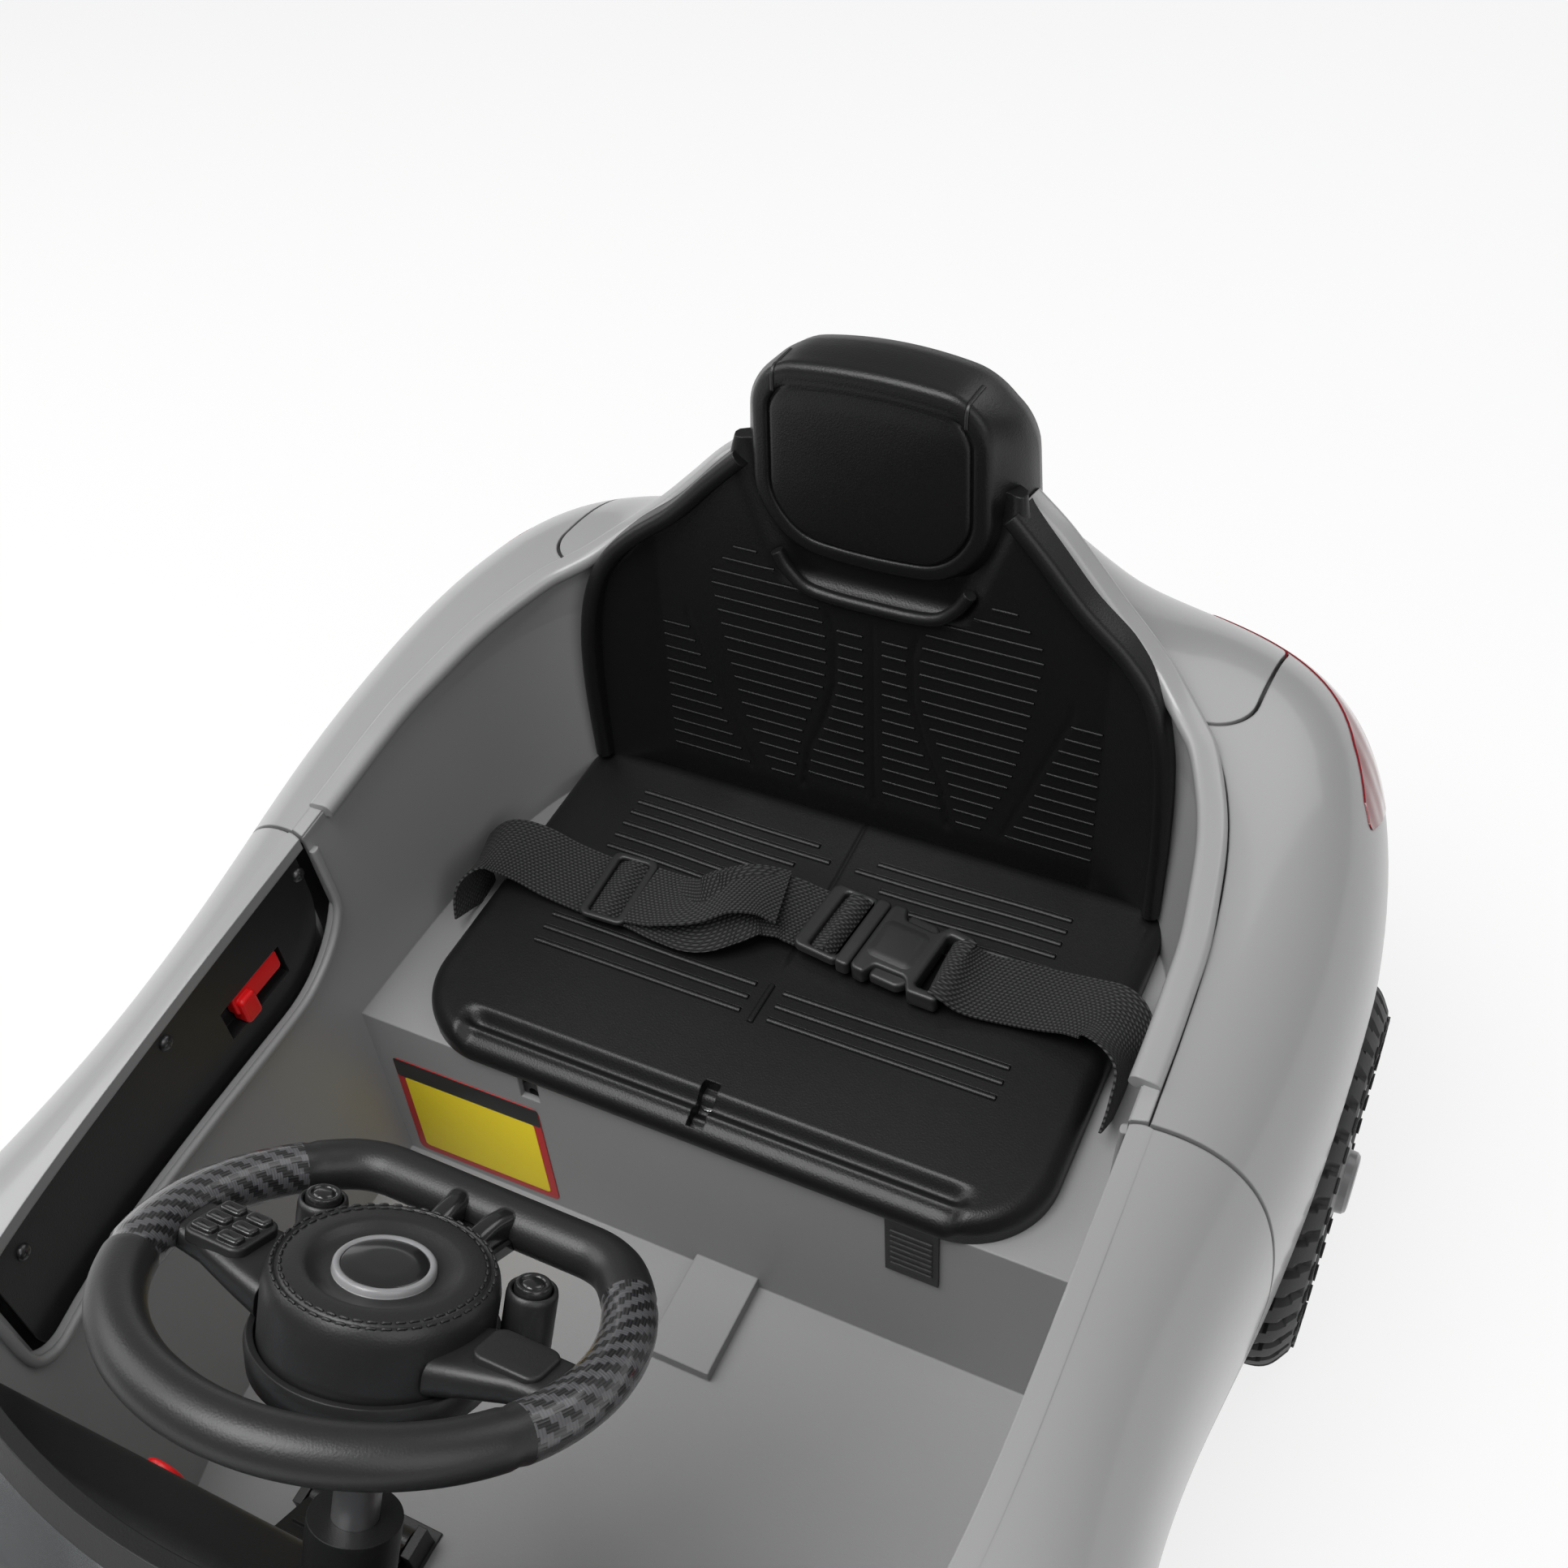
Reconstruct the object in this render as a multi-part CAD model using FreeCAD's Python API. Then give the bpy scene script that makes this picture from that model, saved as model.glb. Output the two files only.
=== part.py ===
import FreeCAD, Part
import math
import os

from FreeCAD import Vector

# Electric ride-on roadster for one child, every separate piece as its own closed solid.
# Frame: +Z up, the car faces -Y, +X is its left side, origin on the floor under its middle.

# Whole body, millimetres
BODY_LENGTH = 1060.0
BODY_WIDTH = 592.0
SILL_Z = 70.0
SKIN = 3.0
PANEL_GAP = 2.0
FIT = 0.4
RUNNING_FIT = 0.05

# Plan and section of the outer skin
NOSE_SQUARENESS = 4.4
TAIL_SQUARENESS = 4.7
SHOULDER_SQUARENESS = 6.0
WAIST_DEPTH = 0.08
WAIST_Y = 60.0
WAIST_SPAN = 150.0
TUCK_DEPTH = 0.045
TUCK_Z = 220.0

# Height of the skin along the car
NOSE_TOP_Z = 212.0
LAMP_TOP_Z = 250.0
BONNET_TOP_Z = 281.0
COWL_TOP_Z = 300.0
DOOR_FRONT_TOP_Z = 297.0
DOOR_MIDDLE_TOP_Z = 309.0
DOOR_REAR_TOP_Z = 313.0
ARCH_TOP_Z = 322.0
SEAT_TOP_Z = 335.0
DECK_TOP_Z = 340.0
TAIL_TOP_Z = 325.0
FENDER_RISE = 28.0
FENDER_X = 235.0
FENDER_SPAN_X = 60.0
FENDER_SPAN_Y = 110.0
FAIRING_RISE = 92.0
FAIRING_HALF_WIDTH = 125.0
FAIRING_LENGTH = 60.0

# Cockpit opening
COWL_Y = -185.0
COCKPIT_REAR_Y = 410.0
COCKPIT_HALF_WIDTH = 221.0
COCKPIT_SQUARENESS = 4.0
BEAD_WIDTH = 8.0
BEAD_HEIGHT = 7.0
BEAD_PROUD = 1.5
RAIL_GAP = 1.0
TUB_WALL = 3.5
TUB_SKIRT = 14.0
TUB_DRAFT = 0.06
FLOOR_Z = 66.0
FLOOR_THICK = 3.5
SEAT_BOX_Y = 145.0
SEAT_BOX_TOP_Z = 180.0
SEAT_BOX_LEAN = 4.5
BAY_HALF_WIDTH = 120.0
BAY_FRONT_Y = 162.0
BAY_REAR_Y = 340.0
FLOOR_BLOCK = (37.0, 60.0, 8.0)
FLOOR_BLOCK_Y = 108.0
FLOOR_BLOCK_X = 10.0
PORT_SIZE = (12.0, 26.0)
PORT_X = -100.0
PLATE_SIZE = (28.0, 1.6, 44.0)
PLATE_X = 118.0

# Wheels
WHEEL_RADIUS = 105.0
TYRE_WIDTH = 72.0
WHEEL_FACE_X = 284.0
REAR_TRACK_EXTRA = 10.0
RIM_RADIUS = 76.0
RIM_WALL = 5.0
RIM_RECESS = 9.0
SPOKE_COUNT = 10
SPOKE_WIDTH = 11.0
HUB_RADIUS = 21.0
CAP_RADIUS = 17.0
CAP_PROUD = 7.0
ARCH_CLEARANCE = 14.0
FRONT_ARCH_CLEARANCE = 30.0
FRONT_AXLE_Y = -341.0
REAR_AXLE_Y = 294.0
AXLE_RADIUS = 5.0
STUB_END_X = 282.0

# Doors
DOOR_FRONT_Y = -92.0
DOOR_REAR_Y = 168.0
DOOR_BASE_Z = 138.0
DOOR_CORNER = 62.0
DOOR_FRONT_CORNER = 24.0
DOOR_WALL = 3.0
DOOR_REAR_RELIEF = 14.0
PANEL_BASE_Z = 212.0
PANEL_THICK = 3.0
PANEL_INSET = 3.0
PANEL_CORNER = 58.0
TUB_DOOR_BASE_Z = 225.0
TUB_DOOR_CORNER = 66.0
LATCH_Y = 99.0
LATCH_Z = 250.0
LATCH_SIZE = (46.0, 21.0)
LATCH_GRIP = (24.0, 16.0)
LATCH_TRAVEL = 8.0
HINGE_PIN_RADIUS = 2.5
HINGE_BARREL_RADIUS = 5.0
HINGE_BASE_Z = 150.0
HINGE_LUG = 15.0
HINGE_BARREL = 40.0

# Seat
SEAT_HALF_WIDTH = 177.0
SEAT_FRONT_Y = 142.0
SEAT_REAR_Y = 364.0
SEAT_SIDE_Y = 345.0
SEAT_TOP = 197.0
SEAT_WALL = 3.0
SEAT_CORNER = 46.0
SEAT_EDGE = 11.0
SEAT_STEP_Y = 160.0
SEAT_STEP_HALF = 139.0
SEAT_STEP_RADIUS = 4.0
SEAT_CREASE_Y = 245.0
SEAT_CREASE = (1.2, 0.6)
SEAT_SCREW_Y = 164.0
SEAT_SLOT_RADIUS = 7.0
SEAT_SCREW_RADIUS = 2.4
BACK_BASE_Y = 367.0
BACK_BASE_Z = 180.4
BACK_LEAN = 5.5
BACK_HALF_WIDTH = 171.0
BACK_SHOULDER_Z = 326.0
BACK_TOP_HALF = 84.0
BACK_TAPER = 8.0
BACK_TOP_Z = 418.0
BACK_THICK = 8.0
BOLSTER_X = 128.0
BOLSTER_FORWARD = 19.0
HEAD_BASE_Z = 358.0
HEAD_TOP_Z = 478.0
HEAD_BASE_HALF = 84.0
HEAD_TOP_HALF = 60.0
HEAD_FRONT_Y = 381.0
HEAD_DEPTH = 54.0
HEAD_FOOT = 14.0
HEAD_WALL = 4.0
HEAD_CORNER = 30.0
PAD_PROUD = 5.0
PAD_INSET = 24.0
PAD_CORNER = 22.0

# Lap belt
WEB_WIDTH = 41.0
WEB_THICK = 1.6
BELT_Y = 272.0
BELT_CLEAR = 1.0
BUCKLE_LENGTH = 86.0
BUCKLE_WIDTH = 48.6
BUCKLE_HEIGHT = 13.0
BUCKLE_X = 52.0
PLUG_LENGTH = 34.0
ADJUSTER_X = -100.0
ADJUSTER_LENGTH = 28.0
ADJUSTER_HEIGHT = 5.0
WEB_SIDE_X = 182.0

# Steering wheel and column
COLUMN_TILT = 57.0
HUB_Y = -42.0
HUB_Z = 373.0
RIM_OUTER = 100.0
RIM_TUBE = 10.5
RIM_FLAT = 81.0
RIM_DROP = 12.0
RIM_CORNER = 28.0
HUB_BASE_DEPTH = 14.0
PAD_RADIUS = 42.5
PAD_DEPTH = 30.0
COLUMN_RADIUS = 9.0
COLUMN_LENGTH = 325.0
BUTTON_RADIUS = 7.0
BUTTON_X = 47.0
BUTTON_DOWN = 25.0
BUTTON_TRAVEL = 3.0
CRANK_RADIUS = 20.0
CRANK_PIN_RADIUS = 4.0

# Front axle and steering linkage
KINGPIN_X = 186.0
KINGPIN_RADIUS = 6.0
KNUCKLE_RADIUS = 11.0
KNUCKLE_HALF = 20.0
STEER_ARM = 44.0
ARM_PIN_RADIUS = 4.0
EYE_CLEAR = 0.5
CRANK_SLOT_CLEAR = 0.8
TIE_ROD_Z = 75.0
TIE_ROD_SIZE = (14.0, 6.0)
BEAM_SIZE = (24.0, 16.0)
LUG_THICK = 7.0

# Chassis pan and drive
PAN_Z = 50.0
PAN_THICK = 4.0
PAN_HALF_WIDTH = 188.0
PAN_NOSE_HALF = 110.0
PAN_NOSE_Y = -430.0
PAN_TAIL_Y = 440.0
RIB_X = 120.0
RIB_THICK = 5.0
BEARING_X = 92.0
GEAR_MODULE = 1.5
WHEEL_TEETH = 48
PINION_TEETH = 10
GEAR_WIDTH = 10.0
GEARBOX_X = 168.0
GEARBOX_WIDTH = 30.0
GEARBOX_WALL = 3.0
GEARBOX_MARGIN = 6.0
DRIVE_HUB_RADIUS = 15.0
MOTOR_RADIUS = 18.0
MOTOR_LENGTH = 56.0
SHAFT_RADIUS = 1.6

# Electrics
BATTERY_SIZE = (151.0, 65.0, 94.0)
BATTERY_Y = 196.0
CONTROL_SIZE = (90.0, 60.0, 32.0)

# Dashboard, pedal and switches
DASH_REAR_Y = -112.0
DASH_TOP_Z = 286.0
DASH_BASE_Z = 200.0
DASH_WALL = 3.0
POWER_X = -104.0
POWER_RADIUS = 9.0
SWITCH_X = 104.0
SWITCH_SIZE = (16.0, 26.0)
SWITCH_Z = 238.0
SWITCH_PIN_RADIUS = 0.9
PEDAL_X = -92.0
PEDAL_Y = -58.0
PEDAL_SIZE = (58.0, 96.0, 8.0)
PEDAL_ANGLE = 32.0
PEDAL_PIN_RADIUS = 3.5
PEDAL_PIVOT_RISE = 11.0

# Front end, lamps, screen, mirrors
GRILLE_HALF_WIDTH = 118.0
GRILLE_BASE_Z = 96.0
GRILLE_TOP_Z = 172.0
GRILLE_SLATS = 15
INTAKE_X = 205.0
INTAKE_SIZE = (70.0, 34.0)
INTAKE_Z = 118.0
LAMP_FRONT_Y = -478.0
LAMP_REAR_Y = -392.0
LAMP_INNER_X = 168.0
LAMP_OUTER_X = 262.0
TAIL_LAMP_BASE_Z = 256.0
TAIL_LAMP_TOP_Z = 298.0
TAIL_LAMP_TIP_Z = 285.0
TAIL_LAMP_FRONT_Y = 370.0
TAIL_LAMP_INNER_X = 150.0
BONNET_HALF_WIDTH = 150.0
BONNET_FRONT_Y = -452.0
BONNET_REAR_Y = -214.0
DECK_HALF_WIDTH = 197.0
DECK_FRONT_Y = 372.0
DECK_CORNER = 26.0
DECK_BASE_Z = 258.0
SCREEN_BASE_Y = -212.0
SCREEN_HALF_WIDTH = 186.0
SCREEN_RISE = 84.0
SCREEN_RAKE = 50.0
SCREEN_SWEEP = 52.0
SCREEN_THICK = 2.4
FRAME_BORDER = 11.0
MIRROR_Y = -140.0
MIRROR_SIZE = (62.0, 34.0, 42.0)
LIP_HEIGHT = 14.0
LIP_DEPTH = 44.0
LIP_FRONT_SPREAD = 22.0
LIP_REAR_SPREAD = 29.0

HALF_LENGTH = BODY_LENGTH / 2.0
HALF_WIDTH = BODY_WIDTH / 2.0
COCKPIT_MIDDLE_Y = (COWL_Y + COCKPIT_REAR_Y) / 2.0
COCKPIT_HALF_LENGTH = (COCKPIT_REAR_Y - COWL_Y) / 2.0
REAR_ARCH_RADIUS = WHEEL_RADIUS + ARCH_CLEARANCE
FRONT_ARCH_RADIUS = WHEEL_RADIUS + FRONT_ARCH_CLEARANCE
WHEEL_INNER_X = WHEEL_FACE_X - TYRE_WIDTH
TILT = math.radians(COLUMN_TILT)
COLUMN_UP = Vector(0, math.cos(TILT), math.sin(TILT))
COLUMN_REAR = Vector(0, math.sin(TILT), -math.cos(TILT))
HUB = Vector(0, HUB_Y, HUB_Z)
GEAR_CENTRES = GEAR_MODULE * (WHEEL_TEETH + PINION_TEETH) / 2.0 + 0.2
PINION_Y = REAR_AXLE_Y + GEAR_CENTRES
FAR = 700.0

TOP_LINE = (
    (-HALF_LENGTH, NOSE_TOP_Z),
    (FRONT_AXLE_Y - 99.0, LAMP_TOP_Z),
    (FRONT_AXLE_Y, BONNET_TOP_Z),
    (COWL_Y, COWL_TOP_Z),
    (DOOR_FRONT_Y + 27.0, DOOR_FRONT_TOP_Z),
    (WAIST_Y + 10.0, DOOR_MIDDLE_TOP_Z),
    (DOOR_REAR_Y + 2.0, DOOR_REAR_TOP_Z),
    (REAR_AXLE_Y - 24.0, ARCH_TOP_Z),
    (DECK_FRONT_Y, SEAT_TOP_Z),
    (HALF_LENGTH - 80.0, DECK_TOP_Z),
    (HALF_LENGTH, TAIL_TOP_Z),
)


def smooth_line(stations, where):
    """Smooth curve through (place, height) stations."""
    if where <= stations[0][0]:
        return stations[0][1]
    if where >= stations[-1][0]:
        return stations[-1][1]
    index = 0
    while stations[index + 1][0] < where:
        index += 1
    left, right = stations[index], stations[index + 1]
    before = stations[max(index - 1, 0)]
    after = stations[min(index + 2, len(stations) - 1)]
    span = right[0] - left[0]
    slope_left = (right[1] - before[1]) / (right[0] - before[0])
    slope_right = (after[1] - left[1]) / (after[0] - left[0])
    t = (where - left[0]) / span
    rise = right[1] - left[1]
    bend = slope_left * span + slope_right * span - 2.0 * rise
    return left[1] + t * (slope_left * span + t * (rise - slope_left * span - bend + t * bend))


def bump(distance, span, power=2.0):
    """Rounded hump that fades out over the span."""
    return math.exp(-abs(distance / span) ** power)


def plan_outline(angle):
    """Point of the body's plan outline in a direction from the middle of the car."""
    cosine, sine = math.cos(angle), math.sin(angle)
    power = NOSE_SQUARENESS if sine < 0 else TAIL_SQUARENESS
    reach = (abs(cosine / HALF_WIDTH) ** power + abs(sine / HALF_LENGTH) ** power) ** (-1.0 / power)
    x, y = reach * cosine, reach * sine
    return x * (1.0 - WAIST_DEPTH * bump(y - WAIST_Y, WAIST_SPAN)), y


def top_height(x, y):
    """Height of the body's upper form before the shoulder rolls over."""
    height = smooth_line(TOP_LINE, y)
    height += FENDER_RISE * bump(abs(x) - FENDER_X, FENDER_SPAN_X) * bump(y - FRONT_AXLE_Y, FENDER_SPAN_Y)
    behind = max(0.0, y - COCKPIT_REAR_Y + 10.0)
    return height + FAIRING_RISE * bump(x, FAIRING_HALF_WIDTH, 4.0) * (
        bump(behind, FAIRING_LENGTH) if y > 0 else 0.0) * bump(min(0.0, y - COCKPIT_REAR_Y), 60.0)


def rim_share(angle):
    """Share of the way out from the middle at which the cockpit opening ends."""
    ox, oy = plan_outline(angle)
    low, high = 0.05, 1.0
    for _ in range(40):
        share = (low + high) / 2.0
        across = abs(share * ox / COCKPIT_HALF_WIDTH) ** COCKPIT_SQUARENESS
        along = abs((share * oy - COCKPIT_MIDDLE_Y) / COCKPIT_HALF_LENGTH) ** COCKPIT_SQUARENESS
        if across + along < 1.0:
            low = share
        else:
            high = share
    return share


def skin_point(angle, lift):
    """Point of the outer skin: angle round the car, lift from the sill (0) towards the top."""
    power = SHOULDER_SQUARENESS
    reach = (math.cos(lift) ** power + math.sin(lift) ** power) ** (-1.0 / power)
    share, rise = reach * math.cos(lift), reach * math.sin(lift)
    ox, oy = plan_outline(angle)
    x, y = share * ox, share * oy
    z = SILL_Z + (top_height(x, y) - SILL_Z) * rise
    tuck = 1.0 - TUCK_DEPTH * max(0.0, (TUCK_Z - z) / (TUCK_Z - SILL_Z)) ** 2
    return Vector(x * tuck, y * tuck, z)


def skin_normal(angle, lift):
    """Outward direction of the skin at a point."""
    step = 0.002
    low = max(0.0, lift - step)
    along = skin_point(angle + step, lift) - skin_point(angle - step, lift)
    up = skin_point(angle, lift + step) - skin_point(angle, low)
    return along.cross(up).normalize()


def rim_lift(angle):
    """Lift of the skin at the cockpit rim."""
    share = rim_share(angle)
    rise = (1.0 - share ** SHOULDER_SQUARENESS) ** (1.0 / SHOULDER_SQUARENESS)
    return math.atan2(rise, share)


def rim_point(angle):
    """Point of the cockpit rim on the skin."""
    return skin_point(angle, rim_lift(angle))


def angle_at(y):
    """Angle at which the cockpit rim on the car's left side passes a place along the car."""
    low, high = -1.5, 1.5
    for _ in range(40):
        middle = (low + high) / 2.0
        if rim_point(middle).y < y:
            low = middle
        else:
            high = middle
    return middle


def spread(first, last, count):
    """Even run of values from first to last."""
    return [first + (last - first) * i / (count - 1.0) for i in range(count)]


def skin_grid(angles, depth, rows, low=0.0, stop=1.0):
    """Grid of skin points set in by a depth, from the sill to the cockpit rim."""
    grid = []
    for angle in angles:
        lifts = spread(low, rim_lift(angle) * stop, rows)
        grid.append([skin_point(angle, lift) - skin_normal(angle, lift) * depth for lift in lifts])
    return grid


def patch_solid(outer, inner):
    """Closed solid between two grids of points."""
    surfaces = []
    for grid in (outer, inner):
        surface = Part.BSplineSurface()
        surface.interpolate(grid)
        surfaces.append(surface)
    faces = [surface.toShape() for surface in surfaces]
    (u0, u1, v0, v1), (a0, a1, b0, b1) = [surface.bounds() for surface in surfaces]
    first, second = surfaces
    sides = (
        (first.uIso(u0), second.uIso(a0)),
        (first.uIso(u1), second.uIso(a1)),
        (first.vIso(v0), second.vIso(b0)),
        (first.vIso(v1), second.vIso(b1)),
    )
    for one, other in sides:
        faces.append(Part.makeRuledSurface(one.toShape(), other.toShape()))
    shell = Part.makeShell(faces)
    shell.sewShape()
    solid = Part.Solid(shell)
    if solid.Volume < 0:
        solid.reverse()
    return solid


def box(size, centre):
    """Box from its size and the middle of its base."""
    corner = Vector(centre[0] - size[0] / 2.0, centre[1] - size[1] / 2.0, centre[2])
    return Part.makeBox(size[0], size[1], size[2], corner)


def rounded_polygon(points, radii):
    """Closed wire through 3-D points with rounded corners."""
    edges = []
    count = len(points)
    joints = []
    for i, point in enumerate(points):
        back = (points[i - 1] - point).normalize()
        ahead = (points[(i + 1) % count] - point).normalize()
        radius = radii[i] if isinstance(radii, (list, tuple)) else radii
        if radius <= 0.01:
            joints.append((point, None, point))
            continue
        half = back.getAngle(ahead) / 2.0
        reach = radius / math.tan(half)
        centre = point + (back + ahead).normalize() * (radius / math.sin(half))
        middle = centre + (point - centre).normalize() * radius
        joints.append((point + back * reach, middle, point + ahead * reach))
    for i, (start, middle, end) in enumerate(joints):
        if middle is not None:
            edges.append(Part.Arc(start, middle, end).toShape())
        following = joints[(i + 1) % count][0]
        if (following - end).Length > 1e-6:
            edges.append(Part.makeLine(end, following))
    return Part.Wire(edges)


def prism(points, radii, direction):
    """Extruded rounded polygon."""
    return Part.Face(rounded_polygon(points, radii)).extrude(direction)


def plan_prism(outline, radii, low=0.0, high=FAR):
    """Upright prism over a plan outline."""
    points = [Vector(x, y, low) for x, y in outline]
    return prism(points, radii, Vector(0, 0, high - low))


def side_prism(outline, radii, x_from=120.0, x_to=FAR):
    """Prism over a side-view outline, on the car's left."""
    points = [Vector(x_from, y, z) for y, z in outline]
    return prism(points, radii, Vector(x_to - x_from, 0, 0))


def mirrored(shape):
    """The same piece on the car's right side."""
    return shape.mirror(Vector(0, 0, 0), Vector(1, 0, 0))


def both(shape):
    """A piece and its mirror image."""
    return [shape, mirrored(shape)]


def one(shapes):
    """Several overlapping shapes fused to one solid."""
    shapes = list(shapes)
    result = shapes[0].fuse(shapes[1:]) if len(shapes) > 1 else shapes[0]
    return result.removeSplitter()


def cylinder(radius, length, start, direction):
    """Round bar from a start point."""
    return Part.makeCylinder(radius, length, start, direction)


def biggest(shape):
    """Largest solid of a shape."""
    return max(shape.Solids, key=lambda solid: solid.Volume)


def cockpit_curve(inset, height, points=48):
    """Closed curve of the cockpit opening, set in by a distance, at a height."""
    half_x, half_y = COCKPIT_HALF_WIDTH - inset, COCKPIT_HALF_LENGTH - inset
    power = COCKPIT_SQUARENESS
    curve = []
    for i in range(points):
        angle = 2.0 * math.pi * i / points
        cosine, sine = math.cos(angle), math.sin(angle)
        reach = (abs(cosine / half_x) ** power + abs(sine / half_y) ** power) ** (-1.0 / power)
        curve.append(Vector(reach * cosine, COCKPIT_MIDDLE_Y + reach * sine, height))
    spline = Part.BSplineCurve()
    spline.interpolate(curve, PeriodicFlag=True)
    return Part.Wire([spline.toShape()])


def cockpit_x(y, inset=0.0):
    """Half width of the cockpit opening at a place along the car."""
    along = abs((y - COCKPIT_MIDDLE_Y) / (COCKPIT_HALF_LENGTH - inset)) ** COCKPIT_SQUARENESS
    return (COCKPIT_HALF_WIDTH - inset) * max(0.0, 1.0 - along) ** (1.0 / COCKPIT_SQUARENESS)


def cockpit_volume(inset, low, high=COCKPIT_REAR_Y + 60.0):
    """Solid that fills the cockpit opening, narrowing downwards by the mould's draft."""
    waist = COWL_TOP_Z
    wires = [cockpit_curve(inset + TUB_DRAFT * (waist - low), low), cockpit_curve(inset, waist)]
    lower = Part.makeLoft(wires, True, True)
    upper = Part.Face(cockpit_curve(inset, waist)).extrude(Vector(0, 0, high - waist))
    return lower.fuse(upper)


def rim_slab(low, high=None):
    """Slab that follows the height of the cockpit rim, as two halves."""
    halves = []
    for first in (-math.pi, 0.0):
        bottom, top = [], []
        for angle in spread(first + 0.05, first + math.pi - 0.05, 45):
            rim = rim_point(angle)
            row = [Vector(rim.x * s, COCKPIT_MIDDLE_Y + (rim.y - COCKPIT_MIDDLE_Y) * s, rim.z)
                   for s in (0.7, 0.9, 1.1, 1.3)]
            bottom.append([point + Vector(0, 0, low) for point in row])
            top.append([Vector(p.x, p.y, p.z + high if high is not None else FAR) for p in row])
        halves.append(patch_solid(top, bottom))
    return halves


def skin_z(x, y):
    """Height of the outer skin over a plan point on the car's left side or middle."""
    x = abs(x)
    low, high = -math.pi / 2.0, math.pi / 2.0
    for _ in range(40):
        angle = (low + high) / 2.0
        ox, oy = plan_outline(angle)
        if ox * y - oy * x > 0:
            low = angle
        else:
            high = angle
    ox, oy = plan_outline(angle)
    share = math.hypot(x, y) / math.hypot(ox, oy)
    rise = max(0.0, 1.0 - share ** SHOULDER_SQUARENESS) ** (1.0 / SHOULDER_SQUARENESS)
    return SILL_Z + (top_height(x, y) - SILL_Z) * rise


def widest_skin_x(y):
    """Largest half width of the skin at a place along the car."""
    best = 0.0
    for lift in spread(0.2, 0.9, 36):
        low, high = -1.2, 1.2
        for _ in range(30):
            angle = (low + high) / 2.0
            if skin_point(angle, lift).y < y:
                low = angle
            else:
                high = angle
        best = max(best, skin_point(angle, lift).x)
    return best


HINGE_Y = DOOR_FRONT_Y - PANEL_GAP
HINGE_X = widest_skin_x(HINGE_Y) - 1.0
FRONT_ANGLES = spread(-math.pi, 0.0, 57)
REAR_ANGLES = spread(0.0, math.pi, 57)


def skin_layer(angles, outer, inner, rows=24):
    """Layer of the body skin between two depths."""
    return patch_solid(skin_grid(angles, outer, rows), skin_grid(angles, inner, rows))


def door_outline(grow, rear_grow):
    """Side view of a door, grown outwards by a distance; the top stays open."""
    top = DECK_TOP_Z + FAIRING_RISE
    front, rear = DOOR_FRONT_Y - grow, DOOR_REAR_Y + rear_grow
    base = DOOR_BASE_Z - grow
    outline = ((front, top), (front, base), (rear, base), (rear, top))
    return outline, [0.0, DOOR_FRONT_CORNER + grow, DOOR_CORNER + grow, 0.0]


def door_prism(grow, rear_grow=None):
    """Cutter with the side view of a door, on the car's left."""
    outline, radii = door_outline(grow, grow if rear_grow is None else rear_grow)
    return side_prism(outline, radii)


def door_reach(extra):
    """Round block about the left hinge line, as far as the door's rear edge swings."""
    radius = DOOR_REAR_Y - HINGE_Y + extra
    return cylinder(radius, FAR, Vector(HINGE_X, HINGE_Y, 0), Vector(0, 0, 1))


def hinge_cylinder(radius, low, high):
    """Round bar on the left door's hinge line."""
    return cylinder(radius, high - low, Vector(HINGE_X, HINGE_Y, low), Vector(0, 0, 1))


def hinge_levels():
    """Heights at which the hinge lugs and the barrel begin and end."""
    barrel = HINGE_BASE_Z + HINGE_LUG + FIT
    upper = barrel + HINGE_BARREL + FIT
    return HINGE_BASE_Z, HINGE_BASE_Z + HINGE_LUG, barrel, barrel + HINGE_BARREL, upper, upper + HINGE_LUG


def arch_cutter(axle_y, radius):
    """Round cutters for the pair of wheel arches on an axle."""
    start = Vector(WHEEL_INNER_X - ARCH_CLEARANCE, axle_y, WHEEL_RADIUS)
    return both(cylinder(radius, FAR, start, Vector(1, 0, 0)))


def lamp_prism(grow):
    """Plan outline of the left headlamp."""
    inner, outer = LAMP_INNER_X - grow, LAMP_OUTER_X + grow
    front, rear = LAMP_FRONT_Y - grow, LAMP_REAR_Y + grow
    outline = (
        (inner, front + 12.0),
        (outer - 34.0, front),
        (outer, rear - 28.0),
        (outer - 6.0, rear),
        (outer - 42.0, rear - 8.0),
        (inner + 10.0, rear - 40.0),
    )
    return plan_prism(outline, 6.0, SILL_Z + 118.0 - grow)


def tail_lamp_prism(grow):
    """Left tail lamp: its outline from the rear, drawn to a point at its front end."""
    base, top = TAIL_LAMP_BASE_Z - grow, TAIL_LAMP_TOP_Z + grow
    inner = TAIL_LAMP_INNER_X - grow
    front = TAIL_LAMP_FRONT_Y - grow
    outline = ((inner, base + 12.0), (inner, top - 4.0), (HALF_WIDTH + 20.0, top), (HALF_WIDTH + 20.0, base))
    from_rear = prism([Vector(x, 0.0, z) for x, z in outline], 6.0, Vector(0, FAR, 0))
    side = ((front, TAIL_LAMP_TIP_Z), (front + 50.0, base - 1.0), (FAR, base - 1.0), (FAR, top + 1.0),
            (front + 62.0, top + 1.0), (front + 12.0, TAIL_LAMP_TIP_Z + 6.0))
    from_side = prism([Vector(0.0, y, z) for y, z in side], 2.0, Vector(FAR, 0, 0))
    return from_rear.common(from_side)


def deck_prism(grow):
    """Plan outline of the rear deck panel."""
    half, front = DECK_HALF_WIDTH + grow, DECK_FRONT_Y - grow
    rear = HALF_LENGTH - 46.0 + grow
    outline = ((half, front), (half, rear), (-half, rear), (-half, front))
    return plan_prism(outline, DECK_CORNER + grow, DECK_BASE_Z)


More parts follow.
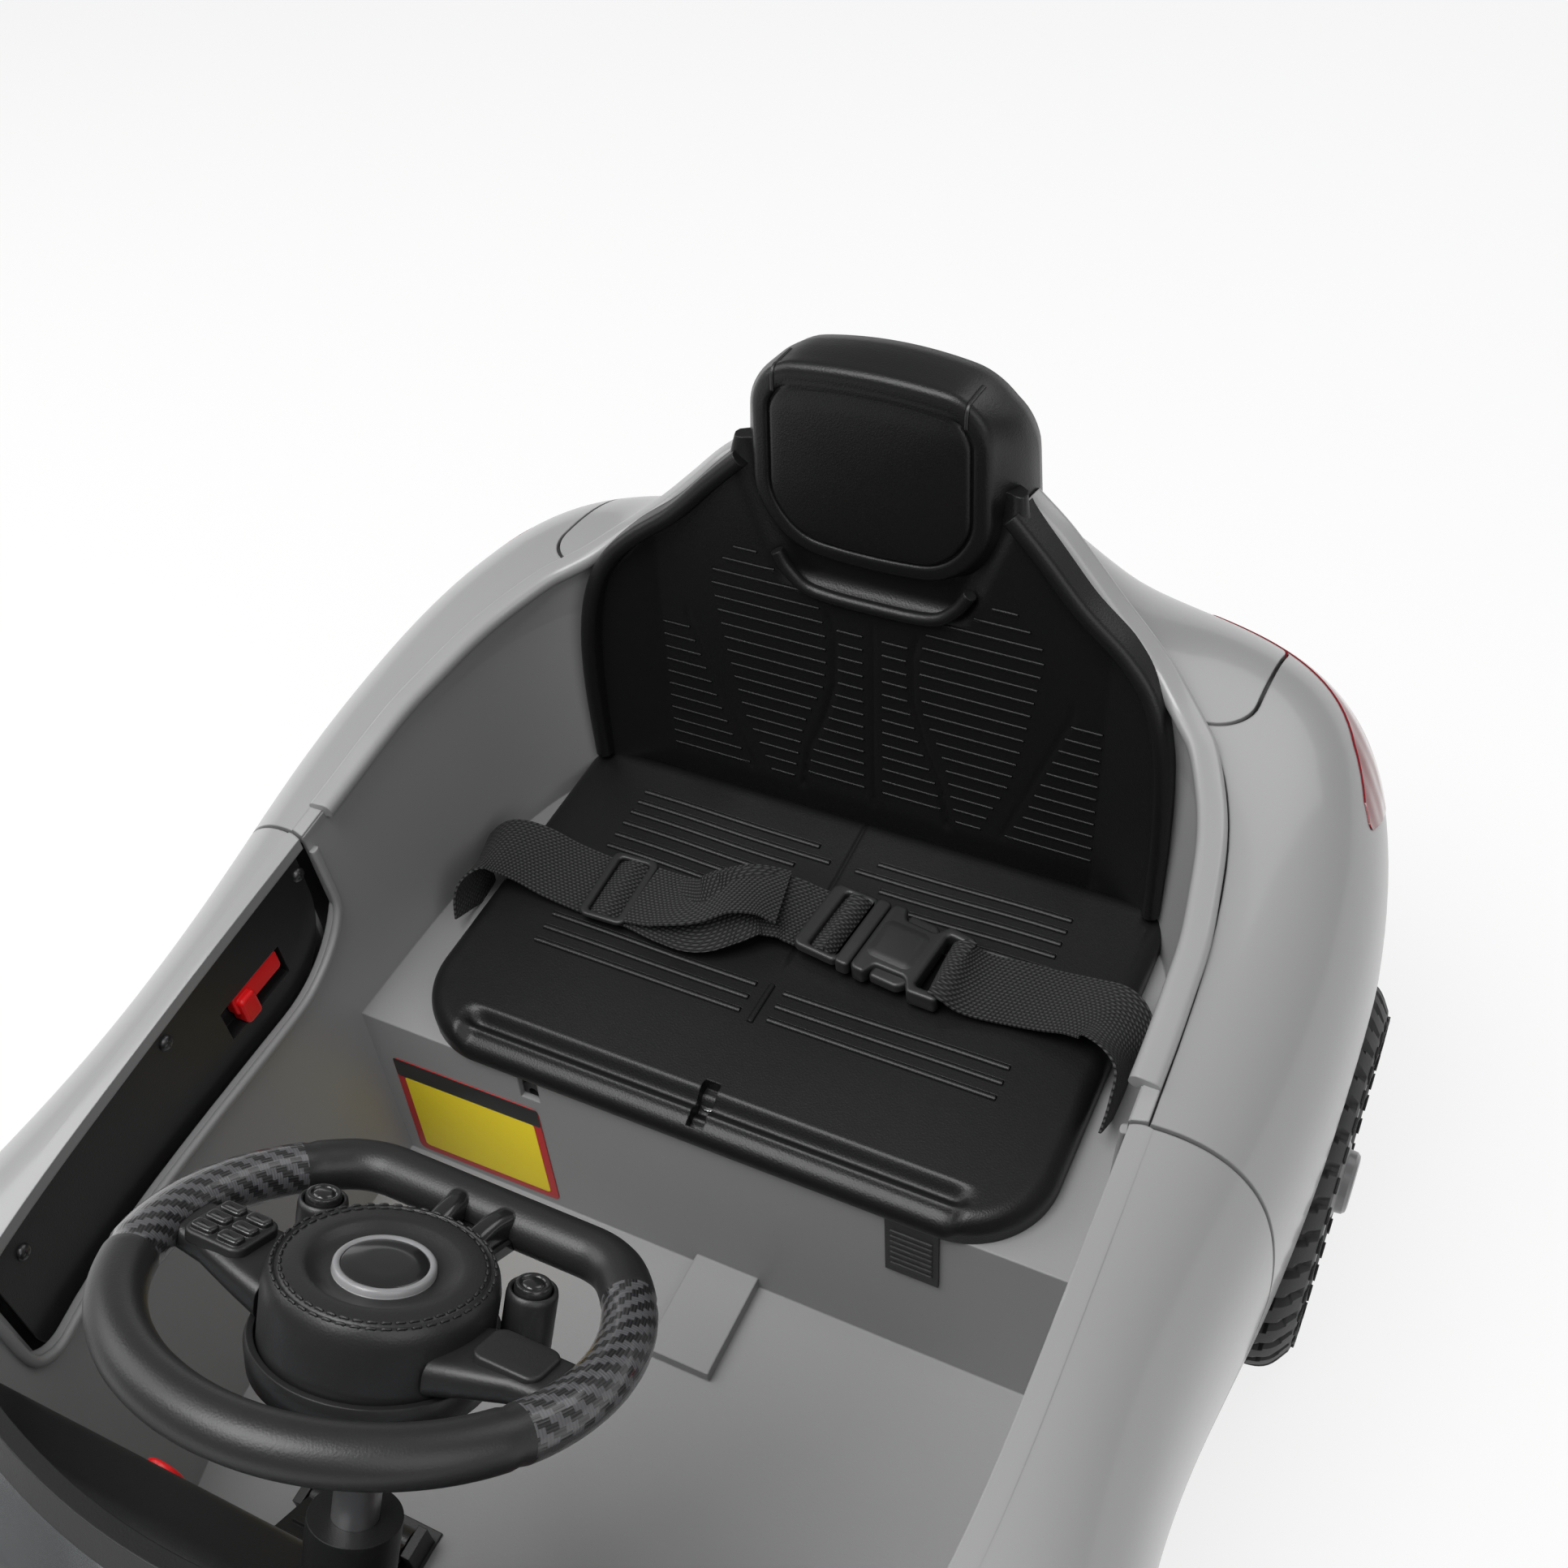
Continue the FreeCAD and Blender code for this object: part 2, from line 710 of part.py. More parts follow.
def front_view_prism(half, low, high, radius, grow, middle_x=0.0):
    """Rounded opening seen from the front, cut through the nose only."""
    outline = ((middle_x - half - grow, low - grow), (middle_x + half + grow, low - grow),
               (middle_x + half + grow, high + grow), (middle_x - half - grow, high + grow))
    points = [Vector(x, -FAR, z) for x, z in outline]
    return prism(points, radius + grow, Vector(0, FAR + FRONT_AXLE_Y - 60.0, 0))


def nose_openings(grow):
    """Grille and two air intakes seen from the front."""
    low, high = INTAKE_Z - INTAKE_SIZE[1] / 2.0, INTAKE_Z + INTAKE_SIZE[1] / 2.0
    intake = front_view_prism(INTAKE_SIZE[0] / 2.0 - 8.0, low, high, 10.0, grow, INTAKE_X)
    return [front_view_prism(GRILLE_HALF_WIDTH, GRILLE_BASE_Z, GRILLE_TOP_Z, 28.0, grow)] + both(intake)


def make_front_body():
    """Front body moulding with bonnet line, lamp, grille and hinge places."""
    body = skin_layer(FRONT_ANGLES, 0.0, SKIN)
    body = body.cut(arch_cutter(FRONT_AXLE_Y, FRONT_ARCH_RADIUS) + nose_openings(0.0) + both(lamp_prism(0.0)))
    body = body.cut(both(door_prism(PANEL_GAP * 1.5)))
    groove = skin_layer(FRONT_ANGLES, -1.0, SKIN / 2.0)
    outline = ((BONNET_HALF_WIDTH, BONNET_REAR_Y), (-BONNET_HALF_WIDTH, BONNET_REAR_Y),
               (-BONNET_HALF_WIDTH * 0.78, BONNET_FRONT_Y), (BONNET_HALF_WIDTH * 0.78, BONNET_FRONT_Y))
    line = plan_prism(outline, 26.0, SILL_Z + 80.0)
    inside = [(x * 0.985, BONNET_REAR_Y - PANEL_GAP if y == BONNET_REAR_Y else y + PANEL_GAP)
              for x, y in outline]
    body = body.cut(groove.common(line.cut(plan_prism(inside, 24.0, SILL_Z + 80.0))))
    low, low_top, barrel, barrel_top, high, high_top = hinge_levels()
    lugs = [hinge_cylinder(HINGE_BARREL_RADIUS, low, low_top),
            hinge_cylinder(HINGE_BARREL_RADIUS, high, high_top)]
    notch = hinge_cylinder(HINGE_BARREL_RADIUS + 1.0, barrel - FIT, barrel_top + FIT)
    bore = hinge_cylinder(HINGE_PIN_RADIUS, low, high_top)
    body = body.cut(both(notch))
    body = one([biggest(body)] + both(lugs[0]) + both(lugs[1]))
    return biggest(body.cut(both(bore)))


def make_rear_body():
    """Rear body moulding with wheel arches and lamp places."""
    body = skin_layer(REAR_ANGLES, 0.0, SKIN)
    opening = door_prism(PANEL_GAP * 1.5, PANEL_GAP + 1.0).common(door_reach(PANEL_GAP))
    cutters = arch_cutter(REAR_AXLE_Y, REAR_ARCH_RADIUS) + both(opening)
    cutters += both(tail_lamp_prism(0.0)) + [deck_prism(PANEL_GAP)]
    return biggest(body.cut(cutters))


def make_rear_deck():
    """Deck panel behind the seat with the headrest fairing."""
    deck = skin_layer(REAR_ANGLES, 0.0, SKIN).common(deck_prism(0.0))
    cutters = both(tail_lamp_prism(0.0)) + [cockpit_volume(RAIL_GAP * 0.3, COWL_TOP_Z - 30.0)]
    return biggest(deck.cut(cutters))


def make_headlamp_lenses():
    """Clear covers of the two headlamps, in the line of the skin."""
    lens = biggest(skin_layer(FRONT_ANGLES, 0.3, SKIN).common(lamp_prism(-FIT)))
    return Part.makeCompound(both(lens))


def make_tail_lamp_lenses():
    """Red covers of the two tail lamps, wrapped round the rear corners."""
    lens = biggest(skin_layer(REAR_ANGLES, -0.6, SKIN).common(tail_lamp_prism(-FIT)))
    return Part.makeCompound(both(lens))


def make_front_grille():
    """Grille insert with upright slats and the two intake inserts."""
    band = skin_layer(FRONT_ANGLES, 1.0, SKIN + 9.0)
    pieces = [biggest(band.common(opening)) for opening in nose_openings(-FIT)]
    pitch = (2.0 * GRILLE_HALF_WIDTH - 16.0) / GRILLE_SLATS
    slots = []
    for i in range(GRILLE_SLATS):
        x = (i - (GRILLE_SLATS - 1) / 2.0) * pitch
        size = (pitch * 0.58, HALF_LENGTH, GRILLE_TOP_Z - GRILLE_BASE_Z - 18.0)
        slots.append(box(size, (x, -HALF_LENGTH - HALF_LENGTH / 2.0 + 13.0, GRILLE_BASE_Z + 9.0)))
    pieces[0] = biggest(pieces[0].cut(slots))
    sweep = cylinder(FRONT_ARCH_RADIUS, 2.0 * FAR, Vector(-FAR, FRONT_AXLE_Y, WHEEL_RADIUS), Vector(1, 0, 0))
    return Part.makeCompound([biggest(piece.cut(sweep)) for piece in pieces])


def plan_band(first, last, outer, inner, low, high):
    """Flat band that follows the plan outline between two angles."""
    angles = spread(first, last, 25)
    rows = []
    for share in (outer, inner):
        row = [plan_outline(angle) for angle in angles]
        rows.append([(x * share, y * share) for x, y in row])
    curves = []
    for row in rows:
        spline = Part.BSplineCurve()
        spline.interpolate([Vector(x, y, low) for x, y in row])
        curves.append(spline)
    ends = [Part.makeLine(curves[0].value(parameter(curves[0])), curves[1].value(parameter(curves[1])))
            for parameter in (lambda c: c.FirstParameter, lambda c: c.LastParameter)]
    wire = Part.Wire(Part.__sortEdges__([curves[0].toShape(), ends[0], curves[1].toShape(), ends[1]]))
    return Part.Face(wire).extrude(Vector(0, 0, high - low))


def make_lower_valances():
    """Black lip under the nose and diffuser under the tail."""
    low, high = SILL_Z - LIP_HEIGHT, SILL_Z - FIT
    inner = 1.0 - LIP_DEPTH / HALF_LENGTH
    bands = []
    for middle, reach in ((-math.pi / 2.0, LIP_FRONT_SPREAD), (math.pi / 2.0, LIP_REAR_SPREAD)):
        half = math.radians(reach)
        bands.append(plan_band(middle - half, middle + half, 1.0, inner, low, high))
    return Part.makeCompound(bands)


def door_angles():
    """Angles that cover the left door's part of the skin."""
    return spread(angle_at(DOOR_FRONT_Y - 12.0), angle_at(DOOR_REAR_Y + 14.0), 25)


def make_door_shell():
    """Left door: outer skin, closing walls, top strip and hinge barrel."""
    angles = door_angles()
    skin = skin_layer(angles, 0.0, SKIN).common(door_prism(0.0, 1.0))
    outer = skin_grid(angles, SKIN / 2.0, 24, 0.0, 0.97)
    inner = [[Vector(cockpit_x(p.y) - PANEL_INSET + FIT, p.y, p.z) for p in row] for row in outer]
    ring = door_prism(-1.0,
                      -DOOR_REAR_RELIEF).cut(door_prism(-1.0 - DOOR_WALL, -DOOR_REAR_RELIEF - DOOR_WALL))
    walls = patch_solid(outer, inner).common(ring)
    top, bottom = [], []
    for angle in angles:
        rim = rim_point(angle)
        across = ((1.5, -0.4), (-1.0, BEAD_PROUD), (-BEAD_WIDTH, BEAD_PROUD))
        top.append([rim + Vector(dx, 0, dz) for dx, dz in across])
        bottom.append([rim + Vector(dx, 0, BEAD_PROUD - BEAD_HEIGHT) for dx, dz in across])
    strip = patch_solid(top, bottom).common(door_prism(-1.0, 1.0))
    low, low_top, barrel, barrel_top, high, high_top = hinge_levels()
    pin_clear = HINGE_BARREL_RADIUS + 1.0
    notches = [hinge_cylinder(pin_clear, low - FIT, low_top + FIT),
               hinge_cylinder(pin_clear, high - FIT, high_top + FIT)]
    door = one([biggest(skin)] + walls.Solids + strip.Solids + [hinge_cylinder(HINGE_BARREL_RADIUS, barrel,
            barrel_top)])
    bore = hinge_cylinder(HINGE_PIN_RADIUS + RUNNING_FIT, low, high_top)
    return biggest(door.cut(notches + [bore]).common(door_reach(0.0)))


def panel_outline(grow):
    """Side view of a door's inner panel."""
    front, rear = DOOR_FRONT_Y + 8.0 - grow, DOOR_REAR_Y - DOOR_REAR_RELIEF - 1.0 + grow
    base = PANEL_BASE_Z - grow
    top = DECK_TOP_Z
    corners = [0.0, 16.0 + grow, PANEL_CORNER + grow, 0.0]
    return ((front, top), (front, base), (rear, base), (rear, top)), corners


def latch_box(size, depth_from, depth_to):
    """Upright block at the left door's latch place, depths measured outwards from the panel face."""
    face = cockpit_x(LATCH_Y) - PANEL_INSET - PANEL_THICK
    corner = Vector(face + depth_from, LATCH_Y - size[0] / 2.0, LATCH_Z - size[1] / 2.0)
    return Part.makeBox(depth_to - depth_from, size[0], size[1], corner)


def make_door_panel():
    """Left door's black inner panel with the latch pocket."""
    inner, outer = [], []
    for y in spread(DOOR_FRONT_Y, DOOR_REAR_Y, 21):
        top = rim_point(angle_at(y)).z + BEAD_PROUD - BEAD_HEIGHT - 2.0 * FIT
        x = cockpit_x(y) - PANEL_INSET
        heights = spread(PANEL_BASE_Z - 2.0, top, 5)
        outer.append([Vector(x, y, z) for z in heights])
        inner.append([Vector(x - PANEL_THICK, y, z) for z in heights])
    outline, radii = panel_outline(0.0)
    panel = patch_solid(outer, inner).common(side_prism(outline, radii))
    tray_size = (LATCH_SIZE[0] + 5.0, LATCH_SIZE[1] + 5.0)
    panel = one([biggest(panel), latch_box(tray_size, 1.0, 11.0)])
    return biggest(panel.cut(latch_box(LATCH_SIZE, -4.0, 8.5)))


def make_door_latch():
    """Left door's red sliding latch with finger ribs."""
    slider = latch_box((LATCH_SIZE[0] - LATCH_TRAVEL - 2.0, LATCH_SIZE[1] - 2.0 * FIT), 5.0, 8.5 - FIT)
    shift = Vector(0, LATCH_TRAVEL / 2.0, 0)
    ribs = []
    for i in (-1, 0, 1):
        rib = latch_box((3.0, LATCH_GRIP[1]), 0.5, 6.0)
        rib.translate(Vector(0, i * LATCH_GRIP[0] / 3.0, 0))
        ribs.append(rib)
    latch = one([slider] + ribs)
    latch.translate(shift)
    return latch


def make_hinge_pins():
    """Steel pins of the two door hinges."""
    low, _, _, _, _, high_top = hinge_levels()
    return Part.makeCompound(both(hinge_cylinder(HINGE_PIN_RADIUS, low, high_top)))


def tub_door_cutters():
    """Cutters for the door openings in the tub's side walls."""
    front, rear = DOOR_FRONT_Y - PANEL_GAP, DOOR_REAR_Y + PANEL_GAP + 1.0
    outline = ((front, DECK_TOP_Z), (front, TUB_DOOR_BASE_Z), (rear, TUB_DOOR_BASE_Z), (rear, DECK_TOP_Z))
    opening = side_prism(outline, [0.0, 20.0, TUB_DOOR_CORNER, 0.0])
    return both(opening.common(door_reach(PANEL_GAP)))


def make_tub_walls():
    """Side walls of the tub with the rail bead along their top, cut open for the doors."""
    base = FLOOR_Z - FLOOR_THICK
    inset = RAIL_GAP + BEAD_WIDTH
    doors = tub_door_cutters()
    wall = cockpit_volume(inset - TUB_WALL, base).cut(cockpit_volume(inset, base - 1.0)).cut(doors)
    for half in rim_slab(BEAD_PROUD - 1.0):
        wall = wall.cut(half)
    bead = cockpit_volume(RAIL_GAP,
                          COWL_TOP_Z - 60.0).cut(cockpit_volume(inset - 0.8, COWL_TOP_Z - 61.0)).cut(doors)
    beads = [bead.common(half) for half in rim_slab(BEAD_PROUD - BEAD_HEIGHT, BEAD_PROUD)]
    return [wall] + beads


def lean_forward(shape):
    """Shape drawn on an upright seat box, turned to the lean of its front wall."""
    shape.rotate(Vector(0, SEAT_BOX_Y, SEAT_BOX_TOP_Z), Vector(1, 0, 0), -SEAT_BOX_LEAN)
    return shape


def make_cockpit_tub():
    """Grey tub: side walls with rail bead, footwell floor and seat box."""
    base = FLOOR_Z - FLOOR_THICK
    inside = cockpit_volume(RAIL_GAP + BEAD_WIDTH - TUB_WALL / 2.0, base - 2.0, SEAT_BOX_TOP_Z + 150.0)
    reach = 2.0 * FAR
    floor = inside.common(Part.makeBox(reach, FAR + SEAT_BOX_Y + TUB_WALL, FLOOR_THICK,
                                       Vector(-FAR, -FAR, base)))
    front = lean_forward(Part.makeBox(reach, TUB_WALL, SEAT_BOX_TOP_Z - base - 1.0,
                                      Vector(-FAR, SEAT_BOX_Y, base + 1.0)))
    deck = inside.common(Part.makeBox(reach, FAR, TUB_WALL,
                                      Vector(-FAR, SEAT_BOX_Y, SEAT_BOX_TOP_Z - TUB_WALL)))
    bay = plan_prism(((BAY_HALF_WIDTH, BAY_FRONT_Y), (BAY_HALF_WIDTH, BAY_REAR_Y),
                      (-BAY_HALF_WIDTH, BAY_REAR_Y),
                      (-BAY_HALF_WIDTH, BAY_FRONT_Y)), 12.0, SEAT_BOX_TOP_Z - 20.0, SEAT_BOX_TOP_Z + 20.0)
    block = box((FLOOR_BLOCK[0], FLOOR_BLOCK[1], FLOOR_BLOCK[2] + 1.0),
                (FLOOR_BLOCK_X, FLOOR_BLOCK_Y, FLOOR_Z - 1.0))
    tub = one(make_tub_walls() + [floor, inside.common(front), deck.cut(bay), block])
    column = cylinder(COLUMN_RADIUS + 5.0, COLUMN_LENGTH + 40.0, HUB, COLUMN_UP * -1.0)
    skirt = SEAT_BOX_TOP_Z - TUB_WALL - TUB_SKIRT
    under = box((2.0 * FAR, FAR, skirt), (0, SEAT_BOX_Y + TUB_WALL + TUB_SKIRT + FAR / 2.0, 0))
    port = box((PORT_SIZE[0], 4.0 * TUB_WALL, PORT_SIZE[1]),
               (PORT_X, SEAT_BOX_Y, SEAT_BOX_TOP_Z - PORT_SIZE[1] + 6.0))
    return biggest(tub.cut(under).cut([column, lean_forward(port)]))


def seat_prism(inset, low, high):
    """Plan outline of the seat base between two heights."""
    half = SEAT_HALF_WIDTH - inset
    front, side, rear = SEAT_FRONT_Y + inset, SEAT_SIDE_Y - inset, SEAT_REAR_Y - inset
    outline = ((half, front), (half - 3.0, side), (BOLSTER_X, rear), (-BOLSTER_X, rear),
               (-half + 3.0, side), (-half, front))
    corner = SEAT_CORNER - inset
    return plan_prism(outline, [corner, 6.0, 6.0, 6.0, 6.0, corner], low, high)


def make_seat_base():
    """Hollow seat lid with a stepped front and a screw slot."""
    base = SEAT_BOX_TOP_Z + FIT
    lid = seat_prism(0.0, base, SEAT_TOP)
    top_edges = [e for e in lid.Edges if e.BoundBox.ZMin > SEAT_TOP - 0.1]
    lid = lid.makeFillet(SEAT_EDGE, top_edges)
    lid = lid.cut(seat_prism(SEAT_WALL + SEAT_EDGE / 2.0, base - 1.0, SEAT_TOP - SEAT_WALL))
    step = cylinder(SEAT_STEP_RADIUS, 2.0 * SEAT_STEP_HALF,
                    Vector(-SEAT_STEP_HALF, SEAT_STEP_Y, SEAT_TOP + 1.5), Vector(1, 0, 0))
    post = cylinder(SEAT_SLOT_RADIUS + SEAT_WALL, SEAT_TOP - base, Vector(0, SEAT_SCREW_Y, base),
                    Vector(0, 0, 1))
    slot = cylinder(SEAT_SLOT_RADIUS, SEAT_TOP, Vector(0, SEAT_SCREW_Y, base + SEAT_WALL), Vector(0, 0, 1))
    hole = cylinder(SEAT_SCREW_RADIUS + FIT / 2.0, SEAT_TOP, Vector(0, SEAT_SCREW_Y, base - 1.0),
                    Vector(0, 0, 1))
    crease = box((BODY_WIDTH, SEAT_CREASE[0], 10.0), (0, SEAT_CREASE_Y, SEAT_TOP - SEAT_CREASE[1]))
    return biggest(one([lid, post]).cut([step, slot, hole, crease]))


def make_seat_screw():
    """Screw that holds the seat base down."""
    base = SEAT_BOX_TOP_Z + FIT
    head = cylinder(SEAT_SCREW_RADIUS + 2.4, 3.0, Vector(0, SEAT_SCREW_Y, base + SEAT_WALL), Vector(0, 0, 1))
    shank = cylinder(SEAT_SCREW_RADIUS, SEAT_WALL + 0.5, Vector(0, SEAT_SCREW_Y, base), Vector(0, 0, 1))
    cross = [box((6.0, 1.0, 2.0), (0, SEAT_SCREW_Y, base + SEAT_WALL + 1.6)),
             box((1.0, 6.0, 2.0), (0, SEAT_SCREW_Y, base + SEAT_WALL + 1.6))]
    return one([head, shank]).cut(cross)


def head_front_prism(grow):
    """Front view of the headrest, extruded along the car."""
    outline = ((-HEAD_BASE_HALF - grow, HEAD_BASE_Z - grow), (HEAD_BASE_HALF + grow, HEAD_BASE_Z - grow),
               (HEAD_TOP_HALF + grow, HEAD_TOP_Z + grow), (-HEAD_TOP_HALF - grow, HEAD_TOP_Z + grow))
    points = [Vector(x, 0, z) for x, z in outline]
    return prism(points, HEAD_CORNER + grow, Vector(0, FAR, 0))


def make_seat_back():
    """Bucket seat back with side bolsters, open for the headrest."""
    wing = BACK_BASE_Y - BOLSTER_FORWARD
    front = ((-BACK_HALF_WIDTH, wing), (-BOLSTER_X, BACK_BASE_Y), (BOLSTER_X, BACK_BASE_Y),
             (BACK_HALF_WIDTH, wing))
    outline = front + tuple((x, y + BACK_THICK) for x, y in reversed(front))
    height = BACK_TOP_Z - BACK_BASE_Z
    lean = height * math.tan(math.radians(BACK_LEAN))
    points = [Vector(x, y, BACK_BASE_Z) for x, y in outline]
    back = prism(points, 0.0, Vector(0, lean, height))
    shoulder = BACK_HALF_WIDTH - BACK_TAPER
    view = ((-BACK_HALF_WIDTH, BACK_BASE_Z), (BACK_HALF_WIDTH, BACK_BASE_Z), (shoulder, BACK_SHOULDER_Z),
            (BACK_TOP_HALF, BACK_TOP_Z), (-BACK_TOP_HALF, BACK_TOP_Z), (-shoulder, BACK_SHOULDER_Z))
    window = prism([Vector(x, 0, z) for x, z in view], [2.0, 2.0, 14.0, 8.0, 8.0, 14.0], Vector(0, FAR, 0))
    inside = cockpit_volume(RAIL_GAP + BEAD_WIDTH + 1.0, BACK_BASE_Z - 5.0)
    return biggest(back.common(window).cut(head_front_prism(FIT)).common(inside))


def make_headrest():
    """Headrest shell with its raised pad, hooked over the cockpit rim."""
    shelf = rim_point(math.pi / 2.0).z + 3.0
    foot = HEAD_FRONT_Y + HEAD_FOOT
    lean = math.tan(math.radians(BACK_LEAN)) * (HEAD_TOP_Z - HEAD_BASE_Z)
    rear = HEAD_FRONT_Y + HEAD_DEPTH + lean
    side = ((HEAD_FRONT_Y, HEAD_BASE_Z), (HEAD_FRONT_Y + lean, HEAD_TOP_Z), (rear, HEAD_TOP_Z - 6.0),
            (rear, shelf),
            (foot, shelf), (foot, HEAD_BASE_Z))
    points = [Vector(-HALF_WIDTH, y, z) for y, z in side]
    body = prism(points, [4.0, 16.0, 20.0, 4.0, 0.0, 4.0],
                 Vector(BODY_WIDTH, 0, 0)).common(head_front_prism(0.0))
    pad_outline = ((-HEAD_BASE_HALF + PAD_INSET, HEAD_BASE_Z + PAD_INSET / 2.0),
                   (HEAD_BASE_HALF - PAD_INSET, HEAD_BASE_Z + PAD_INSET / 2.0),
                   (HEAD_TOP_HALF - PAD_INSET / 3.0, HEAD_TOP_Z - PAD_INSET),
                   (-HEAD_TOP_HALF + PAD_INSET / 3.0, HEAD_TOP_Z - PAD_INSET))
    pad = prism([Vector(x, HEAD_FRONT_Y - PAD_PROUD, z) for x, z in pad_outline], PAD_CORNER,
                Vector(0, HEAD_FOOT, 0))
    hollow = prism([Vector(-HALF_WIDTH, y, z) for y, z in (
        (foot + lean, shelf - 1.0), (foot + lean, HEAD_TOP_Z - HEAD_WALL * 2.0),
        (rear - HEAD_WALL, HEAD_TOP_Z - HEAD_WALL * 2.0), (rear - HEAD_WALL, shelf - 1.0))], 0.0,
        Vector(BODY_WIDTH, 0, 0))
    return biggest(one([biggest(body), pad]).cut(hollow.common(head_front_prism(-HEAD_WALL))))


def make_seat_clip():
    """Ribbed black plate on the front of the seat box."""
    front = SEAT_BOX_Y - PLATE_SIZE[1] / 2.0
    plate = box(PLATE_SIZE, (PLATE_X, front, SEAT_BOX_TOP_Z - PLATE_SIZE[2] - FIT))
    ribs = []
    for i in range(7):
        z = SEAT_BOX_TOP_Z - PLATE_SIZE[2] + 6.0 + 4.5 * i
        ribs.append(box((PLATE_SIZE[0] - 6.0, 1.2, 1.6), (PLATE_X, SEAT_BOX_Y - PLATE_SIZE[1] - 0.3, z)))
    return lean_forward(one([plate] + ribs))


def ribbon(path, thick):
    """Strip of webbing: a path in the cross plane of the car, given a thickness and the web's width."""
    left, right = [], []
    for i, (x, z) in enumerate(path):
        before, after = path[max(i - 1, 0)], path[min(i + 1, len(path) - 1)]
        along = Vector(after[0] - before[0], 0, after[1] - before[1]).normalize()
        normal = Vector(-along.z, 0, along.x) * (thick / 2.0)
        point = Vector(x, BELT_Y - WEB_WIDTH / 2.0, z)
        left.append(point + normal)
        right.append(point - normal)
    wire = Part.makePolygon(left + right[::-1] + [left[0]])
    return Part.Face(wire).extrude(Vector(0, WEB_WIDTH, 0))


def make_belt_straps():
    """Two webbing straps from the side gaps over the seat to the buckle."""
    low, top = SEAT_BOX_TOP_Z + 1.0, SEAT_TOP + BELT_CLEAR + WEB_THICK / 2.0
    side = WEB_SIDE_X
    end_right = BUCKLE_X + BUCKLE_LENGTH / 2.0 + FIT
    end_left = BUCKLE_X - BUCKLE_LENGTH / 2.0 - FIT
    bend = ((side + 4.0, low), (side + 4.0, top - 6.0), (side + 2.0, top + 2.0), (side - 5.0, top + 6.0),
            (side - 16.0, top + 4.0), (side - 30.0, top))
    right = ribbon(bend + ((end_right, top),), WEB_THICK)
    left = ribbon(tuple((-x, z) for x, z in bend) + ((end_left, top),), WEB_THICK)
    return Part.makeCompound([right, left])


def buckle_block(x_from, x_to, inset=0.0):
    """Rounded block of the buckle between two places across the car."""
    base = SEAT_TOP + FIT
    size = (x_to - x_from, BUCKLE_WIDTH - 2.0 * inset, BUCKLE_HEIGHT)
    block = box(size, ((x_from + x_to) / 2.0, BELT_Y, base))
    return block.makeFillet(2.5, block.Edges)


def make_belt_buckle_socket():
    """Socket half of the side-release buckle with its strap bar."""
    end = BUCKLE_X + BUCKLE_LENGTH / 2.0
    body = buckle_block(end - BUCKLE_LENGTH + PLUG_LENGTH, end)
    window = box((9.0, WEB_WIDTH + 1.0, BUCKLE_HEIGHT * 2.0), (end - 9.5, BELT_Y, SEAT_TOP - 2.0))
    return biggest(body.cut(window))


def make_belt_buckle_plug():
    """Plug half of the buckle with its two side springs."""
    start = BUCKLE_X - BUCKLE_LENGTH / 2.0
    end = start + PLUG_LENGTH - FIT
    body = buckle_block(start, end)
    window = box((9.0, WEB_WIDTH + 1.0, BUCKLE_HEIGHT * 2.0), (start + 9.5, BELT_Y, SEAT_TOP - 2.0))
    notch = [box((9.0, 12.0, BUCKLE_HEIGHT * 2.0),
                 (end - 3.0, BELT_Y + side * (BUCKLE_WIDTH / 2.0), SEAT_TOP - 2.0)) for side in (-1, 1)]
    return biggest(body.cut([window] + notch))


def make_belt_adjuster():
    """Three-bar adjuster round the long strap."""
    base = SEAT_TOP + FIT / 2.0
    frame = box((ADJUSTER_LENGTH, WEB_WIDTH + 8.0, ADJUSTER_HEIGHT), (ADJUSTER_X, BELT_Y, base))
    top = SEAT_TOP + BELT_CLEAR
    passage = box((FAR, WEB_WIDTH + 1.0, WEB_THICK + 0.8), (ADJUSTER_X, BELT_Y, top - 0.4))
    passage = passage.common(box((ADJUSTER_LENGTH + 10.0, FAR, FAR), (ADJUSTER_X, BELT_Y, 0.0)))
    windows = [box((7.0, WEB_WIDTH + 1.0, ADJUSTER_HEIGHT), (ADJUSTER_X + s * 6.5, BELT_Y, top))
               for s in (-1, 1)]
    return biggest(frame.cut([passage] + windows))


def on_column(shape):
    """Put a shape made round the upright axis onto the leaning steering axis, hub face at zero."""
    placed = shape.copy()
    placed.rotate(Vector(0, 0, 0), Vector(1, 0, 0), COLUMN_TILT - 90.0)
    placed.translate(HUB)
    return placed


def rim_path():
    """Flat-bottomed path of the steering wheel rim."""
    radius, flat = RIM_OUTER - RIM_TUBE, RIM_FLAT - RIM_TUBE
    middle = flat - RIM_CORNER
    side = math.sqrt((radius - RIM_CORNER) ** 2 - middle ** 2)
    turn = math.atan2(middle, side)
    z = -RIM_DROP
    end = Vector(radius * math.cos(turn), radius * math.sin(turn), z)
    half = (turn + math.pi / 2.0) / 2.0
    knee = Vector(side + RIM_CORNER * math.cos(half), middle + RIM_CORNER * math.sin(half), z)
    left = [Vector(-p.x, p.y, z) for p in (end, knee)]
    edges = [
        Part.makeLine(Vector(-side, flat, z), Vector(side, flat, z)),
        Part.Arc(Vector(side, flat, z), knee, end).toShape(),
        Part.Arc(end, Vector(0, -radius, z), left[0]).toShape(),
        Part.Arc(left[0], left[1], Vector(-side, flat, z)).toShape(),
    ]
    return Part.Wire(edges)


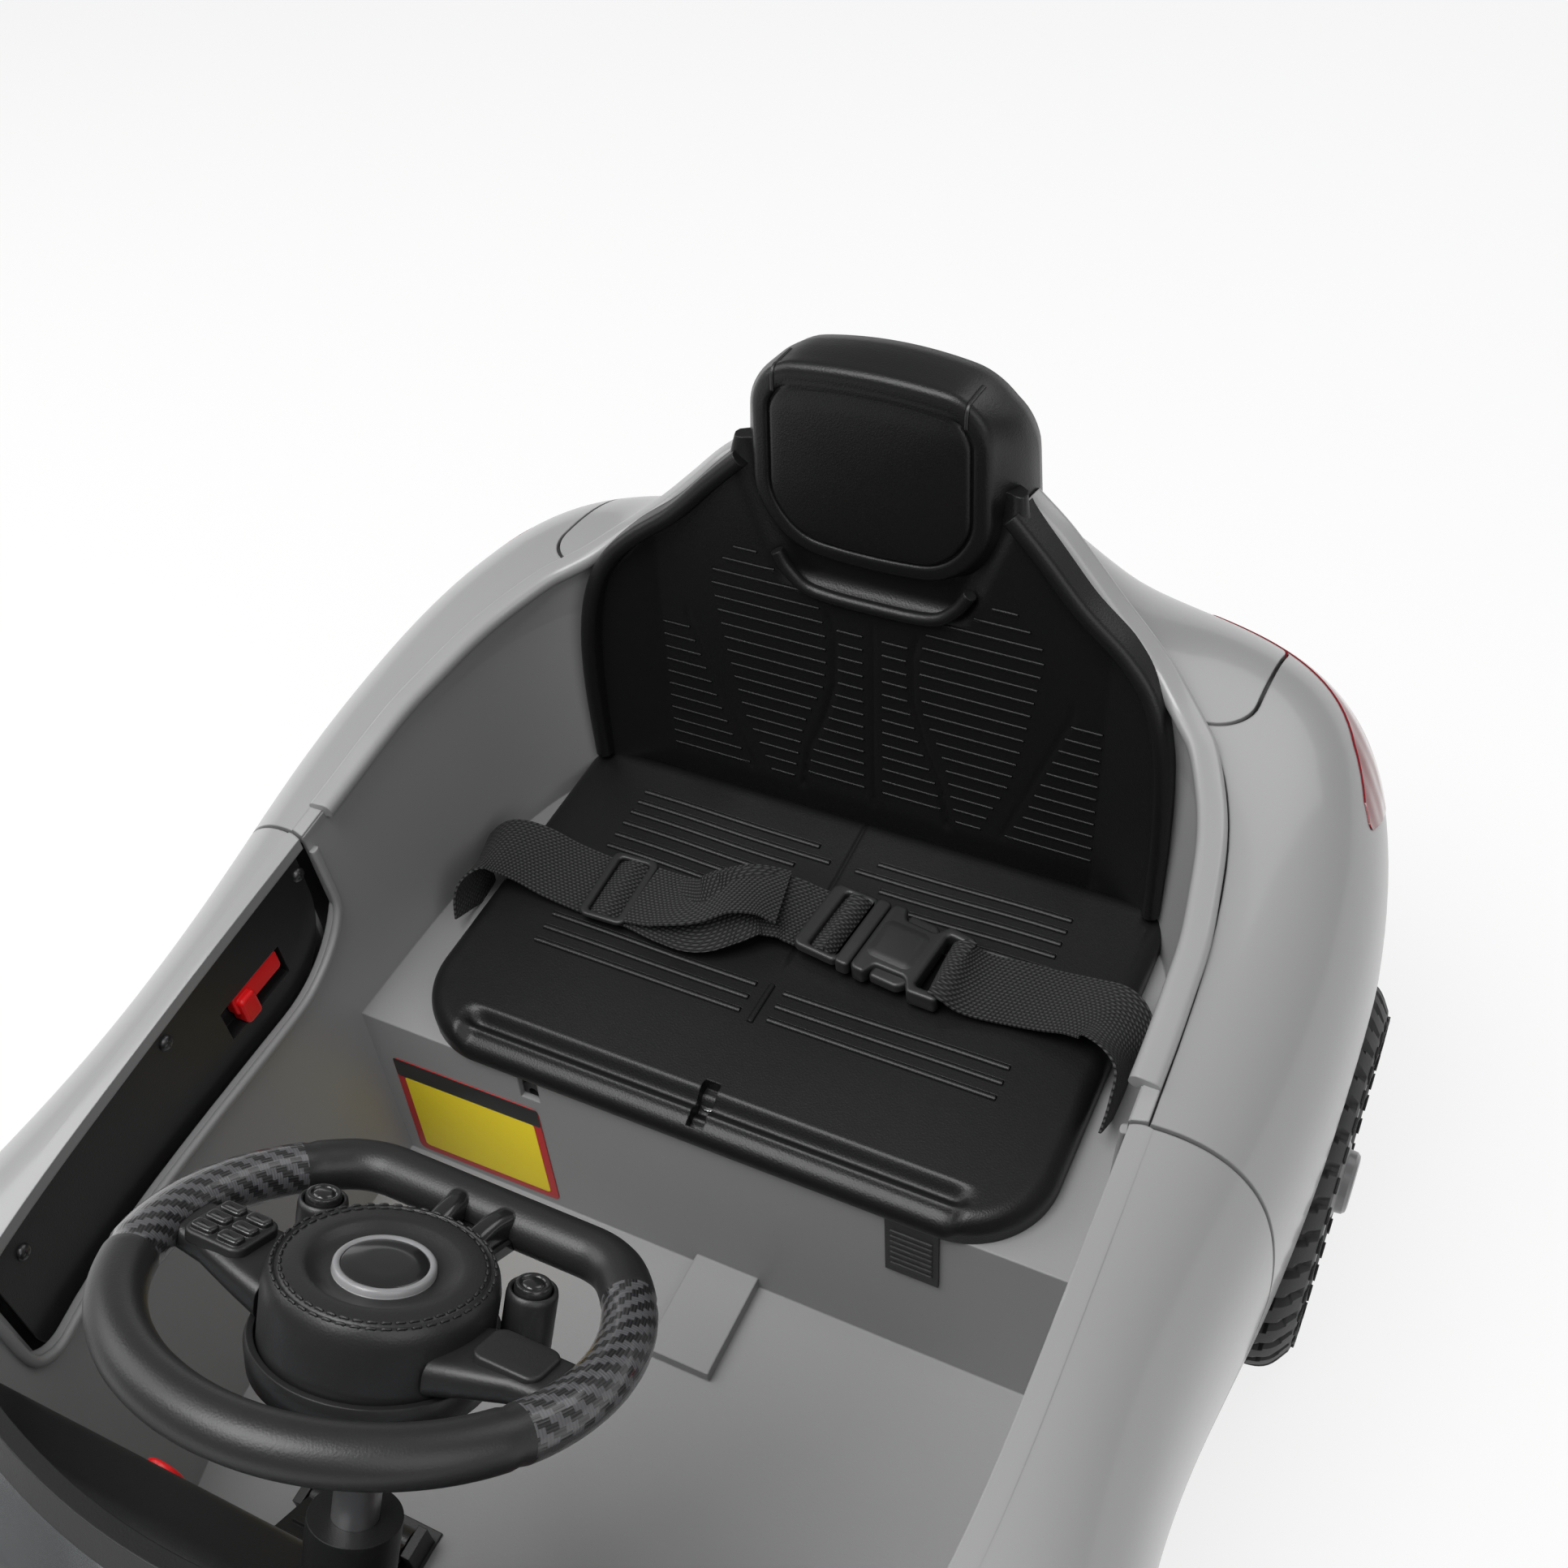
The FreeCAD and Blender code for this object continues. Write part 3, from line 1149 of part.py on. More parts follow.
def make_steering_wheel():
    """Steering wheel: flat-bottomed rim, three spokes, hub base and button cups."""
    flat = RIM_FLAT - RIM_TUBE
    profile = Part.Wire([Part.makeCircle(RIM_TUBE, Vector(0, flat, -RIM_DROP), Vector(1, 0, 0))])
    rim = rim_path().makePipeShell([profile], True, True)
    hub = cylinder(PAD_RADIUS + 3.5, HUB_BASE_DEPTH, Vector(0, 0, -PAD_DEPTH - HUB_BASE_DEPTH),
                   Vector(0, 0, 1))
    reach = RIM_OUTER - RIM_TUBE
    drop = -RIM_DROP - 6.0
    spokes = [box((reach * 2.0, 26.0, 9.0), (0, -8.0, drop))]
    for side in (-1, 1):
        spokes.append(box((9.0, flat, 9.0), (side * 9.0, flat / 2.0, drop)))
    middle = cylinder(PAD_RADIUS + 1.0, PAD_DEPTH + 2.0, Vector(0, 0, -PAD_DEPTH), Vector(0, 0, 1))
    legs = [box((22.0, 24.0, drop + PAD_DEPTH + 14.0), (side * (PAD_RADIUS + 8.0), -8.0, -PAD_DEPTH - 8.0))
            for side in (-1, 1)]
    legs.append(box((27.0, 14.0, drop + PAD_DEPTH + 14.0), (0, PAD_RADIUS + 7.5, -PAD_DEPTH - 8.0)))
    cups = []
    for side in (-1, 1):
        at = Vector(side * BUTTON_X, BUTTON_DOWN, -PAD_DEPTH - 8.0)
        cups.append(cylinder(BUTTON_RADIUS + 2.4, PAD_DEPTH - 4.0, at, Vector(0, 0, 1)))
    wheel = one([rim] + [spoke.cut(middle) for spoke in spokes] + [hub] + legs + cups)
    bores = []
    for side in (-1, 1):
        at = Vector(side * BUTTON_X, BUTTON_DOWN, -PAD_DEPTH + 6.0)
        bores.append(cylinder(BUTTON_RADIUS + FIT, PAD_DEPTH, at, Vector(0, 0, 1)))
    return on_column(biggest(wheel.cut(bores + [middle])))


def make_steering_hub_pad():
    """Round hub pad of the steering wheel with a raised ring."""
    pad = cylinder(PAD_RADIUS, PAD_DEPTH - FIT, Vector(0, 0, -PAD_DEPTH + FIT), Vector(0, 0, 1))
    pad = pad.makeFillet(7.0, [e for e in pad.Edges if e.BoundBox.ZMin > -0.1])
    groove = Part.makeTorus(PAD_RADIUS * 0.64, 1.2, Vector(0, 0, 0), Vector(0, 0, 1))
    return on_column(pad.cut(groove))


def make_horn_button(side):
    """Push button beside the hub pad."""
    at = Vector(side * BUTTON_X, BUTTON_DOWN, -PAD_DEPTH + 6.0 + BUTTON_TRAVEL + 1.0)
    button = cylinder(BUTTON_RADIUS, -at.z - 1.0, at, Vector(0, 0, 1))
    button = button.makeFillet(1.5, [e for e in button.Edges if e.BoundBox.ZMin > -1.2])
    ring = Part.makeTorus(BUTTON_RADIUS * 0.55, 0.6, Vector(at.x, at.y, -1.0), Vector(0, 0, 1))
    return on_column(button.cut(ring))


def make_steering_column():
    """Steel steering column with the crank that moves the tie rod."""
    top = -PAD_DEPTH - HUB_BASE_DEPTH
    rod = cylinder(COLUMN_RADIUS, COLUMN_LENGTH + top, Vector(0, 0, -COLUMN_LENGTH), Vector(0, 0, 1))
    arm = box((2.0 * CRANK_PIN_RADIUS + 5.0, CRANK_RADIUS, 7.0), (0, CRANK_RADIUS / 2.0, -COLUMN_LENGTH))
    pin = cylinder(CRANK_PIN_RADIUS, 27.0, Vector(0, CRANK_RADIUS, -COLUMN_LENGTH - 20.0), Vector(0, 0, 1))
    return on_column(one([rod, arm, pin]))


def make_tie_rod():
    """Tie rod with a slotted plate for the crank and a slotted eye at each end."""
    base = TIE_ROD_Z - TIE_ROD_SIZE[1] / 2.0
    arm_y = FRONT_AXLE_Y + STEER_ARM
    bar = box((2.0 * KINGPIN_X, TIE_ROD_SIZE[0], TIE_ROD_SIZE[1]), (0, arm_y, base))
    eyes = [cylinder(ARM_PIN_RADIUS + 7.0, TIE_ROD_SIZE[1], Vector(side * KINGPIN_X, arm_y, base),
                     Vector(0, 0, 1)) for side in (-1, 1)]
    crank = HUB - COLUMN_UP * COLUMN_LENGTH + COLUMN_REAR * CRANK_RADIUS
    crank_y = crank.y - (crank.z - TIE_ROD_Z) / math.tan(TILT)
    plate = box((30.0, crank_y + 18.0 - arm_y, TIE_ROD_SIZE[1]), (0, (crank_y + 18.0 + arm_y) / 2.0, base))
    half = CRANK_PIN_RADIUS + CRANK_SLOT_CLEAR
    slot = box((2.0 * half, 32.0, 40.0), (0, crank_y - 4.0, base - 20.0))
    ends = []
    for side in (-1, 1):
        half_eye = ARM_PIN_RADIUS + EYE_CLEAR
        ends.append(box((2.0 * half_eye, 2.0 * half_eye + 5.0, 40.0),
                        (side * KINGPIN_X, arm_y - 1.2, base - 20.0)))
    return one([bar, plate] + eyes).cut([slot] + ends)


def make_knuckle():
    """Left steering knuckle: kingpin barrel, stub axle and steering arm."""
    z = WHEEL_RADIUS
    at = Vector(KINGPIN_X, FRONT_AXLE_Y, z)
    up = Vector(0, 0, 1)
    barrel = cylinder(KNUCKLE_RADIUS, 2.0 * KNUCKLE_HALF, at - up * KNUCKLE_HALF, up)
    reach = KNUCKLE_HALF + LUG_THICK
    pin = cylinder(KINGPIN_RADIUS, 2.0 * reach, at - up * reach, up)
    stub = cylinder(AXLE_RADIUS, STUB_END_X - KINGPIN_X, at, Vector(1, 0, 0))
    collar = cylinder(AXLE_RADIUS + 3.0, WHEEL_INNER_X - 2.0 - KINGPIN_X, at, Vector(1, 0, 0))
    low = z - KNUCKLE_HALF + 1.0
    arm = box((14.0, STEER_ARM + 7.0, 6.0), (KINGPIN_X, FRONT_AXLE_Y + STEER_ARM / 2.0 + 3.5, low))
    foot = TIE_ROD_Z - TIE_ROD_SIZE[1] / 2.0 - 4.0
    arm_pin = cylinder(ARM_PIN_RADIUS, low + 3.0 - foot, Vector(KINGPIN_X, FRONT_AXLE_Y + STEER_ARM, foot),
                       up)
    return one([barrel, pin, stub, collar, arm, arm_pin])


def make_front_beam():
    """Front axle beam with forked ends and two legs on the pan."""
    z = WHEEL_RADIUS
    inner = KINGPIN_X - KNUCKLE_RADIUS - 4.0
    beam = box((2.0 * inner, BEAM_SIZE[0], BEAM_SIZE[1]), (0, FRONT_AXLE_Y, z - BEAM_SIZE[1] / 2.0))
    parts = [beam]
    height = 2.0 * (KNUCKLE_HALF + FIT + LUG_THICK)
    for side in (-1, 1):
        parts.append(box((8.0, BEAM_SIZE[0], height), (side * (inner - 4.0), FRONT_AXLE_Y, z - height / 2.0)))
        for level in (z - height / 2.0, z + height / 2.0 - LUG_THICK):
            parts.append(box((KINGPIN_X - inner + 8.0, BEAM_SIZE[0], LUG_THICK),
                             (side * (KINGPIN_X + inner - 8.0) / 2.0, FRONT_AXLE_Y, level)))
            parts.append(cylinder(BEAM_SIZE[0] / 2.0, LUG_THICK,
                                  Vector(side * KINGPIN_X, FRONT_AXLE_Y, level), Vector(0, 0, 1)))
        top = PAN_Z + PAN_THICK
        parts.append(box((20.0, BEAM_SIZE[0], z - top), (side * 62.0, FRONT_AXLE_Y, top)))
    bores = [cylinder(KINGPIN_RADIUS + RUNNING_FIT, FAR, Vector(side * KINGPIN_X, FRONT_AXLE_Y, 0),
                      Vector(0, 0, 1)) for side in (-1, 1)]
    return one(parts).cut(bores)


def ring_of(points, axis_y):
    """Solid turned round the wheel axis from (x, radius) points."""
    wire = Part.makePolygon([Vector(x, axis_y, WHEEL_RADIUS + r) for x, r in points + [points[0]]])
    return Part.Face(wire).revolve(Vector(0, axis_y, WHEEL_RADIUS), Vector(1, 0, 0), 360.0)


def make_tyre(axle_y):
    """Hollow tyre on the car's left with three tread grooves."""
    x0, x1 = WHEEL_INNER_X, WHEEL_FACE_X
    bore = RIM_RADIUS + FIT
    wall = 4.0
    outer = [(x0, bore), (x0, WHEEL_RADIUS - 20.0), (x0 + 4.0, WHEEL_RADIUS - 8.0),
             (x0 + 12.0, WHEEL_RADIUS - 1.5), (x0 + 20.0, WHEEL_RADIUS)]
    pitch = (TYRE_WIDTH - 40.0) / 3.0
    for i in range(3):
        middle = x0 + 20.0 + pitch * (i + 0.5)
        outer += [(middle - 2.0, WHEEL_RADIUS), (middle - 1.2, WHEEL_RADIUS - 2.5),
                  (middle + 1.2, WHEEL_RADIUS - 2.5), (middle + 2.0, WHEEL_RADIUS)]
    outer += [(x1 - 20.0, WHEEL_RADIUS), (x1 - 12.0, WHEEL_RADIUS - 1.5), (x1 - 4.0, WHEEL_RADIUS - 8.0),
              (x1, WHEEL_RADIUS - 20.0), (x1, bore)]
    tread = WHEEL_RADIUS - 2.5 - wall
    inner = [(x1 - wall, bore), (x1 - wall, WHEEL_RADIUS - 20.0), (x1 - 14.0, tread), (x0 + 14.0, tread),
             (x0 + wall, WHEEL_RADIUS - 20.0), (x0 + wall, bore)]
    return ring_of(outer + inner, axle_y)


def make_rim(axle_y):
    """Left wheel rim: barrel, spokes, hub and cap."""
    x0, x1 = WHEEL_INNER_X, WHEEL_FACE_X
    face = x1 - RIM_RECESS
    barrel = [(x0, RIM_RADIUS), (x1 - 1.0, RIM_RADIUS), (x1 - 1.0, RIM_RADIUS - 2.5),
              (face - 12.0, RIM_RADIUS - RIM_WALL - 3.0), (x0, RIM_RADIUS - RIM_WALL)]
    bore = AXLE_RADIUS + RUNNING_FIT
    hub = [(x0, bore), (x0, HUB_RADIUS), (face, HUB_RADIUS), (face, bore)]
    cap = [(face - 2.0, bore), (face - 2.0, CAP_RADIUS), (x1 + CAP_PROUD - 4.0, CAP_RADIUS),
           (x1 + CAP_PROUD, CAP_RADIUS - 5.0),
           (x1 + CAP_PROUD, 0.0), (x1 + CAP_PROUD - 4.0, 0.0), (x1 + CAP_PROUD - 4.0, CAP_RADIUS - 6.0)]
    spokes = []
    axis = Vector(0, axle_y, WHEEL_RADIUS)
    for i in range(SPOKE_COUNT):
        length = RIM_RADIUS - RIM_WALL / 2.0 - HUB_RADIUS + 6.0
        spoke = Part.makeBox(12.0, SPOKE_WIDTH, length,
                             Vector(face - 14.0, axle_y - SPOKE_WIDTH / 2.0,
                                    WHEEL_RADIUS + HUB_RADIUS - 4.0))
        spoke.rotate(axis, Vector(1, 0, 0), 360.0 * i / SPOKE_COUNT)
        spokes.append(spoke)
    web = [(x0 + 20.0, HUB_RADIUS - 2.0), (x0 + 20.0, RIM_RADIUS - 2.0), (x0 + 23.0, RIM_RADIUS - 2.0),
           (x0 + 23.0, HUB_RADIUS - 2.0)]
    return one([ring_of(barrel, axle_y), ring_of(hub, axle_y), ring_of(cap, axle_y),
                ring_of(web, axle_y)] + spokes)


def spur_gear(teeth, centre, phase, bore):
    """Spur gear with straight-sided teeth, axis across the car."""
    pitch = GEAR_MODULE * teeth / 2.0
    tip, root = pitch + 0.8 * GEAR_MODULE, pitch - 1.1 * GEAR_MODULE
    points = []
    for i in range(teeth):
        middle = phase + 2.0 * math.pi * i / teeth
        step = 2.0 * math.pi / teeth
        for offset, radius in ((-0.28, root), (-0.10, tip), (0.10, tip), (0.28, root)):
            angle = middle + offset * step
            points.append(Vector(0, radius * math.cos(angle), radius * math.sin(angle)) + centre)
    points.append(points[0])
    gear = Part.Face(Part.makePolygon(points)).extrude(Vector(GEAR_WIDTH, 0, 0))
    return gear.cut(cylinder(bore, GEAR_WIDTH, centre, Vector(1, 0, 0))) if bore else gear


def make_drive_gear():
    """Left drive gear with the sleeve that turns the wheel."""
    centre = Vector(GEARBOX_X - GEAR_WIDTH / 2.0, REAR_AXLE_Y, WHEEL_RADIUS)
    bore = AXLE_RADIUS + RUNNING_FIT
    gear = spur_gear(WHEEL_TEETH, centre, 0.0, 0.0)
    sleeve = cylinder(DRIVE_HUB_RADIUS, WHEEL_INNER_X + REAR_TRACK_EXTRA - centre.x, centre, Vector(1, 0, 0))
    return one([gear, sleeve]).cut(cylinder(bore, FAR, centre - Vector(10, 0, 0), Vector(1, 0, 0)))


def make_motor_pinion():
    """Left motor pinion with its shaft."""
    centre = Vector(GEARBOX_X - GEAR_WIDTH / 2.0, PINION_Y, WHEEL_RADIUS)
    gear = spur_gear(PINION_TEETH, centre, math.pi + math.pi / PINION_TEETH, 0.0)
    start = GEARBOX_X - GEARBOX_WIDTH / 2.0 - 8.0
    shaft = cylinder(SHAFT_RADIUS, centre.x + 2.0 - start, Vector(start, PINION_Y, WHEEL_RADIUS),
                     Vector(1, 0, 0))
    return one([gear, shaft])


def make_gearboxes():
    """Housings of the two gearboxes, hollow round their gears, standing on the pan."""
    reach = GEAR_MODULE * (WHEEL_TEETH / 2.0 + 1.0) + GEARBOX_MARGIN
    small = GEAR_MODULE * (PINION_TEETH / 2.0 + 1.0) + GEARBOX_MARGIN
    x0 = GEARBOX_X - GEARBOX_WIDTH / 2.0
    y0, y1 = REAR_AXLE_Y - reach, PINION_Y + small
    base = PAN_Z + PAN_THICK
    height = WHEEL_RADIUS + reach - base
    outer = Part.makeBox(GEARBOX_WIDTH, y1 - y0, height, Vector(x0, y0, base))
    wall = GEARBOX_WALL
    low = WHEEL_RADIUS - reach + wall
    inner = Part.makeBox(GEARBOX_WIDTH - 2.0 * wall, y1 - y0 - 2.0 * wall,
                         WHEEL_RADIUS + reach - wall - low, Vector(x0 + wall, y0 + wall, low))
    across = Vector(1, 0, 0)
    holes = [
        cylinder(DRIVE_HUB_RADIUS + FIT, FAR, Vector(GEARBOX_X, REAR_AXLE_Y, WHEEL_RADIUS), across),
        cylinder(AXLE_RADIUS + FIT, FAR, Vector(0, REAR_AXLE_Y, WHEEL_RADIUS), across),
        cylinder(SHAFT_RADIUS + FIT, GEARBOX_X, Vector(0, PINION_Y, WHEEL_RADIUS), across),
    ]
    return Part.makeCompound(both(outer.cut([inner] + holes)))


def make_motors():
    """Two drive motors flanged to the gearboxes."""
    end = GEARBOX_X - GEARBOX_WIDTH / 2.0 - 0.2
    across = Vector(1, 0, 0)
    can = cylinder(MOTOR_RADIUS, MOTOR_LENGTH, Vector(end - MOTOR_LENGTH, PINION_Y, WHEEL_RADIUS), across)
    tail = cylinder(MOTOR_RADIUS * 0.4, 6.0, Vector(end - MOTOR_LENGTH - 5.0, PINION_Y, WHEEL_RADIUS), across)
    bore = cylinder(SHAFT_RADIUS + FIT, FAR, Vector(end - 14.0, PINION_Y, WHEEL_RADIUS), across)
    return Part.makeCompound(both(one([can, tail]).cut(bore)))


def make_rear_axle():
    """Steel rear axle through both wheels."""
    reach = STUB_END_X + REAR_TRACK_EXTRA
    return cylinder(AXLE_RADIUS, 2.0 * reach, Vector(-reach, REAR_AXLE_Y, WHEEL_RADIUS), Vector(1, 0, 0))


def make_chassis_pan():
    """Black chassis pan with ribs under the floor and bearings for the rear axle."""
    top = PAN_Z + PAN_THICK
    wide, slim = PAN_HALF_WIDTH, PAN_NOSE_HALF
    shoulder = COWL_Y - 6.0
    outline = ((wide, PAN_TAIL_Y), (-wide, PAN_TAIL_Y), (-wide, shoulder), (-slim, shoulder - 40.0),
               (-slim, PAN_NOSE_Y),
               (slim, PAN_NOSE_Y), (slim, shoulder - 40.0), (wide, shoulder))
    parts = [plan_prism(outline, 10.0, PAN_Z, top)]
    for side in (-1, 1):
        length = SEAT_BOX_Y - 20.0 - COWL_Y - 30.0
        parts.append(box((RIB_THICK, length, FLOOR_Z - FLOOR_THICK - PAN_Z),
                         (side * RIB_X, COWL_Y + 30.0 + length / 2.0, PAN_Z)))
        bearing = box((8.0, 30.0, WHEEL_RADIUS + 14.0 - PAN_Z), (side * BEARING_X, REAR_AXLE_Y, PAN_Z))
        parts.append(bearing)
    bore = cylinder(AXLE_RADIUS, 2.0 * FAR, Vector(-FAR, REAR_AXLE_Y, WHEEL_RADIUS), Vector(1, 0, 0))
    return one(parts).cut(bore)


def make_battery():
    """Sealed battery on the pan under the seat, with two terminals."""
    base = PAN_Z + PAN_THICK
    case = box(BATTERY_SIZE, (0, BATTERY_Y, base))
    tabs = [box((5.0, 1.0, 6.0), (side * 60.0, BATTERY_Y, base + BATTERY_SIZE[2] - 0.5)) for side in (-1, 1)]
    return one([case] + tabs)


def make_control_box():
    """Control box on the pan in the nose."""
    case = box(CONTROL_SIZE, (0, PAN_NOSE_Y + CONTROL_SIZE[1] / 2.0 + 4.0, PAN_Z + PAN_THICK))
    return case.makeFillet(3.0, [e for e in case.Edges if e.BoundBox.ZLength > CONTROL_SIZE[2] - 1.0])


def make_charging_socket():
    """Round charging socket behind the slot of the seat box."""
    start = Vector(PORT_X, SEAT_BOX_Y + TUB_WALL, SEAT_BOX_TOP_Z - PORT_SIZE[1] + PORT_SIZE[0] / 2.0 + 2.0)
    body = cylinder(PORT_SIZE[0] / 2.0 + 2.0, 18.0, start, Vector(0, 1, 0))
    return lean_forward(body.cut(cylinder(PORT_SIZE[0] / 4.0, 12.0, start, Vector(0, 1, 0))))


def switch_pin(radius, past):
    """Pivot of the rocker switch, reaching past the switch at both ends."""
    length = SWITCH_SIZE[0] + 2.0 * past
    return cylinder(radius, length, Vector(SWITCH_X - length / 2.0, DASH_REAR_Y - 1.0, SWITCH_Z),
                    Vector(1, 0, 0))


def make_dashboard():
    """Black dashboard between the tub walls, with the column boss and switch holes."""
    side = ((DASH_REAR_Y, DASH_BASE_Z), (DASH_REAR_Y, DASH_TOP_Z - 26.0), (DASH_REAR_Y - 26.0, DASH_TOP_Z),
            (COWL_Y + 12.0, DASH_TOP_Z), (COWL_Y + 12.0, DASH_BASE_Z))
    gap = RAIL_GAP + BEAD_WIDTH + 1.0
    block = prism([Vector(-HALF_WIDTH, y, z) for y, z in side], [6.0, 14.0, 14.0, 3.0, 3.0],
                  Vector(BODY_WIDTH, 0, 0))
    block = block.common(cockpit_volume(gap, DASH_BASE_Z - 5.0))
    hollow = prism([Vector(-HALF_WIDTH, y, z) for y, z in (
        (DASH_REAR_Y - DASH_WALL, DASH_BASE_Z - 1.0), (DASH_REAR_Y - DASH_WALL, DASH_TOP_Z - 28.0),
        (DASH_REAR_Y - 28.0, DASH_TOP_Z - DASH_WALL), (COWL_Y, DASH_TOP_Z - DASH_WALL),
        (COWL_Y, DASH_BASE_Z - 1.0))], 0.0, Vector(BODY_WIDTH, 0, 0))
    hollow = hollow.common(cockpit_volume(gap + DASH_WALL, DASH_BASE_Z - 5.0))
    distance = (HUB_Y - DASH_REAR_Y) / math.cos(TILT)
    boss = cylinder(COLUMN_RADIUS + 9.0, 46.0, HUB - COLUMN_UP * (distance + 26.0), COLUMN_UP)
    bore = cylinder(COLUMN_RADIUS + RUNNING_FIT, FAR, HUB - COLUMN_UP * FAR, COLUMN_UP)
    relief = cylinder(COLUMN_RADIUS + 5.0, FAR - distance - 30.0, HUB - COLUMN_UP * FAR, COLUMN_UP)
    power = cylinder(POWER_RADIUS + FIT, 40.0, Vector(POWER_X, DASH_REAR_Y + 5.0, SWITCH_Z), Vector(0, -1, 0))
    window = box((SWITCH_SIZE[0] + 1.6, 30.0, SWITCH_SIZE[1] + 3.0),
                 (SWITCH_X, DASH_REAR_Y, SWITCH_Z - SWITCH_SIZE[1] / 2.0 - 1.5))
    dash = one([biggest(block.cut(hollow)), boss])
    return one([biggest(dash.cut([bore, relief, power, window])), switch_pin(SWITCH_PIN_RADIUS, 2.0)])


def make_power_button():
    """Round power button in the dashboard."""
    start = Vector(POWER_X, DASH_REAR_Y + 4.0, SWITCH_Z)
    button = cylinder(POWER_RADIUS, 12.0, start, Vector(0, -1, 0))
    return button.makeFillet(1.5, [e for e in button.Edges if e.BoundBox.YMin > DASH_REAR_Y + 3.9])


def make_direction_switch():
    """Forward and reverse rocker switch in the dashboard."""
    rocker = box((SWITCH_SIZE[0], 10.0, SWITCH_SIZE[1]),
                 (SWITCH_X, DASH_REAR_Y - 1.0, SWITCH_Z - SWITCH_SIZE[1] / 2.0))
    start = Vector(SWITCH_X - SWITCH_SIZE[0] / 2.0 - 1.0, DASH_REAR_Y + 30.5, SWITCH_Z)
    dish = cylinder(28.0, SWITCH_SIZE[0] + 2.0, start, Vector(1, 0, 0))
    return biggest(rocker.cut([dish, switch_pin(SWITCH_PIN_RADIUS + RUNNING_FIT, 1.0)]))


def make_pedal():
    """Accelerator pedal plate with its pivot barrel and grip ribs."""
    z = FLOOR_Z + PEDAL_PIVOT_RISE
    width, length, thick = PEDAL_SIZE
    plate = Part.makeBox(width, length, thick,
                         Vector(PEDAL_X - width / 2.0, PEDAL_Y - length, z - thick / 2.0))
    upright = [e for e in plate.Edges if e.BoundBox.ZLength > thick - 0.1]
    plate = plate.makeFillet(3.0, [e for e in upright if e.BoundBox.YMax < PEDAL_Y - 1.0])
    ribs = [box((width - 10.0, 4.0, 3.0), (PEDAL_X, PEDAL_Y - 22.0 - 12.0 * i, z + thick / 2.0 - 1.0))
            for i in range(6)]
    start = Vector(PEDAL_X - width / 2.0, PEDAL_Y, z)
    barrel = cylinder(PEDAL_PIN_RADIUS + 3.5, width, start, Vector(1, 0, 0))
    pedal = one([plate, barrel] + ribs).cut(cylinder(PEDAL_PIN_RADIUS + RUNNING_FIT, width, start,
                                                     Vector(1, 0, 0)))
    pedal.rotate(Vector(PEDAL_X, PEDAL_Y, z), Vector(1, 0, 0), -PEDAL_ANGLE)
    return pedal


def make_pedal_base():
    """Pedal base on the floor with two lugs and the pivot pin."""
    width = PEDAL_SIZE[0]
    z = FLOOR_Z + PEDAL_PIVOT_RISE
    plate = box((width + 14.0, 26.0, 2.0), (PEDAL_X, PEDAL_Y, FLOOR_Z))
    lugs = [box((5.0, 16.0, PEDAL_PIVOT_RISE + 7.0),
                (PEDAL_X + side * (width / 2.0 + 3.5), PEDAL_Y, FLOOR_Z)) for side in (-1, 1)]
    pin = cylinder(PEDAL_PIN_RADIUS, width + 12.0, Vector(PEDAL_X - width / 2.0 - 6.0, PEDAL_Y, z),
                   Vector(1, 0, 0))
    return one([plate, pin] + lugs)


def screen_point(across, up, depth):
    """Point of the windscreen: across from -1 to 1, up from 0 to 1, depth behind its outer face."""
    x = SCREEN_HALF_WIDTH * across * (1.0 - 0.10 * up)
    base_y = SCREEN_BASE_Y + SCREEN_SWEEP * across * across
    base_z = skin_z(SCREEN_HALF_WIDTH * across, base_y) + FIT
    lean = Vector(-0.35 * across, -0.86, 0.38).normalize()
    crown = 1.0 - 0.16 * across ** 4
    point = Vector(x, base_y + SCREEN_RAKE * up, base_z + SCREEN_RISE * up * crown)
    return point - lean * depth * (0.3 + 0.7 * up)


def screen_patch(edge, low, high, front, rear):
    """Part of the windscreen surface as a solid sheet."""
    grids = []
    for depth in (front, rear):
        grids.append([[screen_point(a, u, depth) for u in spread(low, high, 6)]
                      for a in spread(-edge, edge, 21)])
    return patch_solid(grids[0], grids[1])


def make_screen_frame():
    """Black frame of the windscreen standing on the cowl."""
    border = FRAME_BORDER / SCREEN_HALF_WIDTH
    rise = FRAME_BORDER / SCREEN_RISE
    frame = screen_patch(1.0, -0.05, 1.0, 0.0, 7.0)
    frame = frame.cut(screen_patch(1.0 - border, rise, 1.0 - rise, -12.0, 24.0))
    return biggest(frame.cut(skin_layer(FRONT_ANGLES, -FIT, SKIN + 20.0)))


def make_windscreen():
    """Clear sheet of the windscreen inside its frame."""
    border = (FRAME_BORDER + FIT) / SCREEN_HALF_WIDTH
    rise = (FRAME_BORDER + FIT) / SCREEN_RISE
    return screen_patch(1.0 - border, rise, 1.0 - rise, 2.2, 2.2 + SCREEN_THICK)


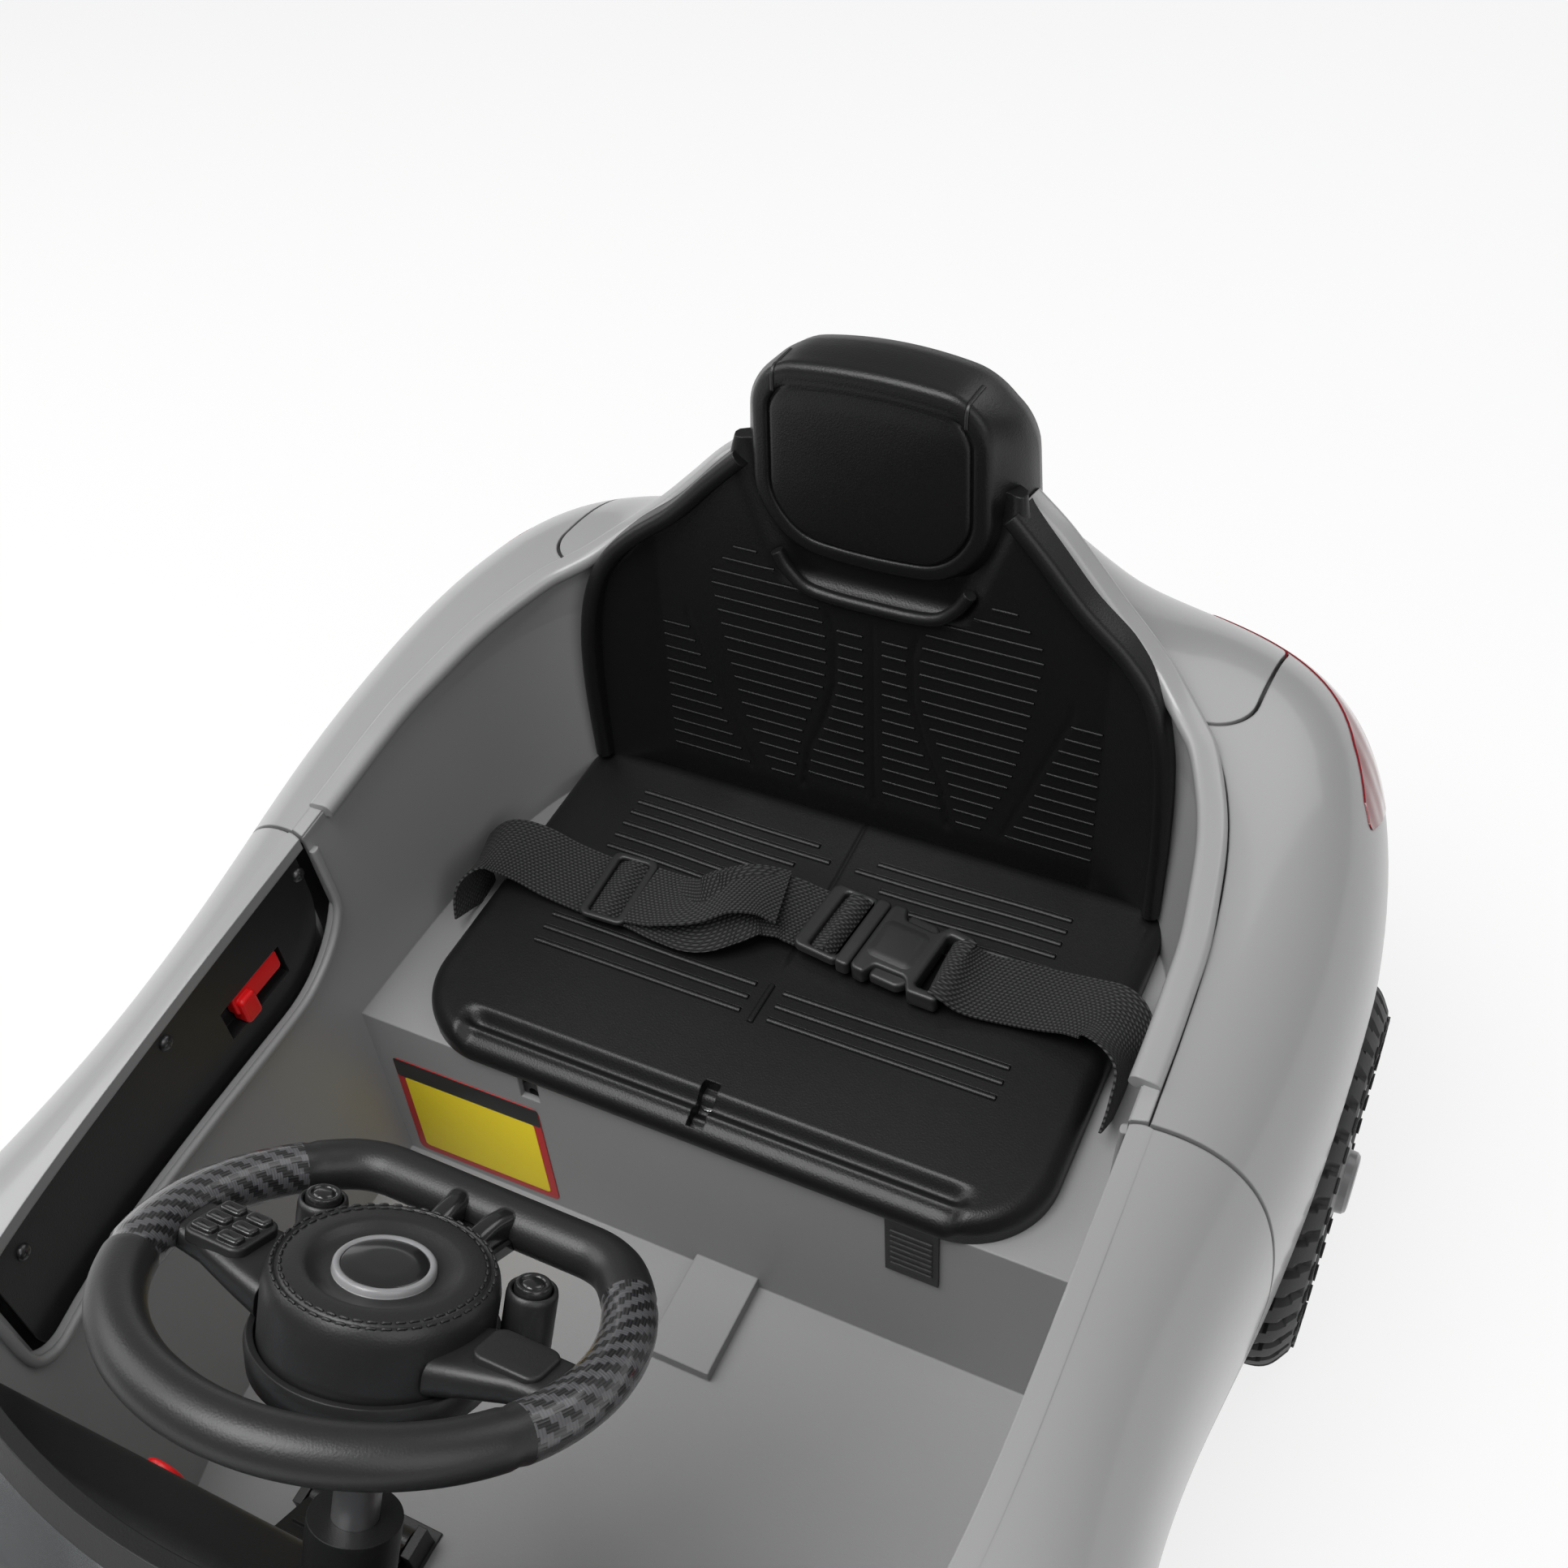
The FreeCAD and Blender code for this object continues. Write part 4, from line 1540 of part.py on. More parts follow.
def make_mirror_housings():
    """Two door mirrors on short stalks beside the screen."""
    x = cockpit_x(MIRROR_Y) + MIRROR_SIZE[0] / 2.0 + 8.0
    z = skin_z(x, MIRROR_Y)
    pod = box(MIRROR_SIZE, (x, MIRROR_Y, z + 12.0))
    pod = pod.makeFillet(13.0, pod.Edges)
    stalk = box((16.0, 20.0, 24.0), (x - 12.0, MIRROR_Y, z - 6.0))
    face = Part.makeBox(MIRROR_SIZE[0] - 14.0, 6.0, MIRROR_SIZE[2] - 12.0,
                        Vector(x - MIRROR_SIZE[0] / 2.0 + 7.0, MIRROR_Y + MIRROR_SIZE[1] / 2.0 - 2.0,
                               z + 18.0))
    body = one([pod, stalk]).cut(face)
    return Part.makeCompound(both(biggest(body.cut(skin_layer(FRONT_ANGLES, -FIT, SKIN + 20.0)))))


def wheel_names():
    """Wheel places: name, axle place along the car, how far out, side of the car."""
    return (("front_left", FRONT_AXLE_Y, 0.0, 1), ("front_right", FRONT_AXLE_Y, 0.0, -1),
            ("rear_left", REAR_AXLE_Y, REAR_TRACK_EXTRA, 1),
            ("rear_right", REAR_AXLE_Y, REAR_TRACK_EXTRA, -1))


def all_pieces():
    """Every piece of the car by its node name."""
    pieces = {
        "front_body": make_front_body(),
        "rear_body": make_rear_body(),
        "rear_deck": make_rear_deck(),
        "front_grille": make_front_grille(),
        "headlamp_lenses": make_headlamp_lenses(),
        "tail_lamp_lenses": make_tail_lamp_lenses(),
        "lower_valances": make_lower_valances(),
        "screen_frame": make_screen_frame(),
        "windscreen": make_windscreen(),
        "mirror_housings": make_mirror_housings(),
        "cockpit_tub": make_cockpit_tub(),
        "chassis_pan": make_chassis_pan(),
        "seat_base": make_seat_base(),
        "seat_back": make_seat_back(),
        "headrest": make_headrest(),
        "seat_screw": make_seat_screw(),
        "seat_clip": make_seat_clip(),
        "dashboard": make_dashboard(),
        "control_box": make_control_box(),
        "battery": make_battery(),
        "charging_socket": make_charging_socket(),
        "pedal_base": make_pedal_base(),
        "front_beam": make_front_beam(),
        "rear_axle": make_rear_axle(),
        "gearboxes": make_gearboxes(),
        "motors": make_motors(),
        "hinge_pins": make_hinge_pins(),
        "belt_straps": make_belt_straps(),
        "belt_buckle_socket": make_belt_buckle_socket(),
        "belt_buckle_plug": make_belt_buckle_plug(),
        "belt_adjuster": make_belt_adjuster(),
        "steering_wheel": make_steering_wheel(),
        "steering_hub_pad": make_steering_hub_pad(),
        "steering_column": make_steering_column(),
        "horn_button_left": make_horn_button(1),
        "horn_button_right": make_horn_button(-1),
        "tie_rod": make_tie_rod(),
        "pedal": make_pedal(),
        "power_button": make_power_button(),
        "direction_switch": make_direction_switch(),
    }
    pairs = {
        "door_shell": make_door_shell(),
        "door_panel": make_door_panel(),
        "door_latch": make_door_latch(),
        "knuckle": make_knuckle(),
        "drive_gear": make_drive_gear(),
        "motor_pinion": make_motor_pinion(),
    }
    for name, shape in pairs.items():
        pieces[name + "_left"] = shape
        pieces[name + "_right"] = mirrored(shape)
    for name, axle_y, out, side in wheel_names():
        tyre, rim = make_tyre(axle_y), make_rim(axle_y)
        tyre.translate(Vector(out, 0, 0))
        rim.translate(Vector(out, 0, 0))
        pieces["tyre_" + name] = tyre if side > 0 else mirrored(tyre)
        pieces["rim_" + name] = rim if side > 0 else mirrored(rim)
    return pieces


def main():
    """Build every piece and write one STEP file for each."""
    os.makedirs("parts", exist_ok=True)
    for name, shape in all_pieces().items():
        print(name, len(shape.Solids), round(shape.Volume / 1000.0, 1), shape.isValid())
        shape.exportStep("parts/" + name + ".step")


if __name__ == "__main__":
    main()
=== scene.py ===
"""Looks of an electric ride-on car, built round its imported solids."""

import logging
import math
from dataclasses import dataclass, field
from enum import Enum
from typing import Any, Callable, Iterable, Sequence

import bpy
import numpy as np
from mathutils import Matrix, Vector
from mathutils.bvhtree import BVHTree


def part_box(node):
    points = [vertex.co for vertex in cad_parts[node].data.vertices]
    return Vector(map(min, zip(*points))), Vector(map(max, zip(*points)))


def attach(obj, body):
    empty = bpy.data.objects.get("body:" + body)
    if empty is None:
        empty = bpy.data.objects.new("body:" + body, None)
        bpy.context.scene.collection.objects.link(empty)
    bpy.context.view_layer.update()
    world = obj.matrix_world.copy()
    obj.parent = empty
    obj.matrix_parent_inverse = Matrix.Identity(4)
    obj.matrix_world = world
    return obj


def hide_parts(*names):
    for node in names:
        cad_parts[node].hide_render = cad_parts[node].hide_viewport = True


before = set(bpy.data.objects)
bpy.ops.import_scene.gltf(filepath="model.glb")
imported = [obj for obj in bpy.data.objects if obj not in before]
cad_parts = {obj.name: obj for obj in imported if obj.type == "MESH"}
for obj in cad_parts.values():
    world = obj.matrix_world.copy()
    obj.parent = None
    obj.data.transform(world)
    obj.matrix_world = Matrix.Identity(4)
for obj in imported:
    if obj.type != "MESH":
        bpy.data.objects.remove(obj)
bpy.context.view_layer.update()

LOG = logging.getLogger("ride_on_car")
MM = 0.001
Colour = tuple[float, float, float]
Faces = list[tuple[int, ...]]
Move = Callable[[np.ndarray], np.ndarray]


class Body(str, Enum):
    """Moving bodies of the car that pieces ride on."""

    CAR = "car"
    STEERING = "steering"
    HORN_LEFT = "horn_left"
    HORN_RIGHT = "horn_right"
    DOOR_LEFT = "door_left"
    DOOR_RIGHT = "door_right"
    LATCH_LEFT = "latch_left"
    LATCH_RIGHT = "latch_right"
    WHEEL_FRONT_LEFT = "wheel_front_left"
    WHEEL_FRONT_RIGHT = "wheel_front_right"
    WHEEL_REAR_LEFT = "wheel_rear_left"
    WHEEL_REAR_RIGHT = "wheel_rear_right"


class Slot(str, Enum):
    """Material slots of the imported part."""

    BODY = "body_grey"
    TUB = "tub_grey"
    BLACK = "black_plastic"
    SEAT = "seat_black"
    WEBBING = "webbing"
    TYRE = "tyre"
    RIM = "rim_grey"
    RED = "red_plastic"
    RED_LENS = "red_lens"
    CLEAR = "clear"
    STEEL = "steel"
    CHROME = "chrome"
    BATTERY = "battery_case"
    GEAR = "gear_white"
    BRASS = "brass"


class Signal:
    """A shader value that adds its own Math nodes when it is used in an expression."""

    def __init__(self, shader: "Shader", socket: bpy.types.NodeSocket) -> None:
        """Keeps the socket and the shader it belongs to."""
        self.shader = shader
        self.socket = socket

    def math(self, operation: str, *values: Any) -> "Signal":
        """Adds one Math node.

        Args:
            operation: the Math node's operation.
            values: its inputs in order.

        Returns:
            The node's result.
        """
        node = self.shader.node("ShaderNodeMath", {"operation": operation}, dict(enumerate(values)))
        return Signal(self.shader, node.outputs[0])

    def __add__(self, other: Any) -> "Signal":
        """Sum."""
        return self.math("ADD", self, other)

    def __radd__(self, other: Any) -> "Signal":
        """Sum, reflected."""
        return self.math("ADD", other, self)

    def __sub__(self, other: Any) -> "Signal":
        """Difference."""
        return self.math("SUBTRACT", self, other)

    def __rsub__(self, other: Any) -> "Signal":
        """Difference, reflected."""
        return self.math("SUBTRACT", other, self)

    def __mul__(self, other: Any) -> "Signal":
        """Product."""
        return self.math("MULTIPLY", self, other)

    def __rmul__(self, other: Any) -> "Signal":
        """Product, reflected."""
        return self.math("MULTIPLY", other, self)

    def __truediv__(self, other: Any) -> "Signal":
        """Quotient."""
        return self.math("DIVIDE", self, other)

    def __gt__(self, other: Any) -> "Signal":
        """One where this is greater."""
        return self.math("GREATER_THAN", self, other)

    def __mod__(self, other: float) -> "Signal":
        """Remainder, never negative."""
        return self.math("FLOORED_MODULO", self, other)

    def sine(self) -> "Signal":
        """Sine of the value."""
        return self.math("SINE", self)

    def floor(self) -> "Signal":
        """Whole part of the value."""
        return self.math("FLOOR", self)

    def clamped(self) -> "Signal":
        """The value held between 0 and 1."""
        return self.math("MINIMUM", self.math("MAXIMUM", self, 0.0), 1.0)


class Shader:
    """One node tree under construction: a material's or the world's."""

    def __init__(self, owner: bpy.types.Material | bpy.types.World) -> None:
        """Starts an empty node tree.

        Args:
            owner: the material or world that gets it.
        """
        self.owner = owner
        self.owner.use_nodes = True
        self.tree = self.owner.node_tree
        self.tree.nodes.clear()

    def node(self, kind: str, settings: dict[str, Any] | None = None,
             inputs: dict[Any, Any] | None = None) -> bpy.types.Node:
        """Adds a node.

        Args:
            kind: Blender's type name of the node.
            settings: properties set first.
            inputs: values or links by socket name or number.

        Returns:
            The new node.
        """
        node = self.tree.nodes.new(kind)
        for key, value in (settings or {}).items():
            setattr(node, key, value)
        for key, value in (inputs or {}).items():
            socket = node.inputs[key]
            if isinstance(value, Signal):
                self.tree.links.new(value.socket, socket)
            elif isinstance(value, bpy.types.NodeSocket):
                self.tree.links.new(value, socket)
            elif isinstance(value, tuple) and len(value) == 3 and socket.type == "RGBA":
                socket.default_value = (*value, 1.0)
            else:
                socket.default_value = value
        return node

    def place(self) -> bpy.types.NodeSocket:
        """Place on the piece in metres."""
        return self.node("ShaderNodeTexCoord").outputs["Object"]

    def axes(self, vector: bpy.types.NodeSocket) -> list[Signal]:
        """The three parts of a vector."""
        node = self.node("ShaderNodeSeparateXYZ", None, {0: vector})
        return [Signal(self, out) for out in node.outputs]

    def noise(self, scale: float, detail: float = 3.0, rough: float = 0.55) -> Signal:
        """Cloudy noise over the piece.

        Args:
            scale: clouds in a metre.
            detail: finer layers added.
            rough: weight of the finer layers.

        Returns:
            The noise from 0 to 1.
        """
        inputs = {"Vector": self.place(), "Scale": scale, "Detail": detail, "Roughness": rough}
        return Signal(self, self.node("ShaderNodeTexNoise", None, inputs).outputs[0])

    def cells(self, scale: float) -> Signal:
        """Pebble pattern: distance to the nearest of many points.

        Args:
            scale: pebbles in a metre.

        Returns:
            The distance pattern.
        """
        inputs = {"Vector": self.place(), "Scale": scale}
        node = self.node("ShaderNodeTexVoronoi", {"feature": "SMOOTH_F1"}, inputs)
        return Signal(self, node.outputs["Distance"])

    def mix(self, factor: Any, first: Any, second: Any) -> bpy.types.NodeSocket:
        """Colour between two colours.

        Args:
            factor: 0 gives the first and 1 the second.
            first: colour or socket.
            second: colour or socket.

        Returns:
            The mixed colour's socket.
        """
        node = self.node("ShaderNodeMix", {"data_type": "RGBA"}, {0: factor, 6: first, 7: second})
        return node.outputs[2]

    def bump(self, height: Signal, depth: float, edge: float = 0.0) -> bpy.types.NodeSocket:
        """Normal from a height pattern.

        Args:
            height: pattern from 0 to 1.
            depth: real depth of the pattern in metres.
            edge: radius in metres by which the piece's edges look rounded.

        Returns:
            The normal's socket.
        """
        inputs: dict[Any, Any] = {"Height": height, "Distance": depth, "Strength": 1.0}
        if edge > 0.0:
            inputs["Normal"] = self.node("ShaderNodeBevel", {"samples": 4}, {"Radius": edge}).outputs[0]
        return self.node("ShaderNodeBump", None, inputs).outputs[0]

    def surface(self, **sockets: Any) -> bpy.types.Material:
        """Closes the material with a Principled surface.

        Args:
            sockets: its socket values, with underscores for spaces.

        Returns:
            The finished material.
        """
        inputs = {key.replace("_", " "): value for key, value in sockets.items()}
        node = self.node("ShaderNodeBsdfPrincipled", None, inputs)
        self.node("ShaderNodeOutputMaterial", None, {"Surface": node.outputs[0]})
        return self.owner


def shade(colour: Colour, share: float) -> Colour:
    """Colour made darker or lighter by a share."""
    return tuple(min(1.0, c * share) for c in colour)


@dataclass(frozen=True)
class Finish:
    """A surface finish; its material is made once and shared."""

    name: str
    slot: Slot

    def shader(self) -> Shader:
        """Empty shader of this finish."""
        return Shader(bpy.data.materials.new(self.name))

    def build(self) -> bpy.types.Material:
        """Makes the material; each kind of finish has its own way."""
        raise NotImplementedError

    def material(self) -> bpy.types.Material:
        """The finish's material, made at its first use."""
        return bpy.data.materials.get(self.name) or self.build()


@dataclass(frozen=True)
class Moulded(Finish):
    """Injection-moulded plastic with a fine moulded grain."""

    colour: Colour
    rough: float = 0.45
    grain: float = 1500.0
    depth: float = 0.00004
    edge: float = 0.0008
    coat: float = 0.0
    mottle: float = 0.10
    specular: float = 0.5

    def build(self) -> bpy.types.Material:
        """Colour clouds, uneven gloss and pebble grain.

        Returns:
            The material.
        """
        shader = self.shader()
        clouds = shader.noise(7.0)
        dust = shader.noise(160.0, 2.0)
        dark, light = shade(self.colour, 1.0 - self.mottle), shade(self.colour, 1.0 + self.mottle)
        tone = shader.mix(clouds, dark, light)
        gloss = self.rough - 0.06 + 0.07 * clouds + 0.05 * dust
        grain = shader.cells(self.grain) * 0.8 + dust * 0.2
        normal = shader.bump(grain, self.depth, self.edge)
        return shader.surface(Base_Color=tone, Roughness=gloss, Normal=normal, Coat_Weight=self.coat,
                              Coat_Roughness=0.12, IOR=1.5, Specular_IOR_Level=self.specular)


@dataclass(frozen=True)
class Lacquer(Finish):
    """Smooth satin-gloss coloured plastic of the body."""

    colour: Colour
    rough: float = 0.3
    coat: float = 0.35
    edge: float = 0.0014

    def build(self) -> bpy.types.Material:
        """Slow colour drift, faint orange peel and fine dust in the gloss.

        Returns:
            The material.
        """
        shader = self.shader()
        clouds = shader.noise(4.0)
        dust = shader.noise(420.0, 2.0)
        peel = shader.noise(95.0, 1.0)
        tone = shader.mix(clouds, shade(self.colour, 0.96), shade(self.colour, 1.04))
        gloss = self.rough - 0.03 + 0.05 * clouds + 0.04 * dust
        normal = shader.bump(peel, 0.00006, self.edge)
        return shader.surface(Base_Color=tone, Roughness=gloss, Normal=normal, Coat_Weight=self.coat,
                              Coat_Roughness=0.1, IOR=1.5)


@dataclass(frozen=True)
class Webbing(Finish):
    """Woven belt webbing; the piece's UV map gives millimetres across and along."""

    colour: Colour
    row: float = 1.9
    yarn: float = 2.7

    def build(self) -> bpy.types.Material:
        """Rows of short raised yarns, each row set half a yarn further on, with painted highlights on the
        yarn crowns and painted shade in the gaps.

        Returns:
            The material.
        """
        shader = self.shader()
        across, along, _ = shader.axes(shader.node("ShaderNodeTexCoord").outputs["UV"])
        row = across / self.row
        place = along / self.yarn + row.floor() * 0.5 + (row % 1.0) * 0.3
        lobe = ((row % 1.0) * math.pi).sine() * ((place % 1.0) * math.pi).sine()
        fuzz = shader.noise(900.0, 2.0)
        # Painted highlight and shade: colour runs from a tenth of the webbing's colour in the gaps between
        # yarns to four and a half times it on the yarn crowns.
        light = (lobe * 1.35 - 0.3 + fuzz * 0.12).clamped()
        tone = shader.mix(light, shade(self.colour, 0.1), shade(self.colour, 4.5))
        normal = shader.bump(lobe, 0.0008)
        return shader.surface(Base_Color=tone, Roughness=0.62 + 0.2 * fuzz, Normal=normal, Sheen_Weight=0.02,
                              Sheen_Roughness=0.4)


@dataclass(frozen=True)
class Twill(Finish):
    """Carbon-look twill on the steering rim; UV gives millimetres along and round."""

    colour: Colour
    cell: float = 2.4

    def build(self) -> bpy.types.Material:
        """Two-by-two twill of light and dark tows.

        Returns:
            The material.
        """
        shader = self.shader()
        along, around, _ = shader.axes(shader.node("ShaderNodeTexCoord").outputs["UV"])
        step = (along / self.cell).floor()
        rank = (around / self.cell).floor()
        over = ((step + rank) % 4.0) > 1.5
        strands = ((along * over + around * (1.0 - over)) * 5.0).sine() * 0.5 + 0.5
        tone = shader.mix(over * 0.8 + strands * 0.2, shade(self.colour, 0.3), shade(self.colour, 2.6))
        normal = shader.bump(over * 0.4 + strands * 0.3, 0.0002)
        return shader.surface(Base_Color=tone, Roughness=0.28 + 0.14 * over, Normal=normal, Coat_Weight=0.6,
                              Coat_Roughness=0.08)


@dataclass(frozen=True)
class Metal(Finish):
    """Plated or bare metal with fine drawn lines."""

    colour: Colour
    rough: float = 0.3

    def build(self) -> bpy.types.Material:
        """Uneven polish and faint stains.

        Returns:
            The material.
        """
        shader = self.shader()
        stain = shader.noise(30.0)
        lines = shader.noise(1200.0, 1.0)
        tone = shader.mix(stain, shade(self.colour, 0.88), shade(self.colour, 1.06))
        gloss = self.rough - 0.05 + 0.12 * stain + 0.05 * lines
        normal = shader.bump(lines, 0.00003, 0.0003)
        return shader.surface(Base_Color=tone, Roughness=gloss, Normal=normal, Metallic=1.0)


@dataclass(frozen=True)
class Clear(Finish):
    """Clear or tinted see-through plastic."""

    colour: Colour
    through: float = 1.0
    flutes: float = 0.0

    def build(self) -> bpy.types.Material:
        """Slight ripples, and upright flutes on lamp lenses.

        Returns:
            The material.
        """
        shader = self.shader()
        ripple = shader.noise(14.0, 1.0)
        height, depth = ripple, 0.0002
        if self.flutes > 0.0:
            x, y, z = shader.axes(shader.place())
            upright = ((x + y) * self.flutes).sine() * 0.5
            level = (z * self.flutes).sine() * 0.25 + 0.5
            height = upright + level + ripple * 0.2
            depth = 0.0003
        tone = shader.mix(ripple, shade(self.colour, 0.94), shade(self.colour, 1.05))
        gloss = 0.05 + 0.04 * ripple
        return shader.surface(Base_Color=tone, Roughness=gloss, Normal=shader.bump(height, depth),
                              Transmission_Weight=self.through, IOR=1.46, Coat_Weight=0.4)


@dataclass(frozen=True)
class Glow(Finish):
    """Bright studio surface that stays white where the camera sees it."""

    colour: Colour
    share: float

    def build(self) -> bpy.types.Material:
        """Matt surface, mixed with its own white for camera, mirror and glass rays.

        Returns:
            The material.
        """
        shader = self.shader()
        paths = shader.node("ShaderNodeLightPath")
        seen = Signal(shader, paths.outputs["Is Camera Ray"])
        for other in ("Is Glossy Ray", "Is Transmission Ray"):
            seen = seen.math("MAXIMUM", seen, Signal(shader, paths.outputs[other]))
        matt = shader.node("ShaderNodeBsdfDiffuse", None, {"Color": self.colour})
        white = shader.node("ShaderNodeEmission", None, {"Color": (1.0, 1.0, 1.0), "Strength": 1.0})
        mixed = shader.node("ShaderNodeMixShader", None,
                            {0: seen * self.share, 1: matt.outputs[0], 2: white.outputs[0]})
        shader.node("ShaderNodeOutputMaterial", None, {"Surface": mixed.outputs[0]})
        return shader.owner


class Finishes:
    """Every finish of the car."""

    BODY = Lacquer("body_satin_grey", Slot.BODY, (0.275, 0.275, 0.277))
    TUB = Moulded("tub_grey_plastic", Slot.TUB, (0.27, 0.27, 0.272), rough=0.42, grain=900.0, depth=0.00003,
                  mottle=0.05, edge=0.0016)
    SEAT = Moulded("seat_grained_black", Slot.SEAT, (0.0065, 0.0065, 0.0068), rough=0.38, grain=1150.0,
                   depth=0.0001, mottle=0.2, edge=0.001, specular=0.38)
    BLACK = Moulded("black_grained_plastic", Slot.BLACK, (0.014, 0.014, 0.0145), rough=0.4, grain=1300.0,
                    depth=0.00006, mottle=0.15)
    GLOSS_BLACK = Lacquer("black_gloss_plastic", Slot.BLACK, (0.012, 0.012, 0.0125), rough=0.2, coat=0.5,
                          edge=0.0006)
    BUCKLE = Moulded("buckle_black", Slot.BLACK, (0.018, 0.018, 0.0185), rough=0.4, grain=700.0,
                     depth=0.00003)
    TYRE = Moulded("tyre_black", Slot.TYRE, (0.017, 0.017, 0.0175), rough=0.62, grain=1100.0, depth=0.00008,
                   mottle=0.2)
    RIM = Lacquer("rim_silver_grey", Slot.RIM, (0.21, 0.21, 0.215), rough=0.3, coat=0.2, edge=0.0008)
    RIM_DARK = Moulded("rim_dark", Slot.BLACK, (0.03, 0.03, 0.031), rough=0.45)
    RED = Moulded("latch_red", Slot.RED, (0.82, 0.004, 0.006), rough=0.4, grain=900.0, depth=0.00002)
    TAIL_LENS = Clear("tail_lens_red", Slot.RED_LENS, (0.17, 0.004, 0.008), through=0.03, flutes=420.0)
    LENS = Clear("lamp_lens_smoked", Slot.CLEAR, (0.06, 0.062, 0.066), through=0.3)
    SCREEN = Clear("screen_smoke", Slot.CLEAR, (0.62, 0.66, 0.68))
    STEEL = Metal("zinc_steel", Slot.STEEL, (0.52, 0.52, 0.53), 0.34)
    SCREW = Metal("dark_screw", Slot.STEEL, (0.14, 0.14, 0.145), 0.36)
    CHROME = Metal("bright_plating", Slot.CHROME, (0.78, 0.78, 0.8), 0.12)
    MIRROR = Metal("mirror_face", Slot.CHROME, (0.86, 0.87, 0.88), 0.06)
    BRASS = Metal("pinion_brass", Slot.BRASS, (0.68, 0.52, 0.22), 0.3)
    BATTERY = Moulded("battery_case", Slot.BATTERY, (0.055, 0.055, 0.06), rough=0.5)
    GEAR = Moulded("gear_nylon", Slot.GEAR, (0.72, 0.7, 0.64), rough=0.45)
    WEBBING = Webbing("belt_webbing", Slot.WEBBING, (0.0085, 0.0085, 0.0088))
    TWILL = Twill("rim_twill", Slot.BLACK, (0.03, 0.03, 0.032))
    YELLOW = Moulded("label_yellow", Slot.BLACK, (0.98, 0.74, 0.02), rough=0.5, grain=500.0, depth=0.00001)
    LABEL_RED = Moulded("label_red", Slot.RED, (0.5, 0.02, 0.02), rough=0.36, grain=500.0, depth=0.00001)
    LABEL_DARK = Moulded("label_dark", Slot.BLACK, (0.02, 0.02, 0.02), rough=0.36, grain=500.0, depth=0.00001)
    FLOOR = Glow("studio_floor", Slot.BODY, (0.8, 0.8, 0.8), 0.8)


# Mesh tools


@dataclass
class Mesh:
    """Points in millimetres and faces, gathered from several shapes."""

    points: list[np.ndarray] = field(default_factory=list)
    faces: Faces = field(default_factory=list)
    marks: list[int] = field(default_factory=list)
    maps: list[np.ndarray] = field(default_factory=list)
    count: int = 0

    def add(self, points: np.ndarray, faces: Iterable[Sequence[int]], mark: int = 0,
            flat: np.ndarray | None = None) -> "Mesh":
        """Adds one shape.

        Args:
            points: its points, one row each.
            faces: its faces by point number.
            mark: number of the material on these faces.
            flat: place of each point in the material's own map, if it has one.

        Returns:
            The mesh itself.
        """
        points = np.asarray(points, float).reshape(-1, 3)
        start = self.count
        for face in faces:
            self.faces.append(tuple(int(i) + start for i in face))
            self.marks.append(mark)
        self.points.append(points)
        self.maps.append(np.zeros((len(points), 2)) if flat is None else np.asarray(flat, float))
        self.count += len(points)
        return self

    def join(self, other: "Mesh", move: Move | None = None) -> "Mesh":
        """Adds another mesh, moved if asked.

        Args:
            other: the mesh to add.
            move: what is done to its points first.

        Returns:
            The mesh itself.
        """
        points = np.vstack(other.points)
        start = self.count
        self.points.append(points if move is None else move(points))
        self.faces += [tuple(i + start for i in face) for face in other.faces]
        self.marks += other.marks
        self.maps.append(np.vstack(other.maps))
        self.count += len(points)
        return self


@dataclass(frozen=True)
class Shape:
    """How a mesh is put into the scene."""

    body: Body
    finishes: tuple[Finish, ...]
    replaces: tuple[str, ...] = ()
    crease: float = 38.0

    def put(self, name: str, mesh: Mesh) -> bpy.types.Object:
        """Makes the object, its materials and its place in the car.

        Args:
            name: name of the piece.
            mesh: its mesh.

        Returns:
            The object.
        """
        data = bpy.data.meshes.new(name)
        data.from_pydata((np.vstack(mesh.points) * MM).tolist(), [], mesh.faces)
        for finish in self.finishes:
            data.materials.append(finish.material())
        data.polygons.foreach_set("material_index", mesh.marks)
        flat = np.vstack(mesh.maps)
        corners = np.empty(len(data.loops), int)
        data.loops.foreach_get("vertex_index", corners)
        layer = data.uv_layers.new(name="map")
        layer.data.foreach_set("uv", flat[corners].ravel())
        data.validate()
        data.shade_smooth()
        data.set_sharp_from_angle(angle=math.radians(self.crease))
        thing = bpy.data.objects.new(name, data)
        bpy.context.scene.collection.objects.link(thing)
        if self.replaces:
            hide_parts(*self.replaces)
        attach(thing, self.body.value)
        LOG.info("%s: %d points", name, mesh.count)
        return thing


def grid_faces(rows: int, columns: int, wrap: bool = False, flip: bool = False) -> Faces:
    """Quads of a grid of points given row by row.

    Args:
        rows: rows of points.
        columns: points in a row.
        wrap: True joins each row's last point to its first.
        flip: True turns the faces over.

    Returns:
        The faces.
    """
    faces: Faces = []
    last = columns if wrap else columns - 1
    for row in range(rows - 1):
        for column in range(last):
            side = (column + 1) % columns
            here, above = row * columns, (row + 1) * columns
            quad = (here + column, here + side, above + side, above + column)
            faces.append(quad[::-1] if flip else quad)
    return faces


def rings_mesh(rings: Sequence[np.ndarray], caps: tuple[bool, bool] = (True, True), mark: int = 0) -> Mesh:
    """Skin over a row of closed rings.

    Args:
        rings: rings with the same number of points.
        caps: whether the first and last ring are filled.
        mark: number of the material.

    Returns:
        The mesh.
    """
    rings = [np.asarray(ring, float) for ring in rings]
    size = len(rings[0])
    faces = grid_faces(len(rings), size, wrap=True)
    if caps[0]:
        faces.append(tuple(range(size))[::-1])
    if caps[1]:
        base = (len(rings) - 1) * size
        faces.append(tuple(range(base, base + size)))
    return Mesh().add(np.vstack(rings), faces, mark)


